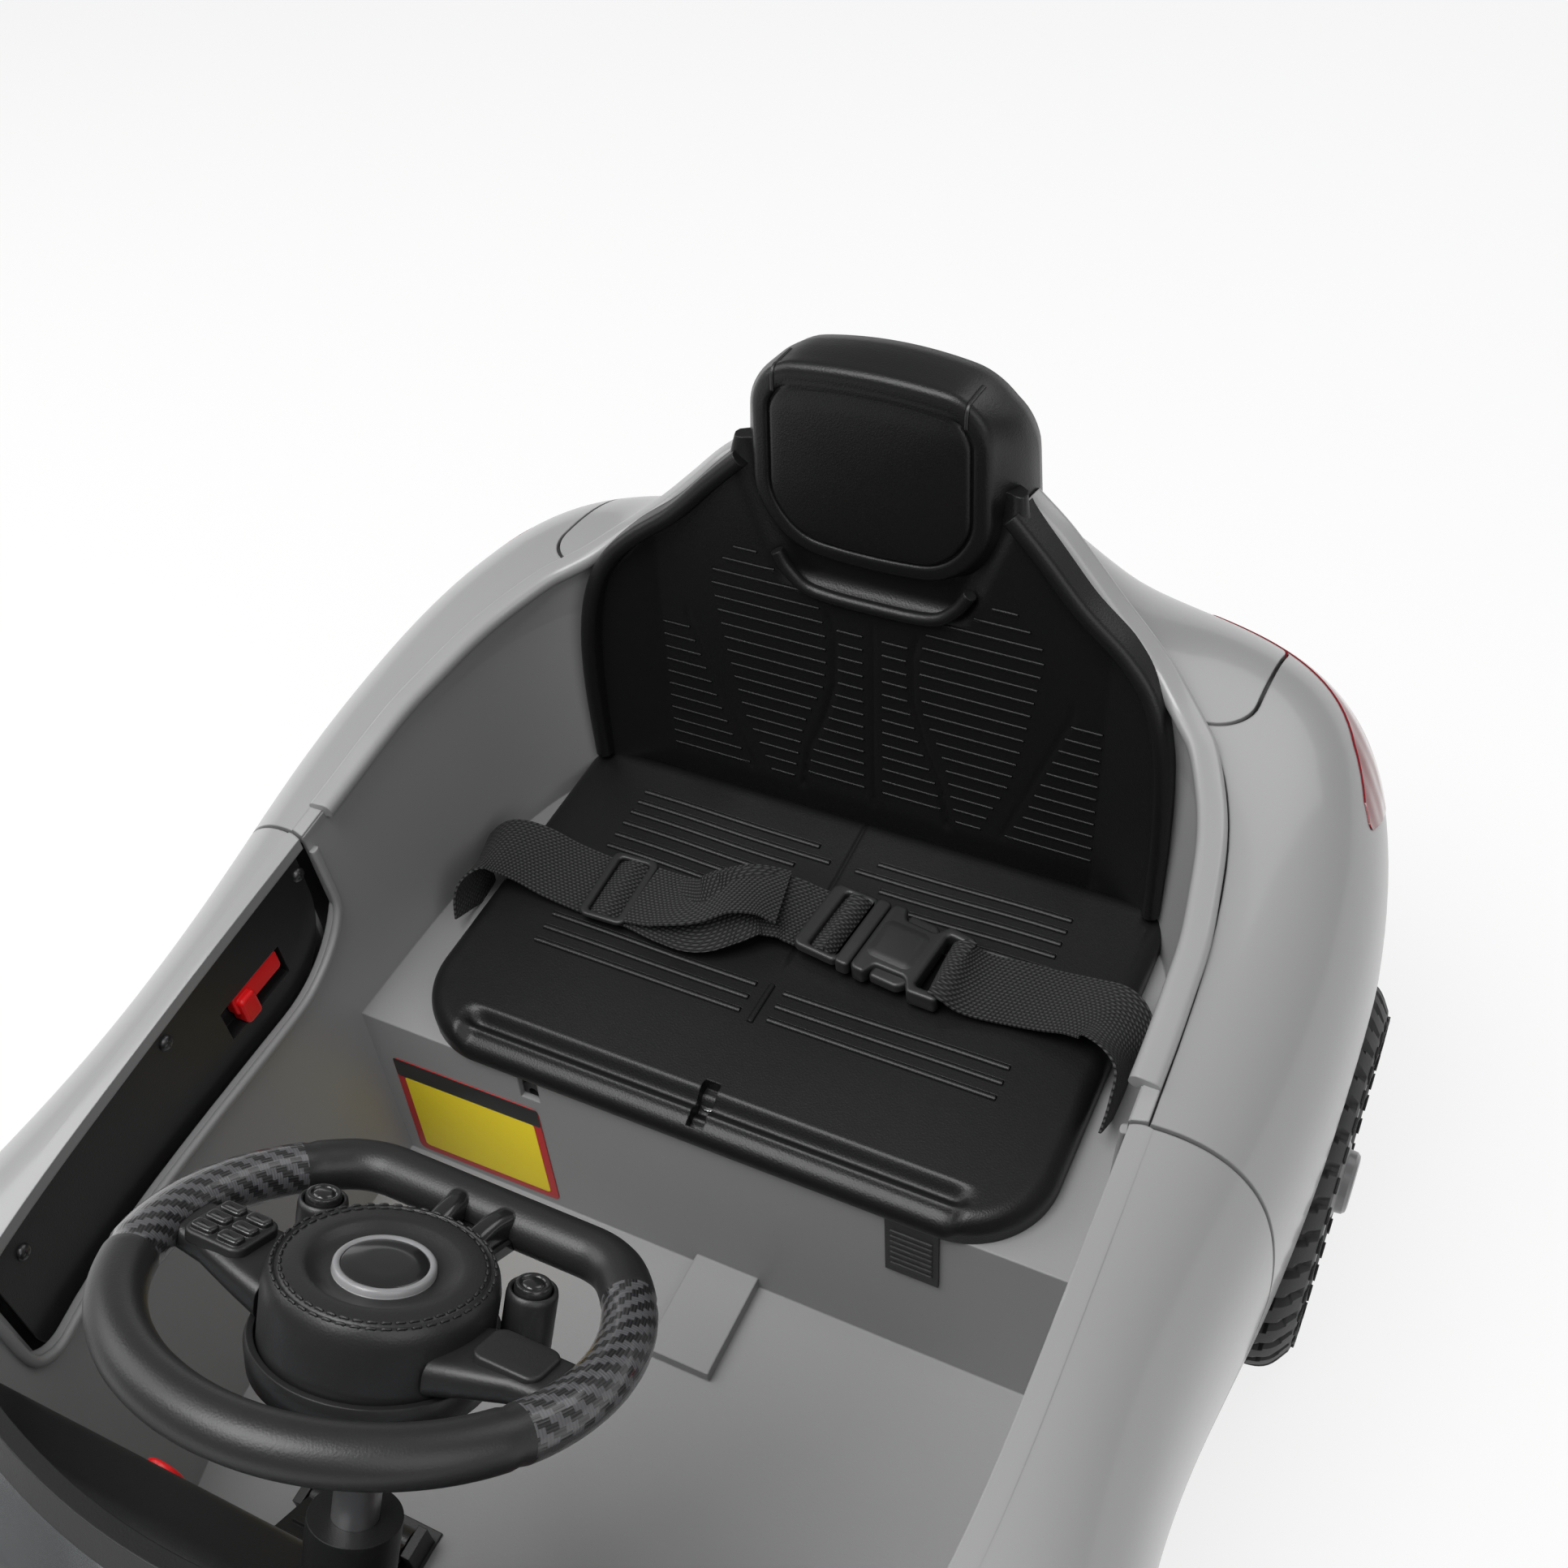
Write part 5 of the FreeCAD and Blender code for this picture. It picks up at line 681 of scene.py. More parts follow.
def rounded(corners: Sequence[tuple[float, float]], radii: Sequence[float], steps: int = 7) -> np.ndarray:
    """Closed outline with rounded corners.

    Args:
        corners: corner points in order, anticlockwise.
        radii: rounding of each corner.
        steps: pieces of each rounding.

    Returns:
        The outline's points.
    """
    points = []
    total = len(corners)
    for i in range(total):
        here = np.array(corners[i], float)
        before = np.array(corners[i - 1], float) - here
        after = np.array(corners[(i + 1) % total], float) - here
        before /= np.linalg.norm(before)
        after /= np.linalg.norm(after)
        angle = math.acos(max(-1.0, min(1.0, float(before @ after))))
        cut = radii[i] / math.tan(angle / 2.0)
        middle = here + (before + after) / np.linalg.norm(before + after) * radii[i] / math.sin(angle / 2.0)
        start, end = here + before * cut - middle, here + after * cut - middle
        first = math.atan2(start[1], start[0])
        turn = (math.atan2(end[1], end[0]) - first + math.pi) % (2.0 * math.pi) - math.pi
        for step in range(steps + 1):
            a = first + turn * step / steps
            points.append(middle + radii[i] * np.array([math.cos(a), math.sin(a)]))
    return np.array(points)


def box_outline(wide: float, tall: float, radius: float, steps: int = 7) -> np.ndarray:
    """Rounded rectangle about the origin."""
    x, y = wide / 2.0, tall / 2.0
    return rounded([(-x, -y), (x, -y), (x, y), (-x, y)], [radius] * 4, steps)


def round_outline(radius: float, steps: int = 48) -> np.ndarray:
    """Circle about the origin."""
    angles = np.arange(steps) * 2.0 * math.pi / steps
    return np.stack([radius * np.cos(angles), radius * np.sin(angles)], 1)


def inset(outline: np.ndarray, depth: float) -> np.ndarray:
    """Outline moved inwards along its own normals.

    Args:
        outline: closed anticlockwise outline.
        depth: distance; below zero moves outwards.

    Returns:
        The moved outline.
    """
    along = np.roll(outline, -1, 0) - np.roll(outline, 1, 0)
    along /= np.maximum(np.linalg.norm(along, axis=1, keepdims=True), 1e-9)
    return outline + depth * np.stack([-along[:, 1], along[:, 0]], 1)


def resampled(outline: np.ndarray, count: int) -> np.ndarray:
    """Closed outline with evenly spread points.

    Args:
        outline: the outline's points.
        count: how many points it gets.

    Returns:
        The new outline.
    """
    closed = np.vstack([outline, outline[:1]])
    length = np.concatenate([[0.0], np.cumsum(np.linalg.norm(np.diff(closed, axis=0), axis=1))])
    places = np.arange(count) * length[-1] / count
    return np.stack([np.interp(places, length, closed[:, axis]) for axis in (0, 1)], 1)


def plate(outline: np.ndarray, steps: Sequence[tuple[float, float]], mark: int = 0) -> Mesh:
    """Plate whose edge follows a profile; it lies in XY and rises along Z.

    Args:
        outline: its anticlockwise outline.
        steps: pairs of inset and height, from the foot to the top.
        mark: number of the material.

    Returns:
        The mesh, filled at foot and top.
    """
    rings = []
    for depth, height in steps:
        ring = inset(outline, depth)
        rings.append(np.column_stack([ring, np.full(len(ring), height)]))
    return rings_mesh(rings, mark=mark)


def pebble(height: float, round_by: float, foot: float = 0.0) -> list[tuple[float, float]]:
    """Profile of a plate with a rounded top edge.

    Args:
        height: height of the top.
        round_by: radius of the edge.
        foot: height of the foot.

    Returns:
        Pairs of inset and height.
    """
    arc = [math.pi / 2.0 * i / 5.0 for i in range(6)]
    edge = [(round_by * (1 - math.cos(a)), height - round_by * (1 - math.sin(a))) for a in arc]
    return [(0.0, foot)] + edge


def frame_plate(outer: np.ndarray, inner: np.ndarray, low: float, high: float, round_by: float) -> Mesh:
    """Flat frame with a hole and rounded edges; it lies in XY.

    Args:
        outer: anticlockwise outer outline.
        inner: outline of the hole with as many points.
        low: height of the foot.
        high: height of the top.
        round_by: radius of the edges.

    Returns:
        The mesh.
    """
    edge = [(round_by, low)] + pebble(high, round_by, low + round_by)
    rings = [np.column_stack([inset(outer, d), np.full(len(outer), h)]) for d, h in edge]
    rings += [np.column_stack([inset(inner, -d), np.full(len(inner), h)]) for d, h in edge[::-1]]
    mesh = rings_mesh(rings, (False, False))
    size, base = len(outer), (len(rings) - 1) * len(outer)
    mesh.faces += [(base + i, base + (i + 1) % size, (i + 1) % size, i) for i in range(size)]
    mesh.marks += [0] * size
    return mesh


def lathe(profile: Sequence[tuple[float, float]], steps: int = 96, mark: int = 0) -> Mesh:
    """Turned shape about the X axis.

    Args:
        profile: pairs of x and radius; closed into a ring if it starts and ends apart from the axis.
        steps: pieces round the axis.
        mark: number of the material.

    Returns:
        The mesh.
    """
    profile = np.asarray(profile, float)
    angles = np.arange(steps) * 2.0 * math.pi / steps
    rings = [np.stack([np.full(steps, x), r * np.cos(angles), r * np.sin(angles)], 1) for x, r in profile]
    return rings_mesh(rings, (profile[0][1] > 1e-6, profile[-1][1] > 1e-6), mark)


def spline(points: Sequence[Sequence[float]], steps: int, closed: bool = False) -> np.ndarray:
    """Smooth path through points.

    Args:
        points: points of any number of values.
        steps: pieces between neighbours.
        closed: True for a loop.

    Returns:
        The path's points.
    """
    points = np.asarray(points, float)
    total = len(points)
    spans = total if closed else total - 1
    path = []
    for i in range(spans):
        if closed:
            a, b, c, d = (points[(i + k) % total] for k in (-1, 0, 1, 2))
        else:
            a, b, c, d = (points[min(max(i + k, 0), total - 1)] for k in (-1, 0, 1, 2))
        for step in range(steps):
            t = step / steps
            path.append(0.5 * (2 * b + (c - a) * t + (2 * a - 5 * b + 4 * c - d) * t * t
                               + (3 * b - a - 3 * c + d) * t ** 3))
    if not closed:
        path.append(points[-1])
    return np.array(path)


def sweep(path: np.ndarray, outline: np.ndarray, up: np.ndarray, closed: bool = False, mark: int = 0) -> Mesh:
    """Outline carried along a path.

    Args:
        path: points of the path.
        outline: closed outline; its first axis lies sideways, its second along up.
        up: one direction for the whole path or one for each point.
        closed: True for a loop.
        mark: number of the material.

    Returns:
        The mesh, with millimetres along and round as its map.
    """
    path = np.asarray(path, float)
    ahead = np.gradient(path, axis=0) if not closed else np.roll(path, -1, 0) - np.roll(path, 1, 0)
    ahead /= np.linalg.norm(ahead, axis=1, keepdims=True)
    up = np.broadcast_to(np.asarray(up, float), path.shape)
    side = np.cross(ahead, up)
    side /= np.linalg.norm(side, axis=1, keepdims=True)
    top = np.cross(side, ahead)
    length = np.concatenate([[0.0], np.cumsum(np.linalg.norm(np.diff(path, axis=0), axis=1))])
    around = np.concatenate([[0.0], np.cumsum(np.linalg.norm(np.diff(outline, axis=0), axis=1))])
    size = len(outline)
    points = path[:, None] + outline[None, :, :1] * side[:, None] + outline[None, :, 1:] * top[:, None]
    faces = grid_faces(len(path), size, wrap=True)
    if closed:
        base = (len(path) - 1) * size
        faces += [(base + i, base + (i + 1) % size, (i + 1) % size, i) for i in range(size)]
    else:
        base = (len(path) - 1) * size
        faces += [tuple(range(size))[::-1], tuple(range(base, base + size))]
    flat = np.stack([np.repeat(length, size), np.tile(around, len(path))], 1)
    return Mesh().add(points.reshape(-1, 3), faces, mark, flat)


def soft_step(low: float, high: float, value: np.ndarray) -> np.ndarray:
    """Soft step from 0 at low to 1 at high."""
    t = np.clip((np.asarray(value, float) - low) / (high - low), 0.0, 1.0)
    return t * t * (3.0 - 2.0 * t)


def placed(origin: Sequence[float], x_axis: Sequence[float], y_axis: Sequence[float]) -> Move:
    """Move from a flat drawing to its place in the car.

    Args:
        origin: where the drawing's origin goes.
        x_axis: direction of the drawing's X.
        y_axis: direction of the drawing's Y.

    Returns:
        The move for points.
    """
    x = np.asarray(x_axis, float) / np.linalg.norm(x_axis)
    y = np.asarray(y_axis, float)
    y = y - x * (x @ y)
    y /= np.linalg.norm(y)
    z = np.cross(x, y)
    turn = np.stack([x, y, z])
    return lambda points: points @ turn + np.asarray(origin, float)


def mirrored(mesh: Mesh) -> Mesh:
    """Copy of a mesh on the other side of the car.

    Args:
        mesh: the mesh on one side.

    Returns:
        Its mirror image.
    """
    other = Mesh()
    points = np.vstack(mesh.points) * np.array([-1.0, 1.0, 1.0])
    other.points, other.count = [points], len(points)
    other.faces = [face[::-1] for face in mesh.faces]
    other.marks, other.maps = list(mesh.marks), [np.vstack(mesh.maps)]
    return other


# Seat


@dataclass
class Seat:
    """Moulded bucket seat: lid, ribbed back, shoulder rolls and headrest."""

    half_width: float = 176.0
    front_y: float = 142.0
    rear_y: float = 363.0
    top_z: float = 197.0
    foot_z: float = 180.4
    corner: float = 46.0
    back_y: float = 367.0
    back_z: float = 182.0
    lean: float = math.tan(math.radians(5.5))
    bolster_x: float = 128.0
    bolster_end: float = 171.0
    bolster_forward: float = 18.0
    edge: float = 7.0
    rib_pitch: float = 8.7
    lid_edge: float = 9.0
    lid_ribs: tuple[tuple[float, float], ...] = (
        (334.0, 18.0), (325.5, 8.0), (317.0, 26.0), (308.0, 41.0), (298.5, 55.0), (289.5, 67.0))
    front_ribs: tuple[float, ...] = (234.0, 224.5, 215.0)
    back_thick: float = 9.0
    back_top_z: float = 418.0
    head_front_y: float = 381.0
    head_z: float = 417.0
    head_foot_z: float = 358.0
    head_points: int = 132
    slit_x: float = 50.0

    def lid_depth(self, x: np.ndarray, y: np.ndarray) -> np.ndarray:
        """Distance of points of the lid from its rounded edge.

        Args:
            x: places across.
            y: places along.

        Returns:
            The distances, above zero inside the edge.
        """
        middle = (self.front_y + self.rear_y) / 2.0
        reach = (self.rear_y - self.front_y) / 2.0
        radius = np.where(y < middle, self.corner, 12.0)
        qx = np.abs(x) - self.half_width + radius
        qy = np.abs(y - middle) - reach + radius
        outside = np.hypot(np.maximum(qx, 0.0), np.maximum(qy, 0.0))
        return radius - outside - np.minimum(np.maximum(qx, qy), 0.0)

    def lid_height(self, x: np.ndarray, y: np.ndarray) -> np.ndarray:
        """Height of the lid's top with its edge, front step, dish and screw slot.

        Args:
            x: places across.
            y: places along.

        Returns:
            The heights.
        """
        depth = np.maximum(self.lid_depth(x, y), 0.0)
        reach = self.lid_edge
        drop = reach - np.sqrt(np.maximum(reach ** 2 - np.maximum(reach - depth, 0.0) ** 2, 0.0))
        across = 1.0 - soft_step(134.0, 143.0, np.abs(x))
        step = (1.0 - soft_step(157.0, 166.0, y)) * across * 6.5
        bead = 2.6 * np.exp(-((y - 153.5) / 2.6) ** 2) * across
        dish = 3.0 * np.exp(-(x / 85.0) ** 4) * np.exp(-((y - 285.0) / 60.0) ** 4)
        seam = 0.9 * np.exp(-(x / 1.2) ** 2) * soft_step(250.0, 260.0, y)
        slot = 7.0 * (np.abs(x) < 4.4) * (y > 147.0) * (y < 170.0)
        return self.top_z - drop - step + bead - dish - seam - slot

    def make_lid(self) -> None:
        """Seat base lid with a rounded skirt."""
        rows = np.unique(np.concatenate([
            self.front_y + self.corner * (1.0 - np.cos(np.linspace(0.0, math.pi / 2.0, 44))),
            np.linspace(150.0, 176.0, 40), np.linspace(188.0, self.rear_y, 60)]).round(3))
        shares = np.unique(np.concatenate([
            np.sin(np.linspace(-math.pi / 2.0, math.pi / 2.0, 90)), np.linspace(-0.05, 0.05, 42)]).round(5))
        arc = np.clip((self.front_y + self.corner - rows) / self.corner, 0.0, 1.0)
        wide = self.half_width - self.corner * (1.0 - np.sqrt(1.0 - arc ** 2))
        x = shares[None] * wide[:, None]
        y = np.repeat(rows[:, None], len(shares), 1)
        z = self.lid_height(x, y)
        top = np.stack([x, y, z], 2)
        edge = np.concatenate([top[0], top[1:, -1], top[-1, -2::-1], top[-2:0:-1, 0]])
        low = edge.copy()
        low[:, 2] = self.foot_z
        mesh = Mesh().add(top.reshape(-1, 3), grid_faces(len(rows), len(shares)))
        mesh.join(rings_mesh([low, edge], (True, False)))
        for side in (-1.0, 1.0):
            for y_rib, inner in self.lid_ribs:
                self.add_lid_rib(mesh, side, y_rib, inner, 130.0)
            for y_rib in self.front_ribs:
                self.add_lid_rib(mesh, side, y_rib, 8.0, 133.0)
        places = np.linspace(210.0, 237.0, 8)
        path = np.stack([np.zeros(8), places, self.lid_height(np.zeros(8), places) - 0.35], 1)
        mesh.join(sweep(path, self.rib_outline(), (0.0, 0.0, 1.0)))
        Shape(Body.CAR, (Finishes.SEAT,), ("seat_base",), crease=50.0).put("seat_lid", mesh)

    def add_lid_rib(self, mesh: Mesh, side: float, y: float, inner: float, outer: float) -> None:
        """Adds one raised rib across the lid.

        Args:
            mesh: the lid's mesh.
            side: +1 for the car's left half, -1 for the right.
            y: place of the rib.
            inner: where it starts from the middle.
            outer: where it ends.
        """
        x = np.linspace(inner, outer, 14) * side
        path = np.stack([x, np.full(14, y), self.lid_height(x, np.full(14, y)) - 0.35], 1)
        mesh.join(sweep(path, self.rib_outline(), (0.0, 0.0, 1.0)))

    def rib_outline(self) -> np.ndarray:
        """Section of a raised rib of the lid."""
        right = [(1.7, 0.0), (1.5, 1.0), (0.9, 1.5)]
        return np.array([(-1.7, 0.0)] + right + [(0.0, 1.6), (-0.9, 1.5), (-1.5, 1.0)])

    def back_half(self, z: np.ndarray) -> np.ndarray:
        """Half width of the seat back at a height.

        Args:
            z: heights.

        Returns:
            The half widths.
        """
        stations = ((182.0, 170.0), (285.0, 169.0), (312.0, 164.0), (328.0, 156.0), (347.0, 139.0),
                    (368.0, 112.0), (400.0, 82.0), (418.0, 78.0))
        return np.interp(z, [s[0] for s in stations], [s[1] for s in stations])

    def back_front(self, x: np.ndarray, z: np.ndarray) -> np.ndarray:
        """Front face of the seat back.

        Args:
            x: places across.
            z: heights.

        Returns:
            The face's Y.
        """
        y = self.back_y + (z - self.back_z) * self.lean
        outer = np.maximum(0.0, (np.abs(x) - self.bolster_x) / (self.bolster_end - self.bolster_x))
        y = y - self.bolster_forward * outer
        spine = np.interp(z, (197.0, 229.0, 254.0, 280.0, 310.0, 326.0), (45.0, 40.0, 30.0, 23.0, 22.0, 25.4))
        fade = soft_step(196.0, 204.0, z) * (1.0 - soft_step(322.0, 330.0, z))
        y = y + fade * 1.6 * np.exp(-((np.abs(x) - spine) / 1.5) ** 2)
        y = y + fade * 0.9 * np.exp(-(x / 1.2) ** 2)
        facet = np.interp(z, (207.0, 300.0), (77.0, 111.0))
        low = soft_step(200.0, 210.0, z) * (1.0 - soft_step(300.0, 312.0, z))
        y = y + low * 0.9 * np.exp(-((np.abs(x) - facet) / 1.6) ** 2)
        beside = soft_step(40.0, 56.0, np.abs(x) - (z - 340.0) * 0.35)
        pocket = soft_step(338.0, 346.0, z) * (1.0 - beside)
        return y + 6.5 * pocket

    def make_back(self) -> None:
        """Ribbed seat back as one shell with rolled edges."""
        rows = np.linspace(self.back_z, self.back_top_z, 110)
        crowded = np.sin(np.linspace(-math.pi / 2.0, math.pi / 2.0, 61))
        shares = crowded * 0.2 + np.linspace(-1.0, 1.0, 61) * 0.8
        fine = np.interp(np.linspace(0.0, 60.0, 241), np.arange(61), shares)
        rings = []
        for z in rows:
            half = float(self.back_half(np.array(z)))
            x = fine * half
            depth = half - np.abs(x)
            round_off = np.maximum(self.edge - depth, 0.0)
            front = self.back_front(x, np.full_like(x, z))
            front = front + self.edge - np.sqrt(np.maximum(self.edge ** 2 - round_off ** 2, 0.0))
            rear_x = fine[::-6] * (half - 1.0)
            rear = self.back_front(rear_x, np.full_like(rear_x, z)) + self.back_thick
            rear = np.maximum(rear, np.interp(np.abs(rear_x), (0.0, half), (0.0, float(front[0]) + 1.0)))
            ring = np.concatenate([np.stack([x, front, np.full_like(x, z)], 1),
                                   np.stack([rear_x, rear, np.full_like(rear_x, z)], 1)])
            rings.append(ring)
        mesh = rings_mesh(rings)
        self.add_back_ribs(mesh)
        Shape(Body.CAR, (Finishes.SEAT,), ("seat_back",), crease=50.0).put("seat_back_shell", mesh)

    def add_back_ribs(self, mesh: Mesh) -> None:
        """Adds the fine raised ribs of the seat back's panels.

        Args:
            mesh: the seat back's mesh.
        """
        outer_mid = ((207.0, 66.0), (218.0, 70.0), (244.0, 81.0), (273.0, 87.0), (310.0, 93.0), (331.0, 96.0),
                     (339.0, 94.0), (348.0, 86.0), (357.0, 79.0), (363.0, 74.0))
        inner_mid = ((207.0, 48.0), (247.0, 40.5), (261.0, 35.0), (276.0, 28.0), (294.0, 25.6), (314.0, 25.6),
                     (330.0, 29.0), (340.0, 41.0), (345.0, 53.0), (355.0, 64.0), (363.0, 69.0))
        inner_far = ((207.0, 77.0), (225.0, 87.0), (250.0, 95.0), (275.0, 103.0), (300.0, 111.0))
        spine = ((213.0, 41.0), (229.0, 38.0), (254.0, 28.0), (280.0, 21.0), (310.0, 20.0), (319.0, 21.0))
        groups = ((inner_mid, outer_mid, 1.5), (inner_far, ((207.0, 129.0), (301.0, 129.0)), 1.5),
                  (((213.0, 5.0), (319.0, 5.0)), spine, 0.5))
        bead = np.array([(-0.85, -0.5), (0.85, -0.5), (0.7, 0.45), (0.0, 0.8), (-0.7, 0.45)])
        for inner, outer, margin in groups:
            heights = np.arange(inner[0][0], inner[-1][0] + 0.1, self.rib_pitch)
            starts = np.interp(heights, *np.array(inner).T) + margin
            ends = np.interp(heights, *np.array(outer).T) - margin
            for z, start, end in zip(heights, starts, ends):
                if end - start < 3.0:
                    continue
                for side in (-1.0, 1.0):
                    x = np.linspace(start, end, 8) * side
                    path = np.stack([x, self.back_front(x, np.full(8, z)), np.full(8, z)], 1)
                    mesh.join(sweep(path, bead, (0.0, -1.0, 0.0)))

    def make_rolls(self) -> None:
        """Rounded roll along each shoulder of the seat back and the lip of its pocket."""
        mesh = Mesh()
        roll = box_outline(9.5, 27.0, 4.2, 5)
        stations = ((167.0, 351.0, 200.0), (167.0, 354.0, 250.0), (165.0, 358.0, 288.0),
                    (160.0, 363.5, 316.0), (151.0, 370.0, 336.0), (136.0, 376.0, 351.0),
                    (112.0, 381.5, 369.0), (90.0, 386.5, 391.0), (73.0, 390.0, 407.0))
        path = spline(stations, 8) + np.array([0.0, 9.0, 0.0])
        one = sweep(path, roll, np.array([0.0, -1.0, 0.1]))
        mesh.join(one).join(mirrored(one))
        lip = spline([(-53.0, 360.0), (-48.0, 351.0), (-38.0, 342.0), (-24.0, 339.0), (0.0, 338.5),
                      (24.0, 339.0), (38.0, 342.0), (48.0, 351.0), (54.0, 361.0)], 8)
        depth = self.back_y + (lip[:, 1] - self.back_z) * self.lean - 1.0
        mesh.join(sweep(np.column_stack([lip[:, 0], depth, lip[:, 1]]), round_outline(1.0, 16) * 3.6,
                        np.array([0.0, -1.0, 0.0])))
        Shape(Body.CAR, (Finishes.SEAT,), crease=60.0).put("seat_rolls", mesh)

    def crowned(self, corners: Sequence[tuple[float, float]], radii: Sequence[float], top: float,
                foot: float) -> np.ndarray:
        """Rounded outline of the headrest with arched upper and lower edges.

        Args:
            corners: four corners, anticlockwise.
            radii: radius of each corner.
            top: rise of the upper edge in the middle.
            foot: drop of the lower edge in the middle.

        Returns:
            The outline, its points evenly spread.
        """
        outline = resampled(rounded(corners, radii, 12), self.head_points)
        bow = np.clip(1.0 - (outline[:, 0] / 62.0) ** 2, 0.0, 1.0)
        arch = np.where(outline[:, 1] > 0.0, top, -foot) * bow
        arch = arch * soft_step(15.0, 45.0, np.abs(outline[:, 1]))
        return outline + np.stack([np.zeros(self.head_points), arch], 1)

    def head_rings(self) -> list[np.ndarray]:
        """Rings of the headrest, front along Z.

        Returns:
            The rings from the back of its shell to the middle of its pad.
        """
        front = self.crowned([(-65.5, -50.0), (65.5, -50.0), (63.0, 49.0), (-63.0, 49.0)],
                             (36.0, 36.0, 24.0, 24.0), 5.5, 6.5)
        rear = self.crowned([(-81.0, -57.0), (81.0, -57.0), (73.0, 45.5), (-73.0, 45.5)],
                            (26.0, 26.0, 36.0, 36.0), 9.0, 0.0)
        steps = ((1.0, 12.0, -48.0), (1.0, 6.0, -45.5), (1.0, 2.0, -40.0), (1.0, 0.0, -31.0),
                 (0.8, -0.5, -22.0), (0.5, -0.5, -14.0), (0.2, 0.0, -8.0), (0.05, 0.0, -5.0),
                 (0.0, 0.3, -3.4), (0.0, 1.2, -1.7),
                 (0.0, 2.6, -0.5), (0.0, 4.5, 0.0), (0.0, 7.5, 0.1), (0.0, 9.0, 0.1), (0.0, 9.7, -0.4),
                 (0.0, 10.3, -1.9), (0.0, 10.9, -1.9), (0.0, 11.5, -0.2), (0.0, 12.2, 0.5), (0.0, 13.5, 0.9))
        rings = []
        for share, depth, height in steps:
            ring = inset(front * (1.0 - share) + rear * share, depth)
            fade = soft_step(30.0, 38.0, ring[:, 1]) * (1.0 - soft_step(42.0, 50.0, np.abs(ring[:, 0])))
            level = np.where(depth > 9.0, height + (0.3 - height) * fade, height)
            rings.append(np.column_stack([ring, level]))
        rear = rings[0][:, :2]
        middle = rear.mean(0)
        for share, height in ((0.85, -49.0), (0.5, -49.8), (0.05, -50.0)):
            rings.insert(0, np.column_stack([middle + (rear - middle) * share, np.full(len(rear), height)]))
        pad = rings[-1][:, :2]
        middle = pad.mean(0)
        for share, height in ((0.9, 1.3), (0.75, 1.8), (0.55, 2.2), (0.3, 2.5), (0.05, 2.6)):
            rings.append(np.column_stack([middle + (pad - middle) * share, np.full(len(pad), height)]))
        return rings

    def make_headrest(self) -> None:
        """Headrest: flared shell, crowned front with a grooved bare pad and two slits over its top."""
        rings = self.head_rings()
        mesh = rings_mesh(rings)
        for x in (-self.slit_x, self.slit_x):
            path = []
            for ring in rings[7:17]:
                upper = ring[ring[:, 1] > 0.0]
                upper = upper[np.argsort(upper[:, 0])]
                height, front = (np.interp(x, upper[:, 0], upper[:, axis]) for axis in (1, 2))
                path.append((x, height, front))
            mesh.join(sweep(np.array(path), box_outline(2.0, 1.0, 0.4, 2), (0.0, 0.7, 0.7), mark=1))
        face_y = self.head_front_y + (self.head_z - self.head_foot_z) * self.lean
        move = placed((0.0, face_y, self.head_z), (1.0, 0.0, 0.0), (0.0, self.lean, 1.0))
        finishes = (Finishes.SEAT, Finishes.BLACK)
        Shape(Body.CAR, finishes, ("headrest",), crease=50.0).put("headrest_shell", Mesh().join(mesh, move))

    def build(self) -> None:
        """Makes every piece of the seat."""
        self.make_lid()
        self.make_back()
        self.make_rolls()
        self.make_headrest()


# Lap belt


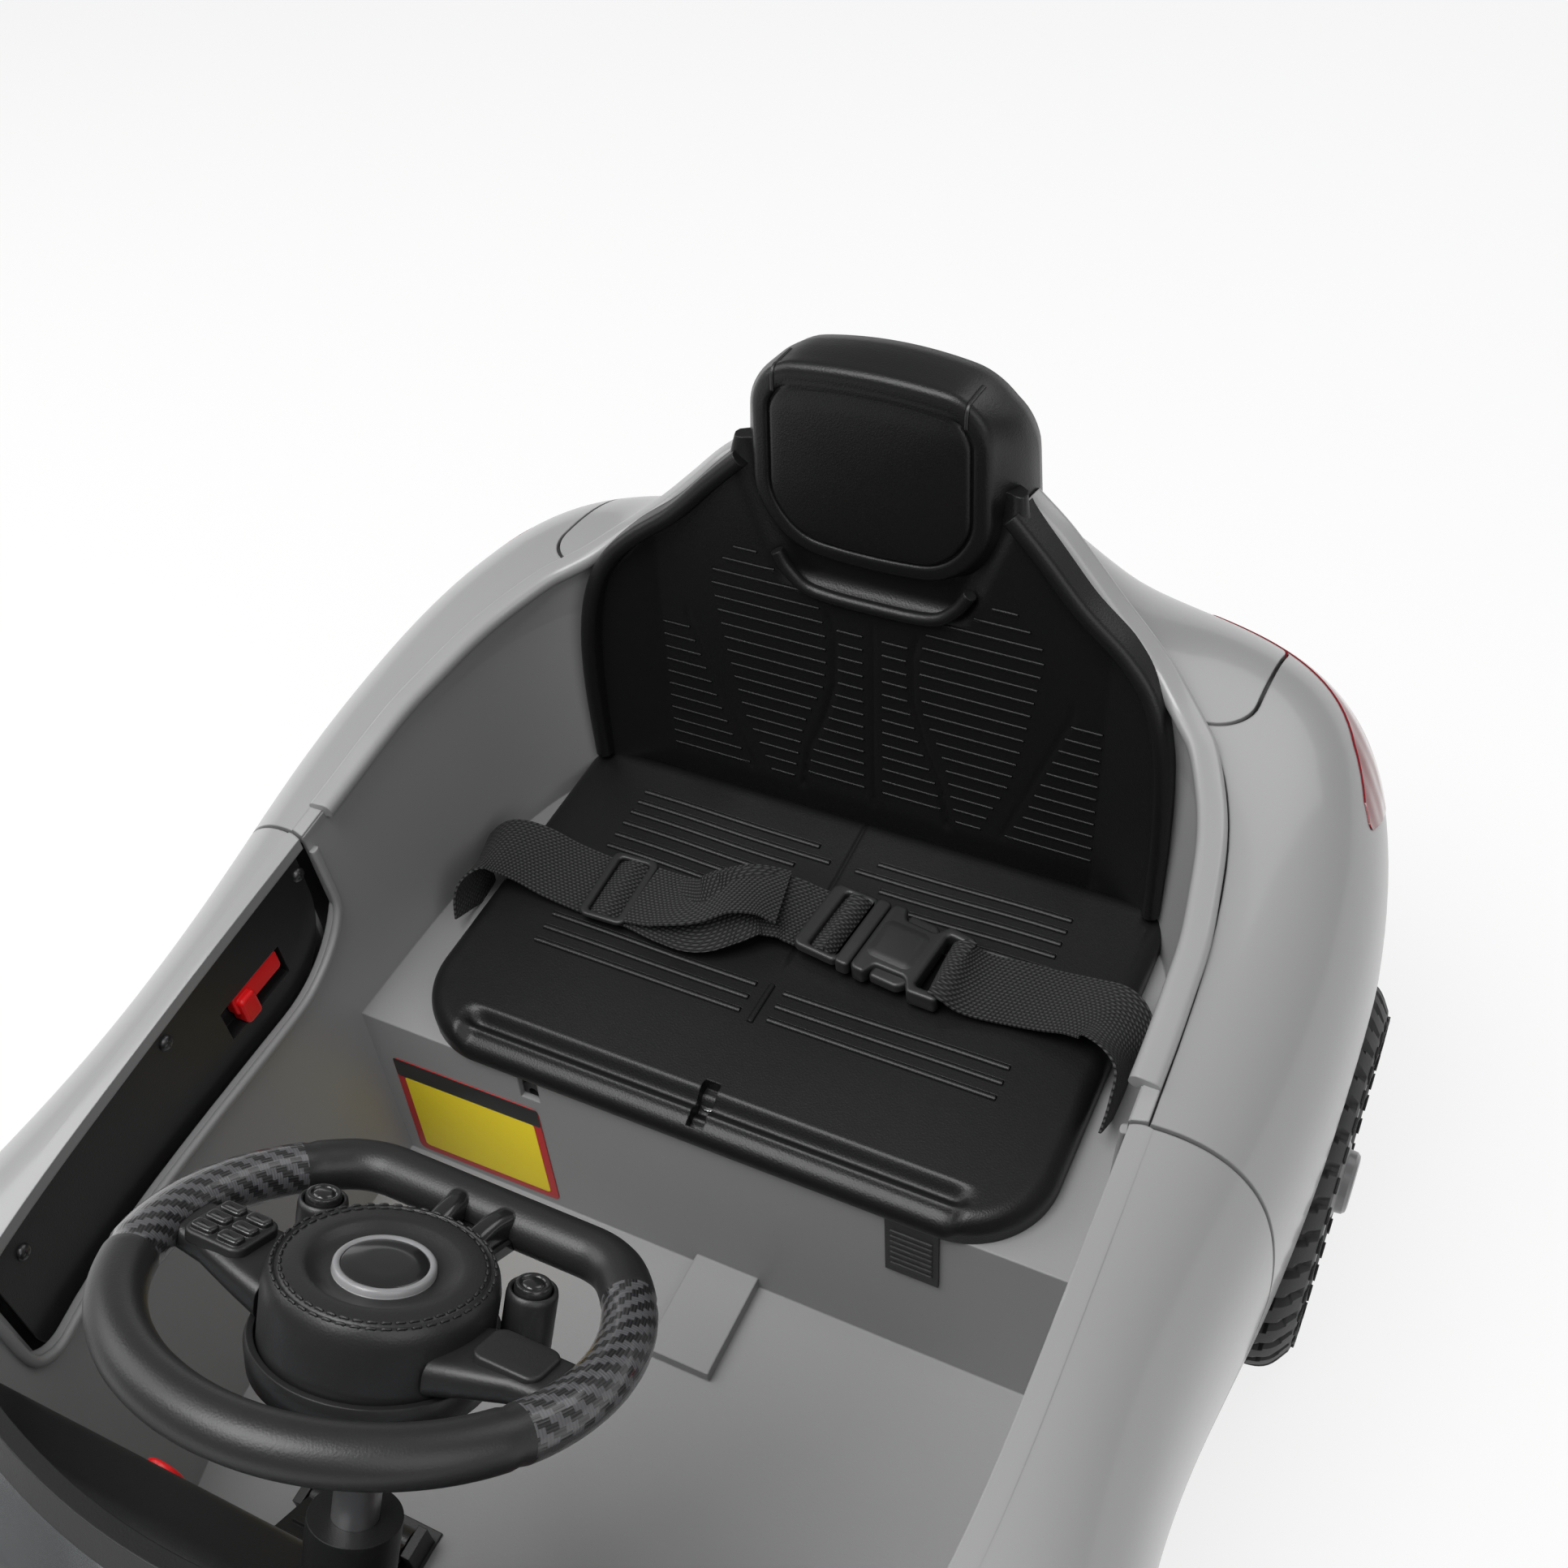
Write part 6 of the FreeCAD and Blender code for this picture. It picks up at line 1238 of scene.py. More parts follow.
@dataclass
class LapBelt:
    """Two webbing straps, a three-bar adjuster and a side-release buckle."""

    width: float = 41.0
    thick: float = 1.6
    belt_y: float = 272.0
    buckle: tuple[float, float, float] = (46.5, 277.3, 197.0)
    buckle_turn: float = -0.115
    adjuster: tuple[float, float, float] = (-104.0, 259.0, 201.6)
    lengths: dict[str, float] = field(default_factory=dict)

    def strap(self, name: str, stations: Sequence[tuple[float, ...]]) -> Mesh:
        """Webbing laid along stations.

        Args:
            name: key under which the strap's length is kept.
            stations: place and up direction, six numbers each.

        Returns:
            The strap's mesh with millimetres across and along as its map.
        """
        track = spline(stations, 10)
        path, up = track[:, :3], track[:, 3:]
        half, thin = self.width / 2.0, self.thick / 2.0
        across = np.linspace(-half, half, 15)
        crown = 0.5 * (1.0 - (across / half) ** 2)
        swell = thin * np.where(np.abs(across) > half - 2.5, 0.75, 1.0)
        under = np.stack([across, crown - swell], 1)
        over = np.stack([across, crown + swell], 1)
        outline = np.concatenate([under, over[::-1]])
        mesh = sweep(path, outline, up)
        mesh.maps = [np.stack([np.tile(outline[:, 0] + half, len(path)), mesh.maps[0][:, 0]], 1)]
        self.lengths[name] = float(np.linalg.norm(np.diff(path, axis=0), axis=1).sum())
        return mesh

    def make_straps(self) -> None:
        """Left and right strap with the fold near the buckle."""
        y = self.belt_y
        right = (
            (-186.0, y - 40, 182.0, -1, 0, 0), (-188.5, y - 34, 194.0, -1, 0, 0.1),
            (-188.0, y - 27, 203.5, -0.85, 0, 0.5), (-183.0, y - 20, 209.5, -0.5, 0, 0.85),
            (-174.0, y - 15.5, 212.0, -0.1, 0, 1), (-160.0, y - 13, 209.0, 0.15, 0, 1),
            (-142.0, y - 13, 203.5, 0.2, 0, 1), (-124.0, y - 13, 200.6, 0, 0, 1),
            (-114.0, y - 13, 200.2, 0, 0, 1), (-104.0, y - 13, 204.4, 0, 0, 1),
            (-94.0, y - 13, 200.4, 0, 0, 1), (-84.0, y - 14, 201.4, 0, 0, 1),
            (-66.0, y - 17, 206.0, 0, -0.25, 1), (-50.0, y - 18, 211.0, 0, -0.5, 0.9),
            (-38.0, y - 9, 212.0, 0, -0.45, 0.9), (-27.0, y + 3, 210.0, 0, -0.3, 1),
            (-13.0, y + 8, 205.5, 0, -0.05, 1), (-3.0, y + 9, 202.4, 0, 0, 1), (7.0, y + 9, 201.2, 0, 0, 1),
            (14.0, y + 8.5, 202.6, 0, 0, 1), (17.5, y + 8, 206.8, 0, 0, 1), (21.0, y + 8, 208.4, 0, 0, 1),
            (24.5, y + 7.5, 206.8, 0, 0, 1), (27.5, y + 7, 202.0, 0, 0, 1))
        left = (
            (79.5, y + 1.5, 200.0, -0.8, 0, 0.6), (81.5, y + 1.5, 205.0, -0.6, 0, 0.8),
            (85.5, y + 1, 209.0, 0, 0, 1), (90.0, y, 208.6, 0.3, 0, 1), (96.0, y, 204.6, 0.3, 0, 1),
            (105.0, y + 1, 202.2, 0, 0, 1), (120.0, y + 3, 202.0, 0, 0, 1), (138.0, y + 4, 203.4, 0, 0.06, 1),
            (156.0, y + 4, 207.4, -0.1, 0.1, 1), (170.0, y + 1, 211.0, 0.05, 0, 1),
            (180.0, y - 8, 209.6, 0.6, 0, 0.8), (185.0, y - 19, 203.0, 1, 0, 0.1),
            (186.0, y - 29, 194.0, 1, 0, 0), (185.0, y - 38, 182.0, 1, 0, 0))
        tail = (
            (-90.0, y - 13, 204.4, 0, 0, 1), (-74.0, y - 13, 206.6, 0, 0.1, 1),
            (-58.0, y - 11, 211.0, 0, 0.25, 1), (-42.0, y - 1, 216.0, 0.1, 0.35, 1),
            (-27.0, y + 7, 214.6, 0.25, 0.3, 1), (-14.0, y + 10, 210.6, 0.3, 0.2, 1))
        mesh = Mesh()
        for name, stations in (("right strap", right), ("left strap", left), ("loose end", tail)):
            mesh.join(self.strap(name, stations))
        strap = Shape(Body.CAR, (Finishes.WEBBING,), ("belt_straps",), crease=60.0).put("lap_belt", mesh)
        for name, length in self.lengths.items():
            LOG.info("belt %s: %.0f x %.0f mm flat", name, self.width, length)

    def make_adjuster(self) -> None:
        """Flat three-bar adjuster: frame and the middle bar under the webbing."""
        mesh = frame_plate(box_outline(28.0, 47.5, 5.0, 6), box_outline(18.5, 39.8, 2.4, 6), 0.0, 3.6, 1.3)
        path = np.stack([np.zeros(9), np.linspace(-21.0, 21.0, 9), np.full(9, 0.4)], 1)
        mesh.join(sweep(path, box_outline(5.4, 2.6, 1.2, 4), (0.0, 0.0, 1.0)))
        move = placed(self.adjuster, (1.0, 0.035, 0.0), (-0.035, 1.0, 0.0))
        shape = Shape(Body.CAR, (Finishes.BUCKLE,), ("belt_adjuster",), crease=45.0)
        shape.put("belt_three_bar", Mesh().join(mesh, move))

    def socket(self) -> Mesh:
        """Socket of the buckle.

        Returns:
            Crowned body, side windows and two horns that hold the strap bar.
        """
        half = [(-7.4, 24.0), (1.0, 24.3), (4.0, 17.0), (22.0, 16.5), (27.0, 24.3), (43.0, 23.0),
                (43.0, 17.5), (28.5, 18.5)]
        radii = [4.0, 2.2, 3.0, 4.0, 3.0, 2.6, 2.4, 2.5]
        outline = rounded([(x, -y) for x, y in half] + half[::-1], radii + radii[::-1], 5)
        mesh = plate(outline, [(1.2, 1.2), (0.0, 2.6)] + pebble(12.2, 1.9, 2.6)[1:])
        mesh.join(plate(box_outline(27.0, 26.0, 5.0), [(0.0, 11.9), (1.2, 12.4), (2.6, 12.8), (4.2, 13.0)]),
                  lambda points: points + [9.0, 0.0, 0.0])
        bar = np.stack([np.full(7, 39.4), np.linspace(-20.0, 20.0, 7), np.full(7, 8.2)], 1)
        return mesh.join(sweep(bar, box_outline(5.0, 4.6, 1.8, 4), (0.0, 0.0, 1.0)))

    def plug(self) -> Mesh:
        """Plug of the buckle.

        Returns:
            Strap loop with its middle bar, shoulder and two side levers.
        """
        outer = rounded([(-43.0, -23.6), (-16.0, -24.0), (-16.0, 24.0), (-43.0, 23.6)],
                        [5.0, 3.0, 3.0, 5.0], 6)
        inner = rounded([(-34.5, -19.8), (-18.5, -19.8), (-18.5, 19.8), (-34.5, 19.8)], [2.2] * 4, 6)
        mesh = frame_plate(outer, inner, 3.6, 10.0, 1.8)
        bar = np.stack([np.full(7, -25.6), np.linspace(-21.0, 21.0, 7), np.full(7, 7.6)], 1)
        mesh.join(sweep(bar, box_outline(4.6, 4.0, 1.6, 4), (0.0, 0.0, 1.0)))
        shoulder = rounded([(-16.6, -24.2), (-8.4, -24.2), (-8.4, 24.2), (-16.6, 24.2)], [2.6] * 4, 5)
        mesh.join(plate(shoulder, [(1.0, 2.0), (0.0, 3.0)] + pebble(11.2, 1.6, 3.0)[1:]))
        for side in (-1.0, 1.0):
            lever = [(3.4, 14.0), (24.4, 14.0), (24.0, 18.4), (20.0, 22.9), (3.4, 22.9)]
            corners = [(x, y * side) for x, y in lever][::int(side)]
            outline = rounded(corners, [1.0, 1.2, 3.0, 5.0, 2.6][::int(side)], 5)
            mesh.join(plate(outline, [(0.8, 3.4), (0.0, 4.4)] + pebble(9.6, 2.0, 4.4)[1:]))
        return mesh

    def make_buckle(self) -> None:
        """Side-release buckle, turned a little on the seat."""
        move = placed(self.buckle, (1.0, self.buckle_turn, 0.0), (-self.buckle_turn, 1.0, 0.0))
        for name, mesh in (("socket", self.socket()), ("plug", self.plug())):
            shape = Shape(Body.CAR, (Finishes.BUCKLE,), ("belt_buckle_" + name,), crease=42.0)
            shape.put("buckle_" + name, Mesh().join(mesh, move))

    def build(self) -> None:
        """Makes every piece of the belt."""
        self.make_straps()
        self.make_adjuster()
        self.make_buckle()


# Steering wheel


@dataclass
class SteeringWheel:
    """Flat-bottomed steering wheel with twill grips, spokes, keys and hub pad."""

    tilt: float = math.radians(33.0)
    hub: tuple[float, float, float] = (0.0, -42.0, 373.0)
    outer: float = 100.0
    tube: float = 10.5
    flat: float = 81.0
    drop: float = 12.0
    corner: float = 28.0
    ring_points: int = 28
    twill_from: float = -24.0
    twill_to: float = 34.0
    pad_radius: float = 42.5
    stitches: int = 48
    button: tuple[float, float] = (47.0, 25.0)
    keys_x: float = 62.0

    def to_car(self) -> Move:
        """Move from the flat wheel drawing to the leaning column."""
        return placed(self.hub, (1.0, 0.0, 0.0), (0.0, math.cos(self.tilt), -math.sin(self.tilt)))

    def rim_path(self) -> np.ndarray:
        """Middle line of the rim, flat side towards the driver.

        Returns:
            Its points, anticlockwise.
        """
        radius, flat = self.outer - self.tube, self.flat - self.tube
        middle = flat - self.corner
        side = math.sqrt((radius - self.corner) ** 2 - middle ** 2)
        turn = math.atan2(middle, side)
        points = [(x, flat) for x in np.linspace(side, -side, 24)[:-1]]
        points += [(-side - self.corner * math.sin(a), middle + self.corner * math.cos(a))
                   for a in np.linspace(0.0, math.pi / 2.0 - turn, 14)[:-1]]
        points += [(radius * math.cos(a), radius * math.sin(a))
                   for a in np.linspace(math.pi - turn, 2.0 * math.pi + turn, 120)[:-1]]
        points += [(side + self.corner * math.cos(a), middle + self.corner * math.sin(a))
                   for a in np.linspace(turn, math.pi / 2.0, 14)[:-1]]
        return np.array([(x, y, -self.drop) for x, y in points])

    def make_rim(self) -> None:
        """Rim with twill parts at the sides, grooved joints and three spokes."""
        path = self.rim_path()
        angle = np.degrees(np.arctan2(path[:, 1], np.abs(path[:, 0])))
        ring = round_outline(1.0, self.ring_points) * np.array([self.tube, self.tube - 0.4])
        mesh = sweep(path, ring, (0.0, 0.0, 1.0), closed=True)
        twill = (angle > self.twill_from) & (angle < self.twill_to)
        points = mesh.points[0].reshape(len(path), self.ring_points, 3)
        joint = np.abs(np.diff(np.concatenate([twill, twill[:1]]).astype(int))) > 0
        points[joint] = path[joint][:, None] + (points[joint] - path[joint][:, None]) * 0.94
        mesh.points = [points.reshape(-1, 3)]
        rows = [face[0] // self.ring_points for face in mesh.faces]
        mesh.marks = [1 if twill[row] else 0 for row in rows]
        self.add_spokes(mesh)
        finishes = (Finishes.BLACK, Finishes.TWILL, Finishes.GLOSS_BLACK)
        shape = Shape(Body.STEERING, finishes, ("steering_wheel",), crease=42.0)
        shape.put("wheel_rim", Mesh().join(mesh, self.to_car()))

    def button_place(self, side: float) -> Move:
        """Move from a turned drawing to the push button's place on one side."""
        x, y = self.button
        return placed((side * x, y, 0.0), (0.0, 0.0, 1.0), (1.0, 0.0, 0.0))

    def add_spokes(self, mesh: Mesh) -> None:
        """Adds side spokes, the twin-ribbed lower spoke, hub bowl and button cups.

        Args:
            mesh: the rim's mesh.
        """
        spoke = ((36.0, 34.0, 15.0, -20.0), (50.0, 32.0, 13.0, -16.0), (66.0, 25.0, 11.0, -13.5),
                 (80.0, 23.0, 10.0, -12.5), (88.0, 27.0, 12.0, -12.0))
        for side in (-1.0, 1.0):
            rings = []
            for x, wide, high, z in spoke:
                shape = box_outline(wide, high, min(wide, high) * 0.38, 5)
                across = np.full(len(shape), x * side)
                rings.append(np.column_stack([across, shape[:, 0] * side - 8.0, shape[:, 1] + z]))
            mesh.join(rings_mesh(rings))
            low = spline([(side * 8.0, 34.0, -18.0), (side * 9.0, 46.0, -11.5), (side * 10.0, 58.0, -9.5),
                          (side * 12.5, 70.0, -11.0)], 8)
            mesh.join(sweep(low, box_outline(9.5, 12.0, 3.6, 5), (0.0, 0.0, 1.0), mark=2))
            cup = lathe([(-34.0, 6.0), (-34.0, 9.6), (-6.0, 9.6), (-4.0, 9.2), (-3.4, 8.4), (-4.0, 7.6),
                         (-28.0, 7.6)], 40)
            mesh.join(cup, self.button_place(side))
        web = plate(rounded([(-15.0, 36.0), (15.0, 36.0), (17.0, 70.0), (-17.0, 70.0)], [3.0] * 4, 4),
                    [(0.0, -19.0), (0.0, -14.5), (1.0, -13.5)], 2)
        mesh.join(web)
        bowl = lathe([(-44.0, 10.0), (-44.0, 40.0), (-40.0, 45.0), (-31.0, 46.5), (-28.0, 45.6),
                      (-28.0, 43.2), (-31.0, 43.2)], 72)
        mesh.join(bowl, placed((0.0, 0.0, 0.0), (0.0, 0.0, 1.0), (1.0, 0.0, 0.0)))

    def make_pad(self) -> None:
        """Crowned hub pad with sewn seams, plain ring and disc."""
        upright = placed((0.0, 0.0, 0.0), (0.0, 0.0, 1.0), (1.0, 0.0, 0.0))
        radius = self.pad_radius
        mesh = Mesh().join(lathe([
            (-29.6, 6.0), (-29.6, radius - 0.2), (-9.0, radius), (-4.0, radius - 0.9), (-1.8, radius - 1.9),
            (-0.7, 39.9), (-0.5, 38.9), (-1.2, 38.3), (-1.2, 37.7), (-0.3, 37.0), (0.0, 35.6), (0.3, 31.0),
            (0.2, 28.6), (-0.3, 27.4), (-1.6, 25.2), (-2.6, 22.4), (-2.9, 19.8), (-2.9, 0.0)], 120), upright)
        ring = [(-3.2, 18.7), (-0.5, 18.5), (0.2, 17.8), (0.3, 16.8), (-0.2, 15.9), (-3.0, 15.7)]
        mesh.join(lathe(ring, 96, 1), upright)
        mesh.join(lathe([(-3.2, 15.9), (-0.4, 15.7), (0.0, 15.0), (0.2, 8.0), (0.25, 0.0)], 96, 2), upright)
        stitch = round_outline(0.5, 8)
        sunk = np.array([0.0, 0.0, 0.4])
        for seam, level in ((39.5, -0.25), (36.4, 0.1)):
            for step in range(self.stitches):
                a = 2.0 * math.pi * step / self.stitches
                middle = np.array([seam * math.cos(a), seam * math.sin(a), level])
                along = np.array([-math.sin(a), math.cos(a), 0.0]) * 1.5
                thread = [middle - along - sunk, middle - along * 0.6,
                          middle + along * 0.6, middle + along - sunk]
                mesh.join(sweep(np.array(thread), stitch, (0.0, 0.0, 1.0)))
        finishes = (Finishes.BLACK, Finishes.RIM, Finishes.GLOSS_BLACK)
        shape = Shape(Body.STEERING, finishes, ("steering_hub_pad",), crease=45.0)
        shape.put("wheel_pad", Mesh().join(mesh, self.to_car()))

    def make_buttons(self) -> None:
        """Ringed push button on each side of the pad."""
        for side, body, node in ((1.0, Body.HORN_LEFT, "horn_button_left"),
                                 (-1.0, Body.HORN_RIGHT, "horn_button_right")):
            knob = lathe([(-19.6, 1.0), (-19.6, 6.9), (-2.4, 6.9), (-1.3, 6.4), (-1.0, 5.6), (-1.3, 4.6),
                          (-1.9, 4.2), (-1.3, 3.8), (-0.9, 2.6), (-0.8, 0.0)], 48)
            shaped = Mesh().join(Mesh().join(knob, self.button_place(side)), self.to_car())
            Shape(body, (Finishes.GLOSS_BLACK,), (node,), crease=45.0).put("push_" + node, shaped)

    def make_keys(self) -> None:
        """Key pad with six plain keys on the right-hand spoke and a blank plate on the other."""
        mesh = Mesh()
        level = ((1.0, 0.0, 0.0), (0.0, 1.0, 0.0))
        base = plate(box_outline(27.0, 25.0, 5.0), [(0.0, -3.0)] + pebble(1.6, 1.2)[1:])
        mesh.join(base, placed((-self.keys_x, -8.0, -7.6), *level))
        rise = [(0.0, 0.0)] + pebble(2.4, 0.9)[1:] + [(2.4, 2.1)]
        for column in range(2):
            for row in range(3):
                key = plate(box_outline(10.0, 6.0, 2.0, 4), rise, 1)
                mesh.join(key, placed((-self.keys_x - 6.0 + 12.0 * column, -15.6 + 7.6 * row, -6.4), *level))
        blank = plate(box_outline(27.0, 20.0, 5.0), [(0.0, -3.0)] + pebble(1.8, 1.2)[1:] + [(4.0, 2.0)])
        mesh.join(blank, placed((self.keys_x, -8.0, -7.6), *level))
        finishes = (Finishes.BLACK, Finishes.GLOSS_BLACK)
        Shape(Body.STEERING, finishes, crease=42.0).put("wheel_keys", Mesh().join(mesh, self.to_car()))

    def build(self) -> None:
        """Makes every piece of the steering wheel."""
        self.make_rim()
        self.make_pad()
        self.make_buttons()
        self.make_keys()


# Body skin


@dataclass
class BodySkin:
    """Outer skin of the car: panels shaded by the true curve of the skin."""

    half_length: float = 530.0
    half_width: float = 296.0
    sill_z: float = 70.0
    nose_power: float = 4.4
    tail_power: float = 4.7
    shoulder_power: float = 6.0
    waist: tuple[float, float, float] = (0.08, 60.0, 150.0)
    tuck: tuple[float, float] = (0.045, 220.0)
    fender: tuple[float, float, float, float, float] = (28.0, 235.0, 60.0, -341.0, 110.0)
    fairing: tuple[float, float, float] = (92.0, 125.0, 60.0)
    cockpit_rear: float = 410.0
    skin_depth: float = 9.0
    skin_agrees: float = 0.8
    stations: tuple[tuple[float, float], ...] = (
        (-530.0, 212.0), (-440.0, 250.0), (-341.0, 281.0), (-185.0, 300.0), (-65.0, 297.0), (70.0, 309.0),
        (170.0, 313.0), (270.0, 322.0), (372.0, 335.0), (450.0, 340.0), (530.0, 325.0))

    def top_line(self, y: np.ndarray) -> np.ndarray:
        """Height of the skin along the car, smooth through its stations.

        Args:
            y: places along the car.

        Returns:
            The heights.
        """
        places, heights = np.array(self.stations).T
        slopes = np.empty(len(places))
        for i in range(len(places)):
            low, high = max(i - 1, 0), min(i + 1, len(places) - 1)
            slopes[i] = (heights[high] - heights[low]) / (places[high] - places[low])
        index = np.clip(np.searchsorted(places, y, side="left") - 1, 0, len(places) - 2)
        span = places[index + 1] - places[index]
        t = np.clip((y - places[index]) / span, 0.0, 1.0)
        rise = heights[index + 1] - heights[index]
        first, last = slopes[index] * span, slopes[index + 1] * span
        bend = first + last - 2.0 * rise
        return heights[index] + t * (first + t * (rise - first - bend + t * bend))

    def points(self, angle: np.ndarray, lift: np.ndarray) -> np.ndarray:
        """Points of the skin.

        Args:
            angle: directions round the car.
            lift: 0 at the sill to a quarter turn at the top.

        Returns:
            The points.
        """
        cosine, sine = np.cos(angle), np.sin(angle)
        power = np.where(sine < 0, self.nose_power, self.tail_power)
        across, ahead = np.abs(cosine / self.half_width), np.abs(sine / self.half_length)
        reach = (across ** power + ahead ** power) ** (-1.0 / power)
        ox, oy = reach * cosine, reach * sine
        depth, place, span = self.waist
        ox = ox * (1.0 - depth * np.exp(-((oy - place) / span) ** 2))
        p = self.shoulder_power
        roll = (np.cos(lift) ** p + np.sin(lift) ** p) ** (-1.0 / p)
        x, y = roll * np.cos(lift) * ox, roll * np.cos(lift) * oy
        top = self.top_line(y)
        rise, at_x, span_x, at_y, span_y = self.fender
        top = top + rise * np.exp(-((np.abs(x) - at_x) / span_x) ** 2) * np.exp(-((y - at_y) / span_y) ** 2)
        high, wide, long = self.fairing
        behind = np.maximum(0.0, y - self.cockpit_rear + 10.0)
        ahead = np.minimum(0.0, y - self.cockpit_rear)
        top = top + np.where(y > 0, high * np.exp(-(np.abs(x) / wide) ** 4) * np.exp(-(behind / long) ** 2)
                             * np.exp(-(ahead / 60.0) ** 2), 0.0)
        z = self.sill_z + (top - self.sill_z) * roll * np.sin(lift)
        pull, low = self.tuck
        share = 1.0 - pull * np.maximum(0.0, (low - z) / (low - self.sill_z)) ** 2
        return np.stack([x * share, y * share, z], -1)

    def prepare(self) -> None:
        """Makes the search tree of the skin and the normals at its points."""
        angles = np.linspace(0.0, 2.0 * math.pi, 901)
        lifts = np.linspace(0.0, math.pi / 2.0 - 0.004, 220)
        a, b = np.meshgrid(angles, lifts, indexing="ij")
        step = 0.001
        along = self.points(a + step, b) - self.points(a - step, b)
        over = self.points(a, np.minimum(b + step, math.pi / 2.0)) - self.points(a, np.maximum(b - step, 0.0))
        normal = np.cross(along, over)
        normal /= np.maximum(np.linalg.norm(normal, axis=2, keepdims=True), 1e-9)
        self.grid = self.points(a, b).reshape(-1, 3)
        self.normals = normal.reshape(-1, 3)
        self.quads = grid_faces(len(angles), len(lifts))
        self.tree = BVHTree.FromPolygons(self.grid.tolist(), self.quads)

    def normal_at(self, point: np.ndarray) -> tuple[np.ndarray, float]:
        """True normal of the skin nearest to a point.

        Args:
            point: the place in millimetres.

        Returns:
            The normal and the distance from the skin.
        """
        _, _, index, distance = self.tree.find_nearest(point.tolist())
        corners = np.array(self.quads[index])
        weight = 1.0 / (np.sum((self.grid[corners] - point) ** 2, 1) + 0.05)
        normal = weight @ self.normals[corners]
        return normal / np.linalg.norm(normal), distance

    def dress(self, node: str, body: Body, finish: Finish) -> None:
        """Puts a copy of a panel in the scene, shaded by the skin's own curve.

        Args:
            node: the panel's CAD node.
            body: the body it rides on.
            finish: its finish.
        """
        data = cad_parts[node].data.copy()
        data.name = node + "_panel"
        data.materials.clear()
        data.materials.append(finish.material())
        points = np.empty(len(data.vertices) * 3)
        data.vertices.foreach_get("co", points)
        points = points.reshape(-1, 3) / MM
        found = [self.normal_at(point) for point in points]
        near = np.array([normal for normal, _ in found])
        distance = np.array([d for _, d in found])
        corners = np.empty(len(data.loops), int)
        data.loops.foreach_get("vertex_index", corners)
        facing = np.empty(len(data.polygons) * 3)
        data.polygons.foreach_get("normal", facing)
        sizes = np.empty(len(data.polygons), int)
        data.polygons.foreach_get("loop_total", sizes)
        face = np.repeat(facing.reshape(-1, 3), sizes, 0)
        skin = near[corners]
        agree = np.sum(face * skin, 1)
        close = distance[corners] < self.skin_depth
        chosen = np.where(((agree > self.skin_agrees) & close)[:, None], skin, face)
        chosen = np.where(((agree < -self.skin_agrees) & close)[:, None], -skin, chosen)
        data.shade_smooth()
        data.normals_split_custom_set(chosen.tolist())
        panel = bpy.data.objects.new(node + "_panel", data)
        bpy.context.scene.collection.objects.link(panel)
        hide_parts(node)
        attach(panel, body.value)
        LOG.info("%s_panel: %d points", node, len(points))

    def build(self) -> None:
        """Dresses every panel of the skin."""
        self.prepare()
        for node in ("front_body", "rear_body", "rear_deck"):
            self.dress(node, Body.CAR, Finishes.BODY)
        self.dress("door_shell_left", Body.DOOR_LEFT, Finishes.BODY)
        self.dress("door_shell_right", Body.DOOR_RIGHT, Finishes.BODY)


# Wheels


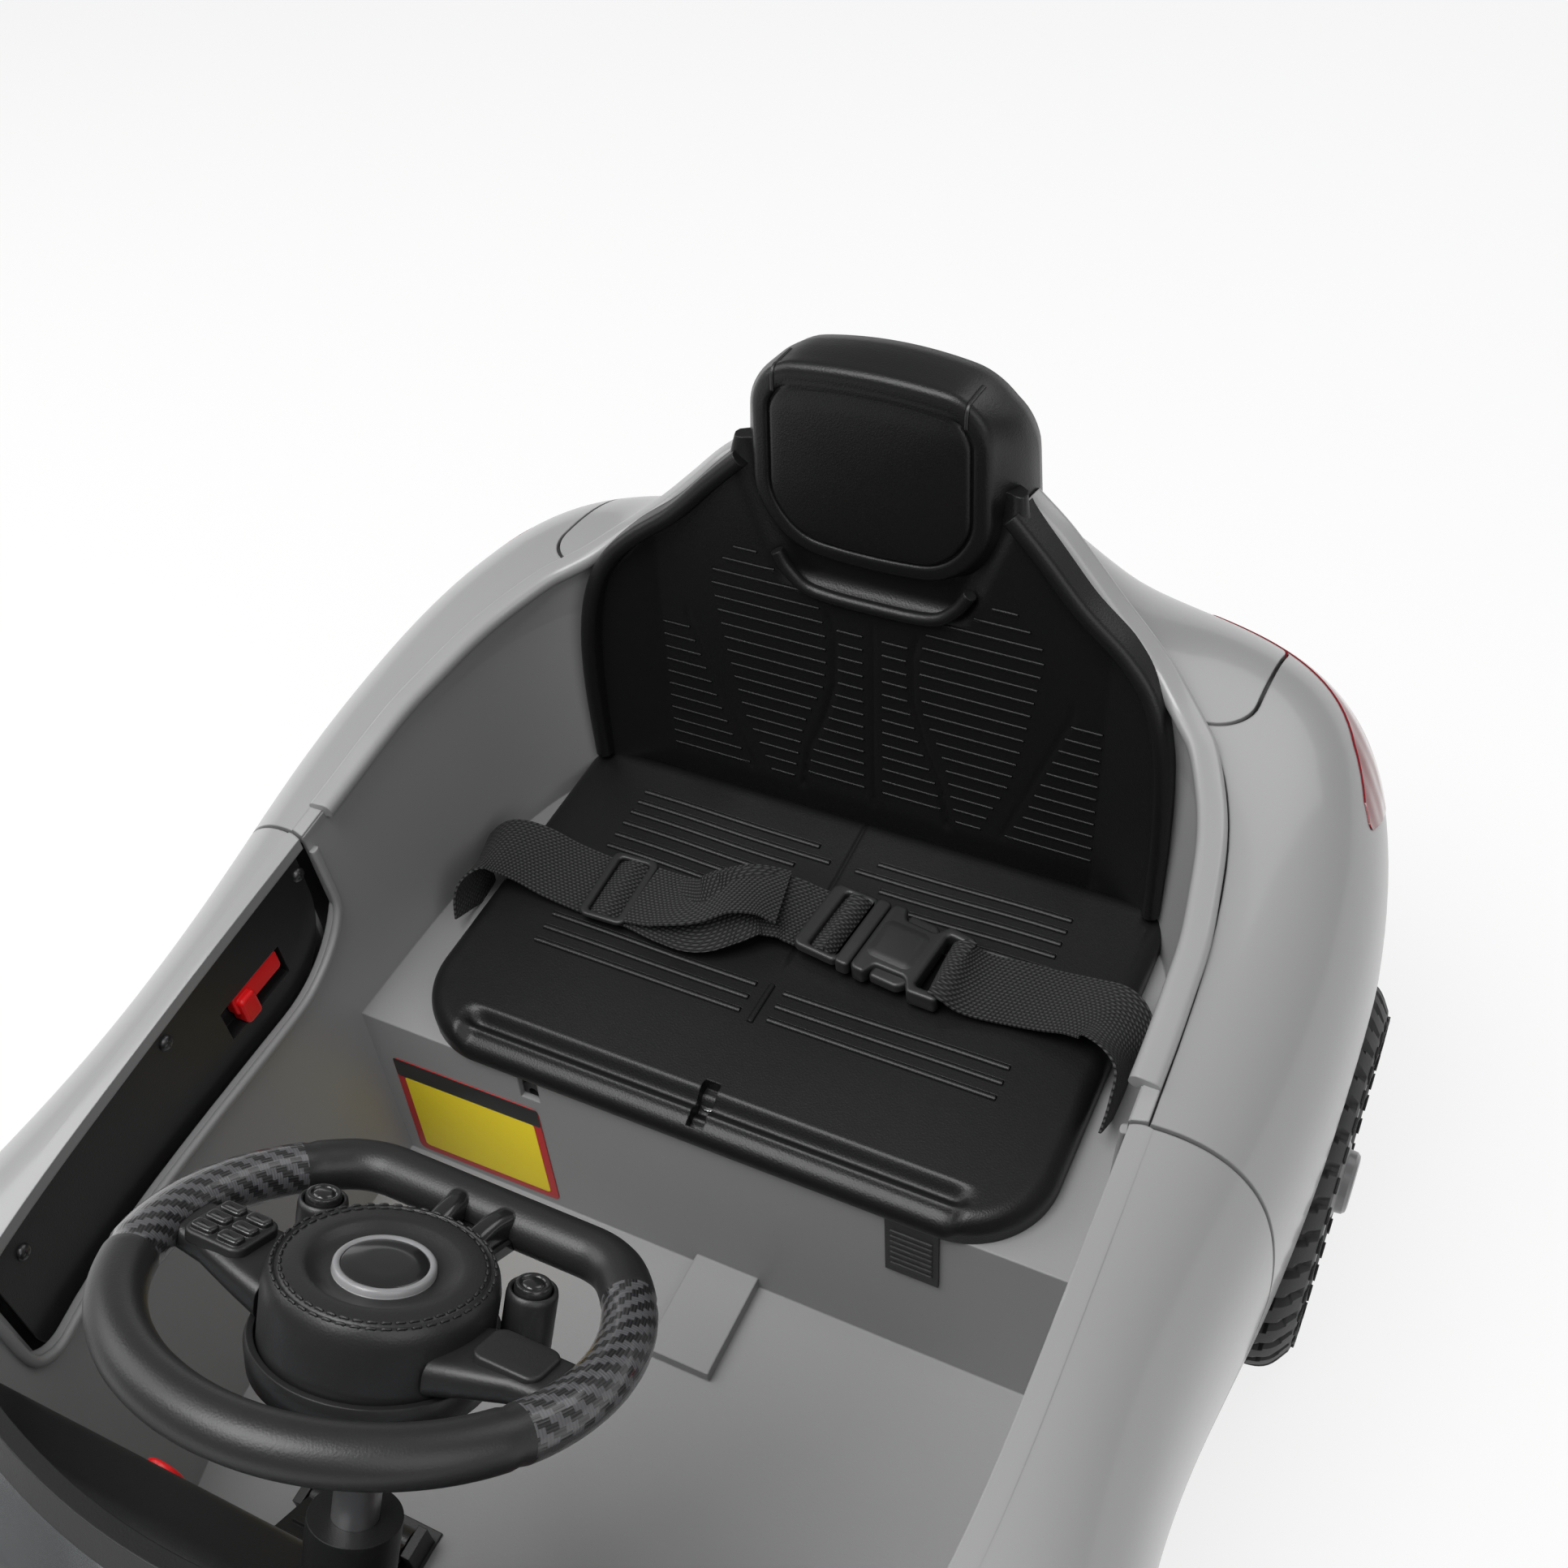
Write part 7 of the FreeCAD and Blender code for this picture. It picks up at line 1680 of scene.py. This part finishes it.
@dataclass
class Wheel:
    """Moulded wheel: treaded tyre, barrel, ten spokes and hub cap."""

    radius: float = 105.0
    width: float = 72.0
    rim_radius: float = 76.0
    spokes: int = 10
    blocks: int = 36
    front_x: float = 248.0
    front_y: float = -341.0
    rear_x: float = 258.0
    rear_y: float = 294.0
    centre_z: float = 105.0
    block_steps: int = 8
    groove: float = 4.6
    lug_radius: float = 85.5
    face_x: float = 36.0

    def tyre(self) -> Mesh:
        """Tyre about the X axis, middle at the origin.

        Returns:
            Its mesh with tread blocks and side lugs.
        """
        half = self.width / 2.0
        steps = self.blocks * self.block_steps
        side = [(-half + 5.0, 75.6), (-half + 2.0, 78.0), (-half + 0.4, 82.0), (-half, 87.0),
                (-half + 1.0, 91.5)]
        tread = np.linspace(-half + 4.5, half - 4.5, 34)
        crown = self.radius - 8.0 * (tread / (half - 4.5)) ** 6
        profile = side + list(zip(tread, crown)) + [(-x, r) for x, r in side[::-1]]
        x = np.array([p[0] for p in profile])
        r = np.array([p[1] for p in profile])
        turn = np.arange(steps) / self.block_steps
        xx, tt = np.meshgrid(x, turn, indexing="ij")
        rr = np.repeat(r[:, None], steps, 1)
        across = np.abs(xx)
        slant = tt + across * 0.018 * np.sign(xx)
        row = (across > 11.0).astype(float) + (across > 13.5)
        gap_along = (across > 10.0) & (across < 14.5)
        phase = np.where(across < 11.0, slant, slant + 0.5) % 1.0
        gap_cross = phase < 0.3
        on_tread = rr > self.radius - 8.5
        rr = rr - self.groove * on_tread * (gap_along | (gap_cross & (row != 1.0)))
        angle = tt * 2.0 * math.pi / self.blocks
        points = np.stack([xx, rr * np.cos(angle), rr * np.sin(angle)], 2)
        mesh = Mesh().add(points.reshape(-1, 3), grid_faces(len(x), steps, wrap=True, flip=True))
        for end in (-1.0, 1.0):
            for step in range(self.blocks):
                a = 2.0 * math.pi * (step + 0.5) / self.blocks
                lug = plate(box_outline(8.0, 6.5, 1.2, 3), [(0.0, -1.0)] + pebble(0.9, 0.7)[1:])
                out = np.array([0.0, math.cos(a), math.sin(a)])
                middle = out * self.lug_radius + [end * (half - 0.1), 0, 0]
                move = placed(middle, np.cross((end, 0, 0), out), out)
                mesh.join(lug, move)
        return mesh

    def rim(self) -> Mesh:
        """Rim about the X axis; its face looks along +X.

        Returns:
            Its mesh with barrel, back plate, spokes and hub cap.
        """
        face, seat = self.face_x, self.rim_radius
        barrel = lathe([(-30.0, 70.0), (-31.0, 74.0), (-30.0, seat), (29.0, seat), (32.0, 77.2),
                        (face - 2.5, 76.8), (face - 1.5, 74.6), (face - 2.5, 72.4), (face - 6.0, 71.2),
                        (-26.0, 69.0)], 120)
        sections = ((13.0, 9.0, 33.0), (24.0, 9.5, 33.5), (40.0, 8.6, 31.5), (58.0, 9.6, 29.5),
                    (68.0, 13.0, 29.5), (73.0, 18.0, 30.5))
        mesh = Mesh().join(barrel)
        mesh.join(lathe([(8.0, 12.0), (8.0, 71.0), (12.0, 71.0), (13.5, 60.0), (13.0, 12.0)], 72, 1))
        for step in range(self.spokes):
            a = 2.0 * math.pi * step / self.spokes
            rings = []
            for r, wide, top in sections:
                shape = box_outline(wide, 12.0, 3.4, 4)
                rings.append(np.stack([shape[:, 1] + top - 6.0, np.full(len(shape), r), -shape[:, 0]], 1))
            spoke = rings_mesh(rings)
            cosine, sine = math.cos(a), math.sin(a)
            turn = np.array([[1.0, 0.0, 0.0], [0.0, cosine, sine], [0.0, -sine, cosine]])
            mesh.join(spoke, lambda points, turn=turn: points @ turn)
            # Painted shade: a thin dark strip on each spoke's face stands for the shade in a slot.
            slot = plate(box_outline(1.8, 26.0, 0.8, 3), [(0.0, -1.0), (0.0, 0.15), (0.3, 0.3)], 1)
            move = placed((33.0, 38.0, 0.0), (0.0, 0.0, -1.0), (0.13, 1.0, 0.0))
            mesh.join(Mesh().join(slot, move), lambda points, turn=turn: points @ turn)
        collar = [(24.0, 10.0), (24.0, 21.5), (35.0, 21.0), (36.4, 19.4), (36.6, 17.6), (36.4, 10.0)]
        cap = [(36.0, 17.0), (40.5, 16.6), (42.2, 15.0), (42.6, 12.5), (42.2, 10.5), (42.4, 5.0), (42.6, 0.0)]
        mesh.join(lathe(collar, 72))
        mesh.join(lathe(cap, 72))
        return mesh

    def build(self) -> None:
        """Makes the four wheels."""
        tyre, rim = self.tyre(), self.rim()
        places = ((Body.WHEEL_FRONT_LEFT, self.front_x, self.front_y),
                  (Body.WHEEL_FRONT_RIGHT, -self.front_x, self.front_y),
                  (Body.WHEEL_REAR_LEFT, self.rear_x, self.rear_y),
                  (Body.WHEEL_REAR_RIGHT, -self.rear_x, self.rear_y))
        parts = (("tyre", tyre, (Finishes.TYRE,)), ("rim", rim, (Finishes.RIM, Finishes.RIM_DARK)))
        for body, side, axle in places:
            where = body.value.replace("wheel_", "")
            middle = np.array([side, axle, self.centre_z])
            for part, shape, finishes in parts:
                node = part + "_" + where
                mesh = Mesh().join(shape if side > 0 else mirrored(shape), lambda points: points + middle)
                Shape(body, finishes, (node,), crease=32.0).put("turned_" + node, mesh)


# Trim


@dataclass
class Trim:
    """Small pieces on the panels: screws, label, lips, jambs, rail, latches, lamp bowls, mirror faces."""

    screws: tuple[tuple[float, float], ...] = ((150.0, 285.0), (44.0, 279.0), (-65.0, 270.0))
    label_corners: tuple[tuple[float, float], ...] = (
        (-190.0, 70.0), (-96.0, 72.0), (-97.0, 152.0), (-192.0, 150.0))
    label_border: float = 5.0
    opening: tuple[tuple[float, float], ...] = (
        (161.6, 294.0), (161.4, 272.0), (160.4, 254.0), (153.4, 242.6), (143.0, 234.0), (131.0, 228.0),
        (117.0, 224.0), (95.0, 222.8), (40.0, 222.8), (-20.0, 222.8), (-68.0, 222.8), (-81.6, 224.0),
        (-89.2, 228.6), (-94.2, 235.0), (-96.2, 245.0), (-96.2, 262.0), (-96.2, 288.0))
    inside_x: float = 120.0
    jamb_y: float = 174.5
    latch_y: float = 102.5
    latch_z: float = 253.4
    lamps: tuple[tuple[float, float, float], ...] = ((196.0, 214.0, 22.0), (236.0, 228.0, 17.0))
    lamp_depth: float = 9.0
    mirror_x: float = 228.0
    trees: dict[str, BVHTree] = field(default_factory=dict)

    def hit(self, node: str, start: Sequence[float],
            way: Sequence[float]) -> tuple[np.ndarray, np.ndarray] | None:
        """Where a ray meets a CAD node.

        Args:
            node: the node.
            start: start of the ray in millimetres.
            way: its direction.

        Returns:
            Place and normal, or None if it misses.
        """
        if node not in self.trees:
            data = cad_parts[node].data
            points = [vertex.co / MM for vertex in data.vertices]
            self.trees[node] = BVHTree.FromPolygons(points, [polygon.vertices for polygon in data.polygons])
        place, normal, _, _ = self.trees[node].ray_cast(Vector(start), Vector(way))
        return None if place is None else (np.array(place), np.array(normal))

    def screw(self) -> Mesh:
        """Pan-head screw with a raised black cross, painted shade for its cross recess.

        Returns:
            Its mesh, head up along Z.
        """
        upright = placed((0.0, 0.0, 0.0), (0.0, 0.0, 1.0), (1.0, 0.0, 0.0))
        head = [(-2.0, 0.0), (-2.0, 3.9), (0.5, 3.9), (1.5, 3.3), (2.1, 2.0), (2.3, 0.0)]
        mesh = Mesh().join(lathe(head, 32), upright)
        # Painted shade: the cross recess is drawn as two black bars standing on the head.
        for along in ((1.0, 0.0, 0.0), (0.0, 1.0, 0.0)):
            bar = plate(box_outline(4.2, 1.0, 0.3, 2), [(0.0, 1.0), (0.0, 2.36), (0.15, 2.42)], 1)
            mesh.join(bar, placed((0.0, 0.0, 0.0), along, np.cross((0.0, 0.0, 1.0), along)))
        return mesh

    def make_screws(self) -> None:
        """Three panel screws on each door."""
        up = (0.0, 0.0, 1.0)
        for side, body, node in ((1.0, Body.DOOR_LEFT, "door_panel_left"),
                                 (-1.0, Body.DOOR_RIGHT, "door_panel_right")):
            mesh = Mesh()
            for y, z in self.screws:
                found = self.hit(node, (side * self.inside_x, y, z), (side, 0.0, 0.0))
                if found:
                    mesh.join(self.screw(), placed(found[0], np.cross(up, found[1]), up))
            if mesh.count:
                Shape(body, (Finishes.SCREW, Finishes.BLACK), crease=40.0).put("screws_" + body.value, mesh)

    def make_label(self) -> None:
        """Blank sticker on the seat box: yellow field, red border, dark head band."""
        corners = []
        for x, z in self.label_corners:
            found = self.hit("cockpit_tub", (x, 60.0, z), (0.0, 1.0, 0.0))
            if found is None:
                LOG.warning("label corner %s misses the seat box", (x, z))
                return
            corners.append(found[0])
        corners = np.array(corners)
        middle = corners.mean(0)
        across = corners[1] - corners[0] + corners[2] - corners[3]
        up = corners[2] - corners[1] + corners[3] - corners[0]
        wide, tall = np.linalg.norm(across) / 2.0, np.linalg.norm(up) / 2.0
        mesh = plate(box_outline(wide, tall, 4.0), [(0.0, 0.1), (0.0, 0.45), (0.2, 0.5)], 1)
        border = self.label_border
        field_high = tall * 0.82 - border
        mesh.join(plate(box_outline(wide - 2.0 * border, field_high, 2.5),
                        [(0.0, 0.4), (0.0, 0.58), (0.1, 0.6)]),
                  lambda points: points + [0.0, (field_high - tall) / 2.0 + border, 0.0])
        mesh.join(plate(box_outline(wide - 0.6, tall * 0.18, 1.5), [(0.0, 0.45), (0.0, 0.6), (0.1, 0.62)], 2),
                  lambda points: points + [0.0, tall * 0.41 - 0.3, 0.0])
        finishes = (Finishes.YELLOW, Finishes.LABEL_RED, Finishes.LABEL_DARK)
        label = Mesh().join(mesh, placed(middle, across, up))
        Shape(Body.CAR, finishes, crease=40.0).put("blank_label", label)

    def make_opening(self) -> None:
        """Rounded lip of the cockpit along each door opening and the plate behind the door's rear edge, black
        as painted shade.
        """
        lips, jambs = Mesh(), Mesh()
        track = spline(self.opening, 8)
        path = []
        for y, z in track:
            found = self.hit("cockpit_tub", (self.inside_x, y, z), (1.0, 0.0, 0.0))
            if found:
                path.append((found[0][0] - 1.2, y, z))
        lip = sweep(np.array(path), box_outline(5.0, 4.0, 1.7, 4), (1.0, 0.0, 0.0))
        corners = [(214.0, 112.0), (271.0, 112.0), (275.0, 150.0), (276.5, 190.0), (275.0, 222.0),
                   (270.0, 250.0), (262.0, 267.0), (254.0, 278.0), (243.0, 287.0), (229.0, 295.0),
                   (217.0, 297.0), (213.5, 260.0), (211.0, 210.0)]
        jamb = plate(rounded(corners, [2.0] * len(corners), 3), [(0.0, 0.0)] + pebble(2.4, 0.8)[1:])
        jamb = Mesh().join(jamb, placed((0.0, self.jamb_y, 0.0), (1.0, 0.0, 0.0), (0.0, 0.0, 1.0)))
        lips.join(lip).join(mirrored(lip))
        jambs.join(jamb).join(mirrored(jamb))
        Shape(Body.CAR, (Finishes.TUB,), crease=40.0).put("door_opening_lips", lips)
        # Painted shade: the jamb plate is black to stand for the shade in the gap behind the door's rear
        # edge.
        Shape(Body.CAR, (Finishes.BLACK,), crease=40.0).put("door_jambs_painted_shade", jambs)

    def make_rail(self) -> None:
        """Raised round rail along the cockpit's edge, from the door's rear edge to behind the headrest."""
        stations = ((213.0, 177.0, 306.0), (213.0, 200.0, 308.0), (212.5, 225.0, 311.0),
                    (211.5, 250.0, 313.5), (208.0, 275.0, 316.0), (203.5, 300.0, 319.0),
                    (198.0, 320.0, 321.5), (190.0, 340.0, 324.5), (182.5, 355.0, 327.0),
                    (174.5, 365.0, 329.0), (165.0, 375.0, 332.5), (152.0, 386.0, 340.5),
                    (139.0, 392.5, 350.0), (124.0, 398.0, 362.0), (108.0, 403.0, 377.0),
                    (92.0, 407.0, 392.5), (74.0, 411.0, 406.0))
        rail = sweep(spline(stations, 6), box_outline(14.0, 9.0, 4.0, 6), (0.15, 0.0, 1.0))
        rails = Mesh().join(rail).join(mirrored(rail))
        Shape(Body.CAR, (Finishes.BODY,), crease=50.0).put("cockpit_rail", rails)

    def make_latches(self) -> None:
        """Red latch plate with one grip tab on the inside of each door."""
        low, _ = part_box("door_latch_left")
        base = plate(box_outline(35.0, 13.0, 2.5), [(0.0, -4.0)] + pebble(1.4, 1.0)[1:])
        tab = plate(box_outline(11.0, 17.0, 2.6), [(0.0, -4.0)] + pebble(5.0, 2.0)[1:])
        base.join(tab, lambda points: points + [10.5, -5.0, 0.0])
        move = placed((low[0] / MM + 1.5, self.latch_y, self.latch_z), (0.0, -1.0, 0.0), (0.0, 0.0, 1.0))
        left = Mesh().join(base, move)
        for mesh, body, node in ((left, Body.LATCH_LEFT, "door_latch_left"),
                                 (mirrored(left), Body.LATCH_RIGHT, "door_latch_right")):
            Shape(body, (Finishes.RED,), (node,), crease=42.0).put("slide_" + node, mesh)

    def make_lamps(self) -> None:
        """Reflector bowls in the headlamps, each with its bulb."""
        mesh = Mesh()
        for side in (-1.0, 1.0):
            for x, z, radius in self.lamps:
                found = self.hit("headlamp_lenses", (side * x, -700.0, z), (0.0, 1.0, 0.0))
                if found is None:
                    continue
                bowl = lathe([(0.0, radius), (-2.0, radius + 1.0), (-3.0, radius), (-12.0, radius * 0.7),
                              (-18.0, 4.0), (-19.0, 0.0)], 48)
                bowl.join(lathe([(-18.0, 5.0), (-9.0, 6.0), (-6.0, 4.5), (-5.0, 0.0)], 32, 1))
                rim = found[0] + [0.0, self.lamp_depth, 0.0]
                mesh.join(bowl, placed(rim, (0.0, -1.0, 0.0), (1.0, 0.0, 0.0)))
        if mesh.count:
            Shape(Body.CAR, (Finishes.MIRROR, Finishes.LENS), crease=45.0).put("lamp_bowls", mesh)

    def make_mirrors(self) -> None:
        """Mirror face on each door mirror."""
        mesh = Mesh()
        low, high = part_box("mirror_housings")
        z = (low[2] + high[2]) / 2.0 / MM + 6.0
        for side in (-1.0, 1.0):
            found = self.hit("mirror_housings", (side * self.mirror_x, 40.0, z), (0.0, -1.0, 0.0))
            if found:
                face = plate(box_outline(36.0, 22.0, 8.0), [(0.0, 0.0), (0.0, 0.5), (0.6, 0.9)])
                mesh.join(face, placed(found[0], np.cross((0.0, 0.0, 1.0), found[1]), (0.0, 0.0, 1.0)))
        if mesh.count:
            Shape(Body.CAR, (Finishes.MIRROR,), crease=40.0).put("mirror_faces", mesh)

    def build(self) -> None:
        """Makes every small piece."""
        self.make_screws()
        self.make_label()
        self.make_opening()
        self.make_rail()
        self.make_latches()
        self.make_lamps()
        self.make_mirrors()


# CAD nodes and studio


@dataclass
class PlainNodes:
    """CAD nodes that stay as they are and only get a finish."""

    finishes: dict[str, Finish] = field(default_factory=lambda: {
        "cockpit_tub": Finishes.TUB, "front_grille": Finishes.BLACK, "headlamp_lenses": Finishes.LENS,
        "tail_lamp_lenses": Finishes.TAIL_LENS, "lower_valances": Finishes.BLACK,
        "screen_frame": Finishes.BLACK, "windscreen": Finishes.SCREEN,
        "mirror_housings": Finishes.GLOSS_BLACK, "chassis_pan": Finishes.BLACK,
        "seat_screw": Finishes.CHROME, "seat_clip": Finishes.BLACK, "dashboard": Finishes.BLACK,
        "control_box": Finishes.BLACK, "battery": Finishes.BATTERY, "charging_socket": Finishes.BLACK,
        "pedal_base": Finishes.BLACK, "front_beam": Finishes.BLACK, "rear_axle": Finishes.STEEL,
        "gearboxes": Finishes.BLACK, "motors": Finishes.STEEL, "hinge_pins": Finishes.STEEL,
        "steering_column": Finishes.STEEL, "tie_rod": Finishes.STEEL, "pedal": Finishes.BLACK,
        "power_button": Finishes.RED, "direction_switch": Finishes.RED, "door_panel_left": Finishes.BLACK,
        "door_panel_right": Finishes.BLACK,
        "knuckle_left": Finishes.STEEL, "knuckle_right": Finishes.STEEL, "drive_gear_left": Finishes.GEAR,
        "drive_gear_right": Finishes.GEAR, "motor_pinion_left": Finishes.BRASS,
        "motor_pinion_right": Finishes.BRASS})

    def build(self) -> None:
        """Puts each finish on its node."""
        for name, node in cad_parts.items():
            if node.hide_render:
                continue
            finish = self.finishes[name]
            node.data.materials.clear()
            node.data.materials.append(finish.material())
            LOG.info("%s: %s", name, finish.name)


@dataclass
class Studio:
    """Camera, floor and soft lights."""

    place: tuple[float, float, float] = (0.30641, -0.23914, 0.92945)
    azimuth: float = 30.88
    elevation: float = 45.95
    roll: float = -6.93
    lens: float = 40.345
    sky: float = 0.2
    floor_half: float = 9.0

    def make_camera(self) -> None:
        """Camera at the photo's place and direction."""
        a, e, r = (math.radians(v) for v in (self.azimuth, self.elevation, self.roll))
        back = Vector((math.sin(a) * math.cos(e), -math.cos(a) * math.cos(e), math.sin(e)))
        right = Vector((math.cos(a), math.sin(a), 0.0))
        up = back.cross(right)
        turned = math.cos(r) * right + math.sin(r) * up
        upright = -math.sin(r) * right + math.cos(r) * up
        data = bpy.data.cameras.new("camera")
        data.lens, data.sensor_width, data.clip_start = self.lens, 36.0, 0.01
        camera = bpy.data.objects.new("camera", data)
        turn = Matrix((turned, upright, back)).transposed().to_4x4()
        camera.matrix_world = Matrix.Translation(self.place) @ turn
        bpy.context.scene.collection.objects.link(camera)
        bpy.context.scene.camera = camera

    def make_floor(self) -> None:
        """Large pale floor."""
        data = bpy.data.meshes.new("floor")
        half = self.floor_half
        corners = [(-half, -half, 0.0), (half, -half, 0.0), (half, half, 0.0), (-half, half, 0.0)]
        data.from_pydata(corners, [], [(0, 1, 2, 3)])
        data.materials.append(Finishes.FLOOR.material())
        floor = bpy.data.objects.new("floor", data)
        bpy.context.scene.collection.objects.link(floor)

    def make_light(self, name: str, power: float, size: float, place: Sequence[float],
                   aim: Sequence[float]) -> None:
        """Square soft light.

        Args:
            name: its name.
            power: watts.
            size: edge in metres.
            place: where it is.
            aim: the point that it looks at.
        """
        data = bpy.data.lights.new(name, "AREA")
        data.energy, data.size = power, size
        light = bpy.data.objects.new(name, data)
        light.location = place
        light.rotation_euler = (Vector(aim) - Vector(place)).to_track_quat("-Z", "Y").to_euler()
        bpy.context.scene.collection.objects.link(light)

    def build(self) -> None:
        """Makes the studio with a white world."""
        self.make_camera()
        self.make_floor()
        self.make_light("key", 60.0, 1.6, (-0.4, -0.5, 2.5), (0.0, 0.1, 0.2))
        self.make_light("fill", 15.0, 1.8, (1.8, -0.6, 1.7), (0.0, 0.1, 0.2))
        self.make_light("side", 20.0, 1.6, (-1.9, 0.0, 1.6), (0.0, 0.1, 0.25))
        self.make_light("rear", 8.0, 1.2, (0.8, 2.0, 1.6), (0.0, 0.2, 0.3))
        world = Shader(bpy.data.worlds.new("world"))
        seen = world.node("ShaderNodeLightPath").outputs["Is Camera Ray"]
        soft = world.node("ShaderNodeBackground", None, {"Color": (1.0, 1.0, 1.0), "Strength": self.sky})
        white = world.node("ShaderNodeBackground", None, {"Color": (1.0, 1.0, 1.0), "Strength": 1.0})
        mixed = world.node("ShaderNodeMixShader", None, {0: seen, 1: soft.outputs[0], 2: white.outputs[0]})
        world.node("ShaderNodeOutputWorld", None, {"Surface": mixed.outputs[0]})
        bpy.context.scene.world = world.owner
        bpy.context.scene.view_settings.view_transform = "Standard"


def main() -> None:
    """Builds the car's pieces in order."""
    logging.basicConfig(level=logging.INFO, format="%(name)s: %(message)s")
    for part in (BodySkin(), Seat(), LapBelt(), SteeringWheel(), Wheel(), Trim(), PlainNodes(), Studio()):
        part.build()


if __name__ == "__main__":
    main()
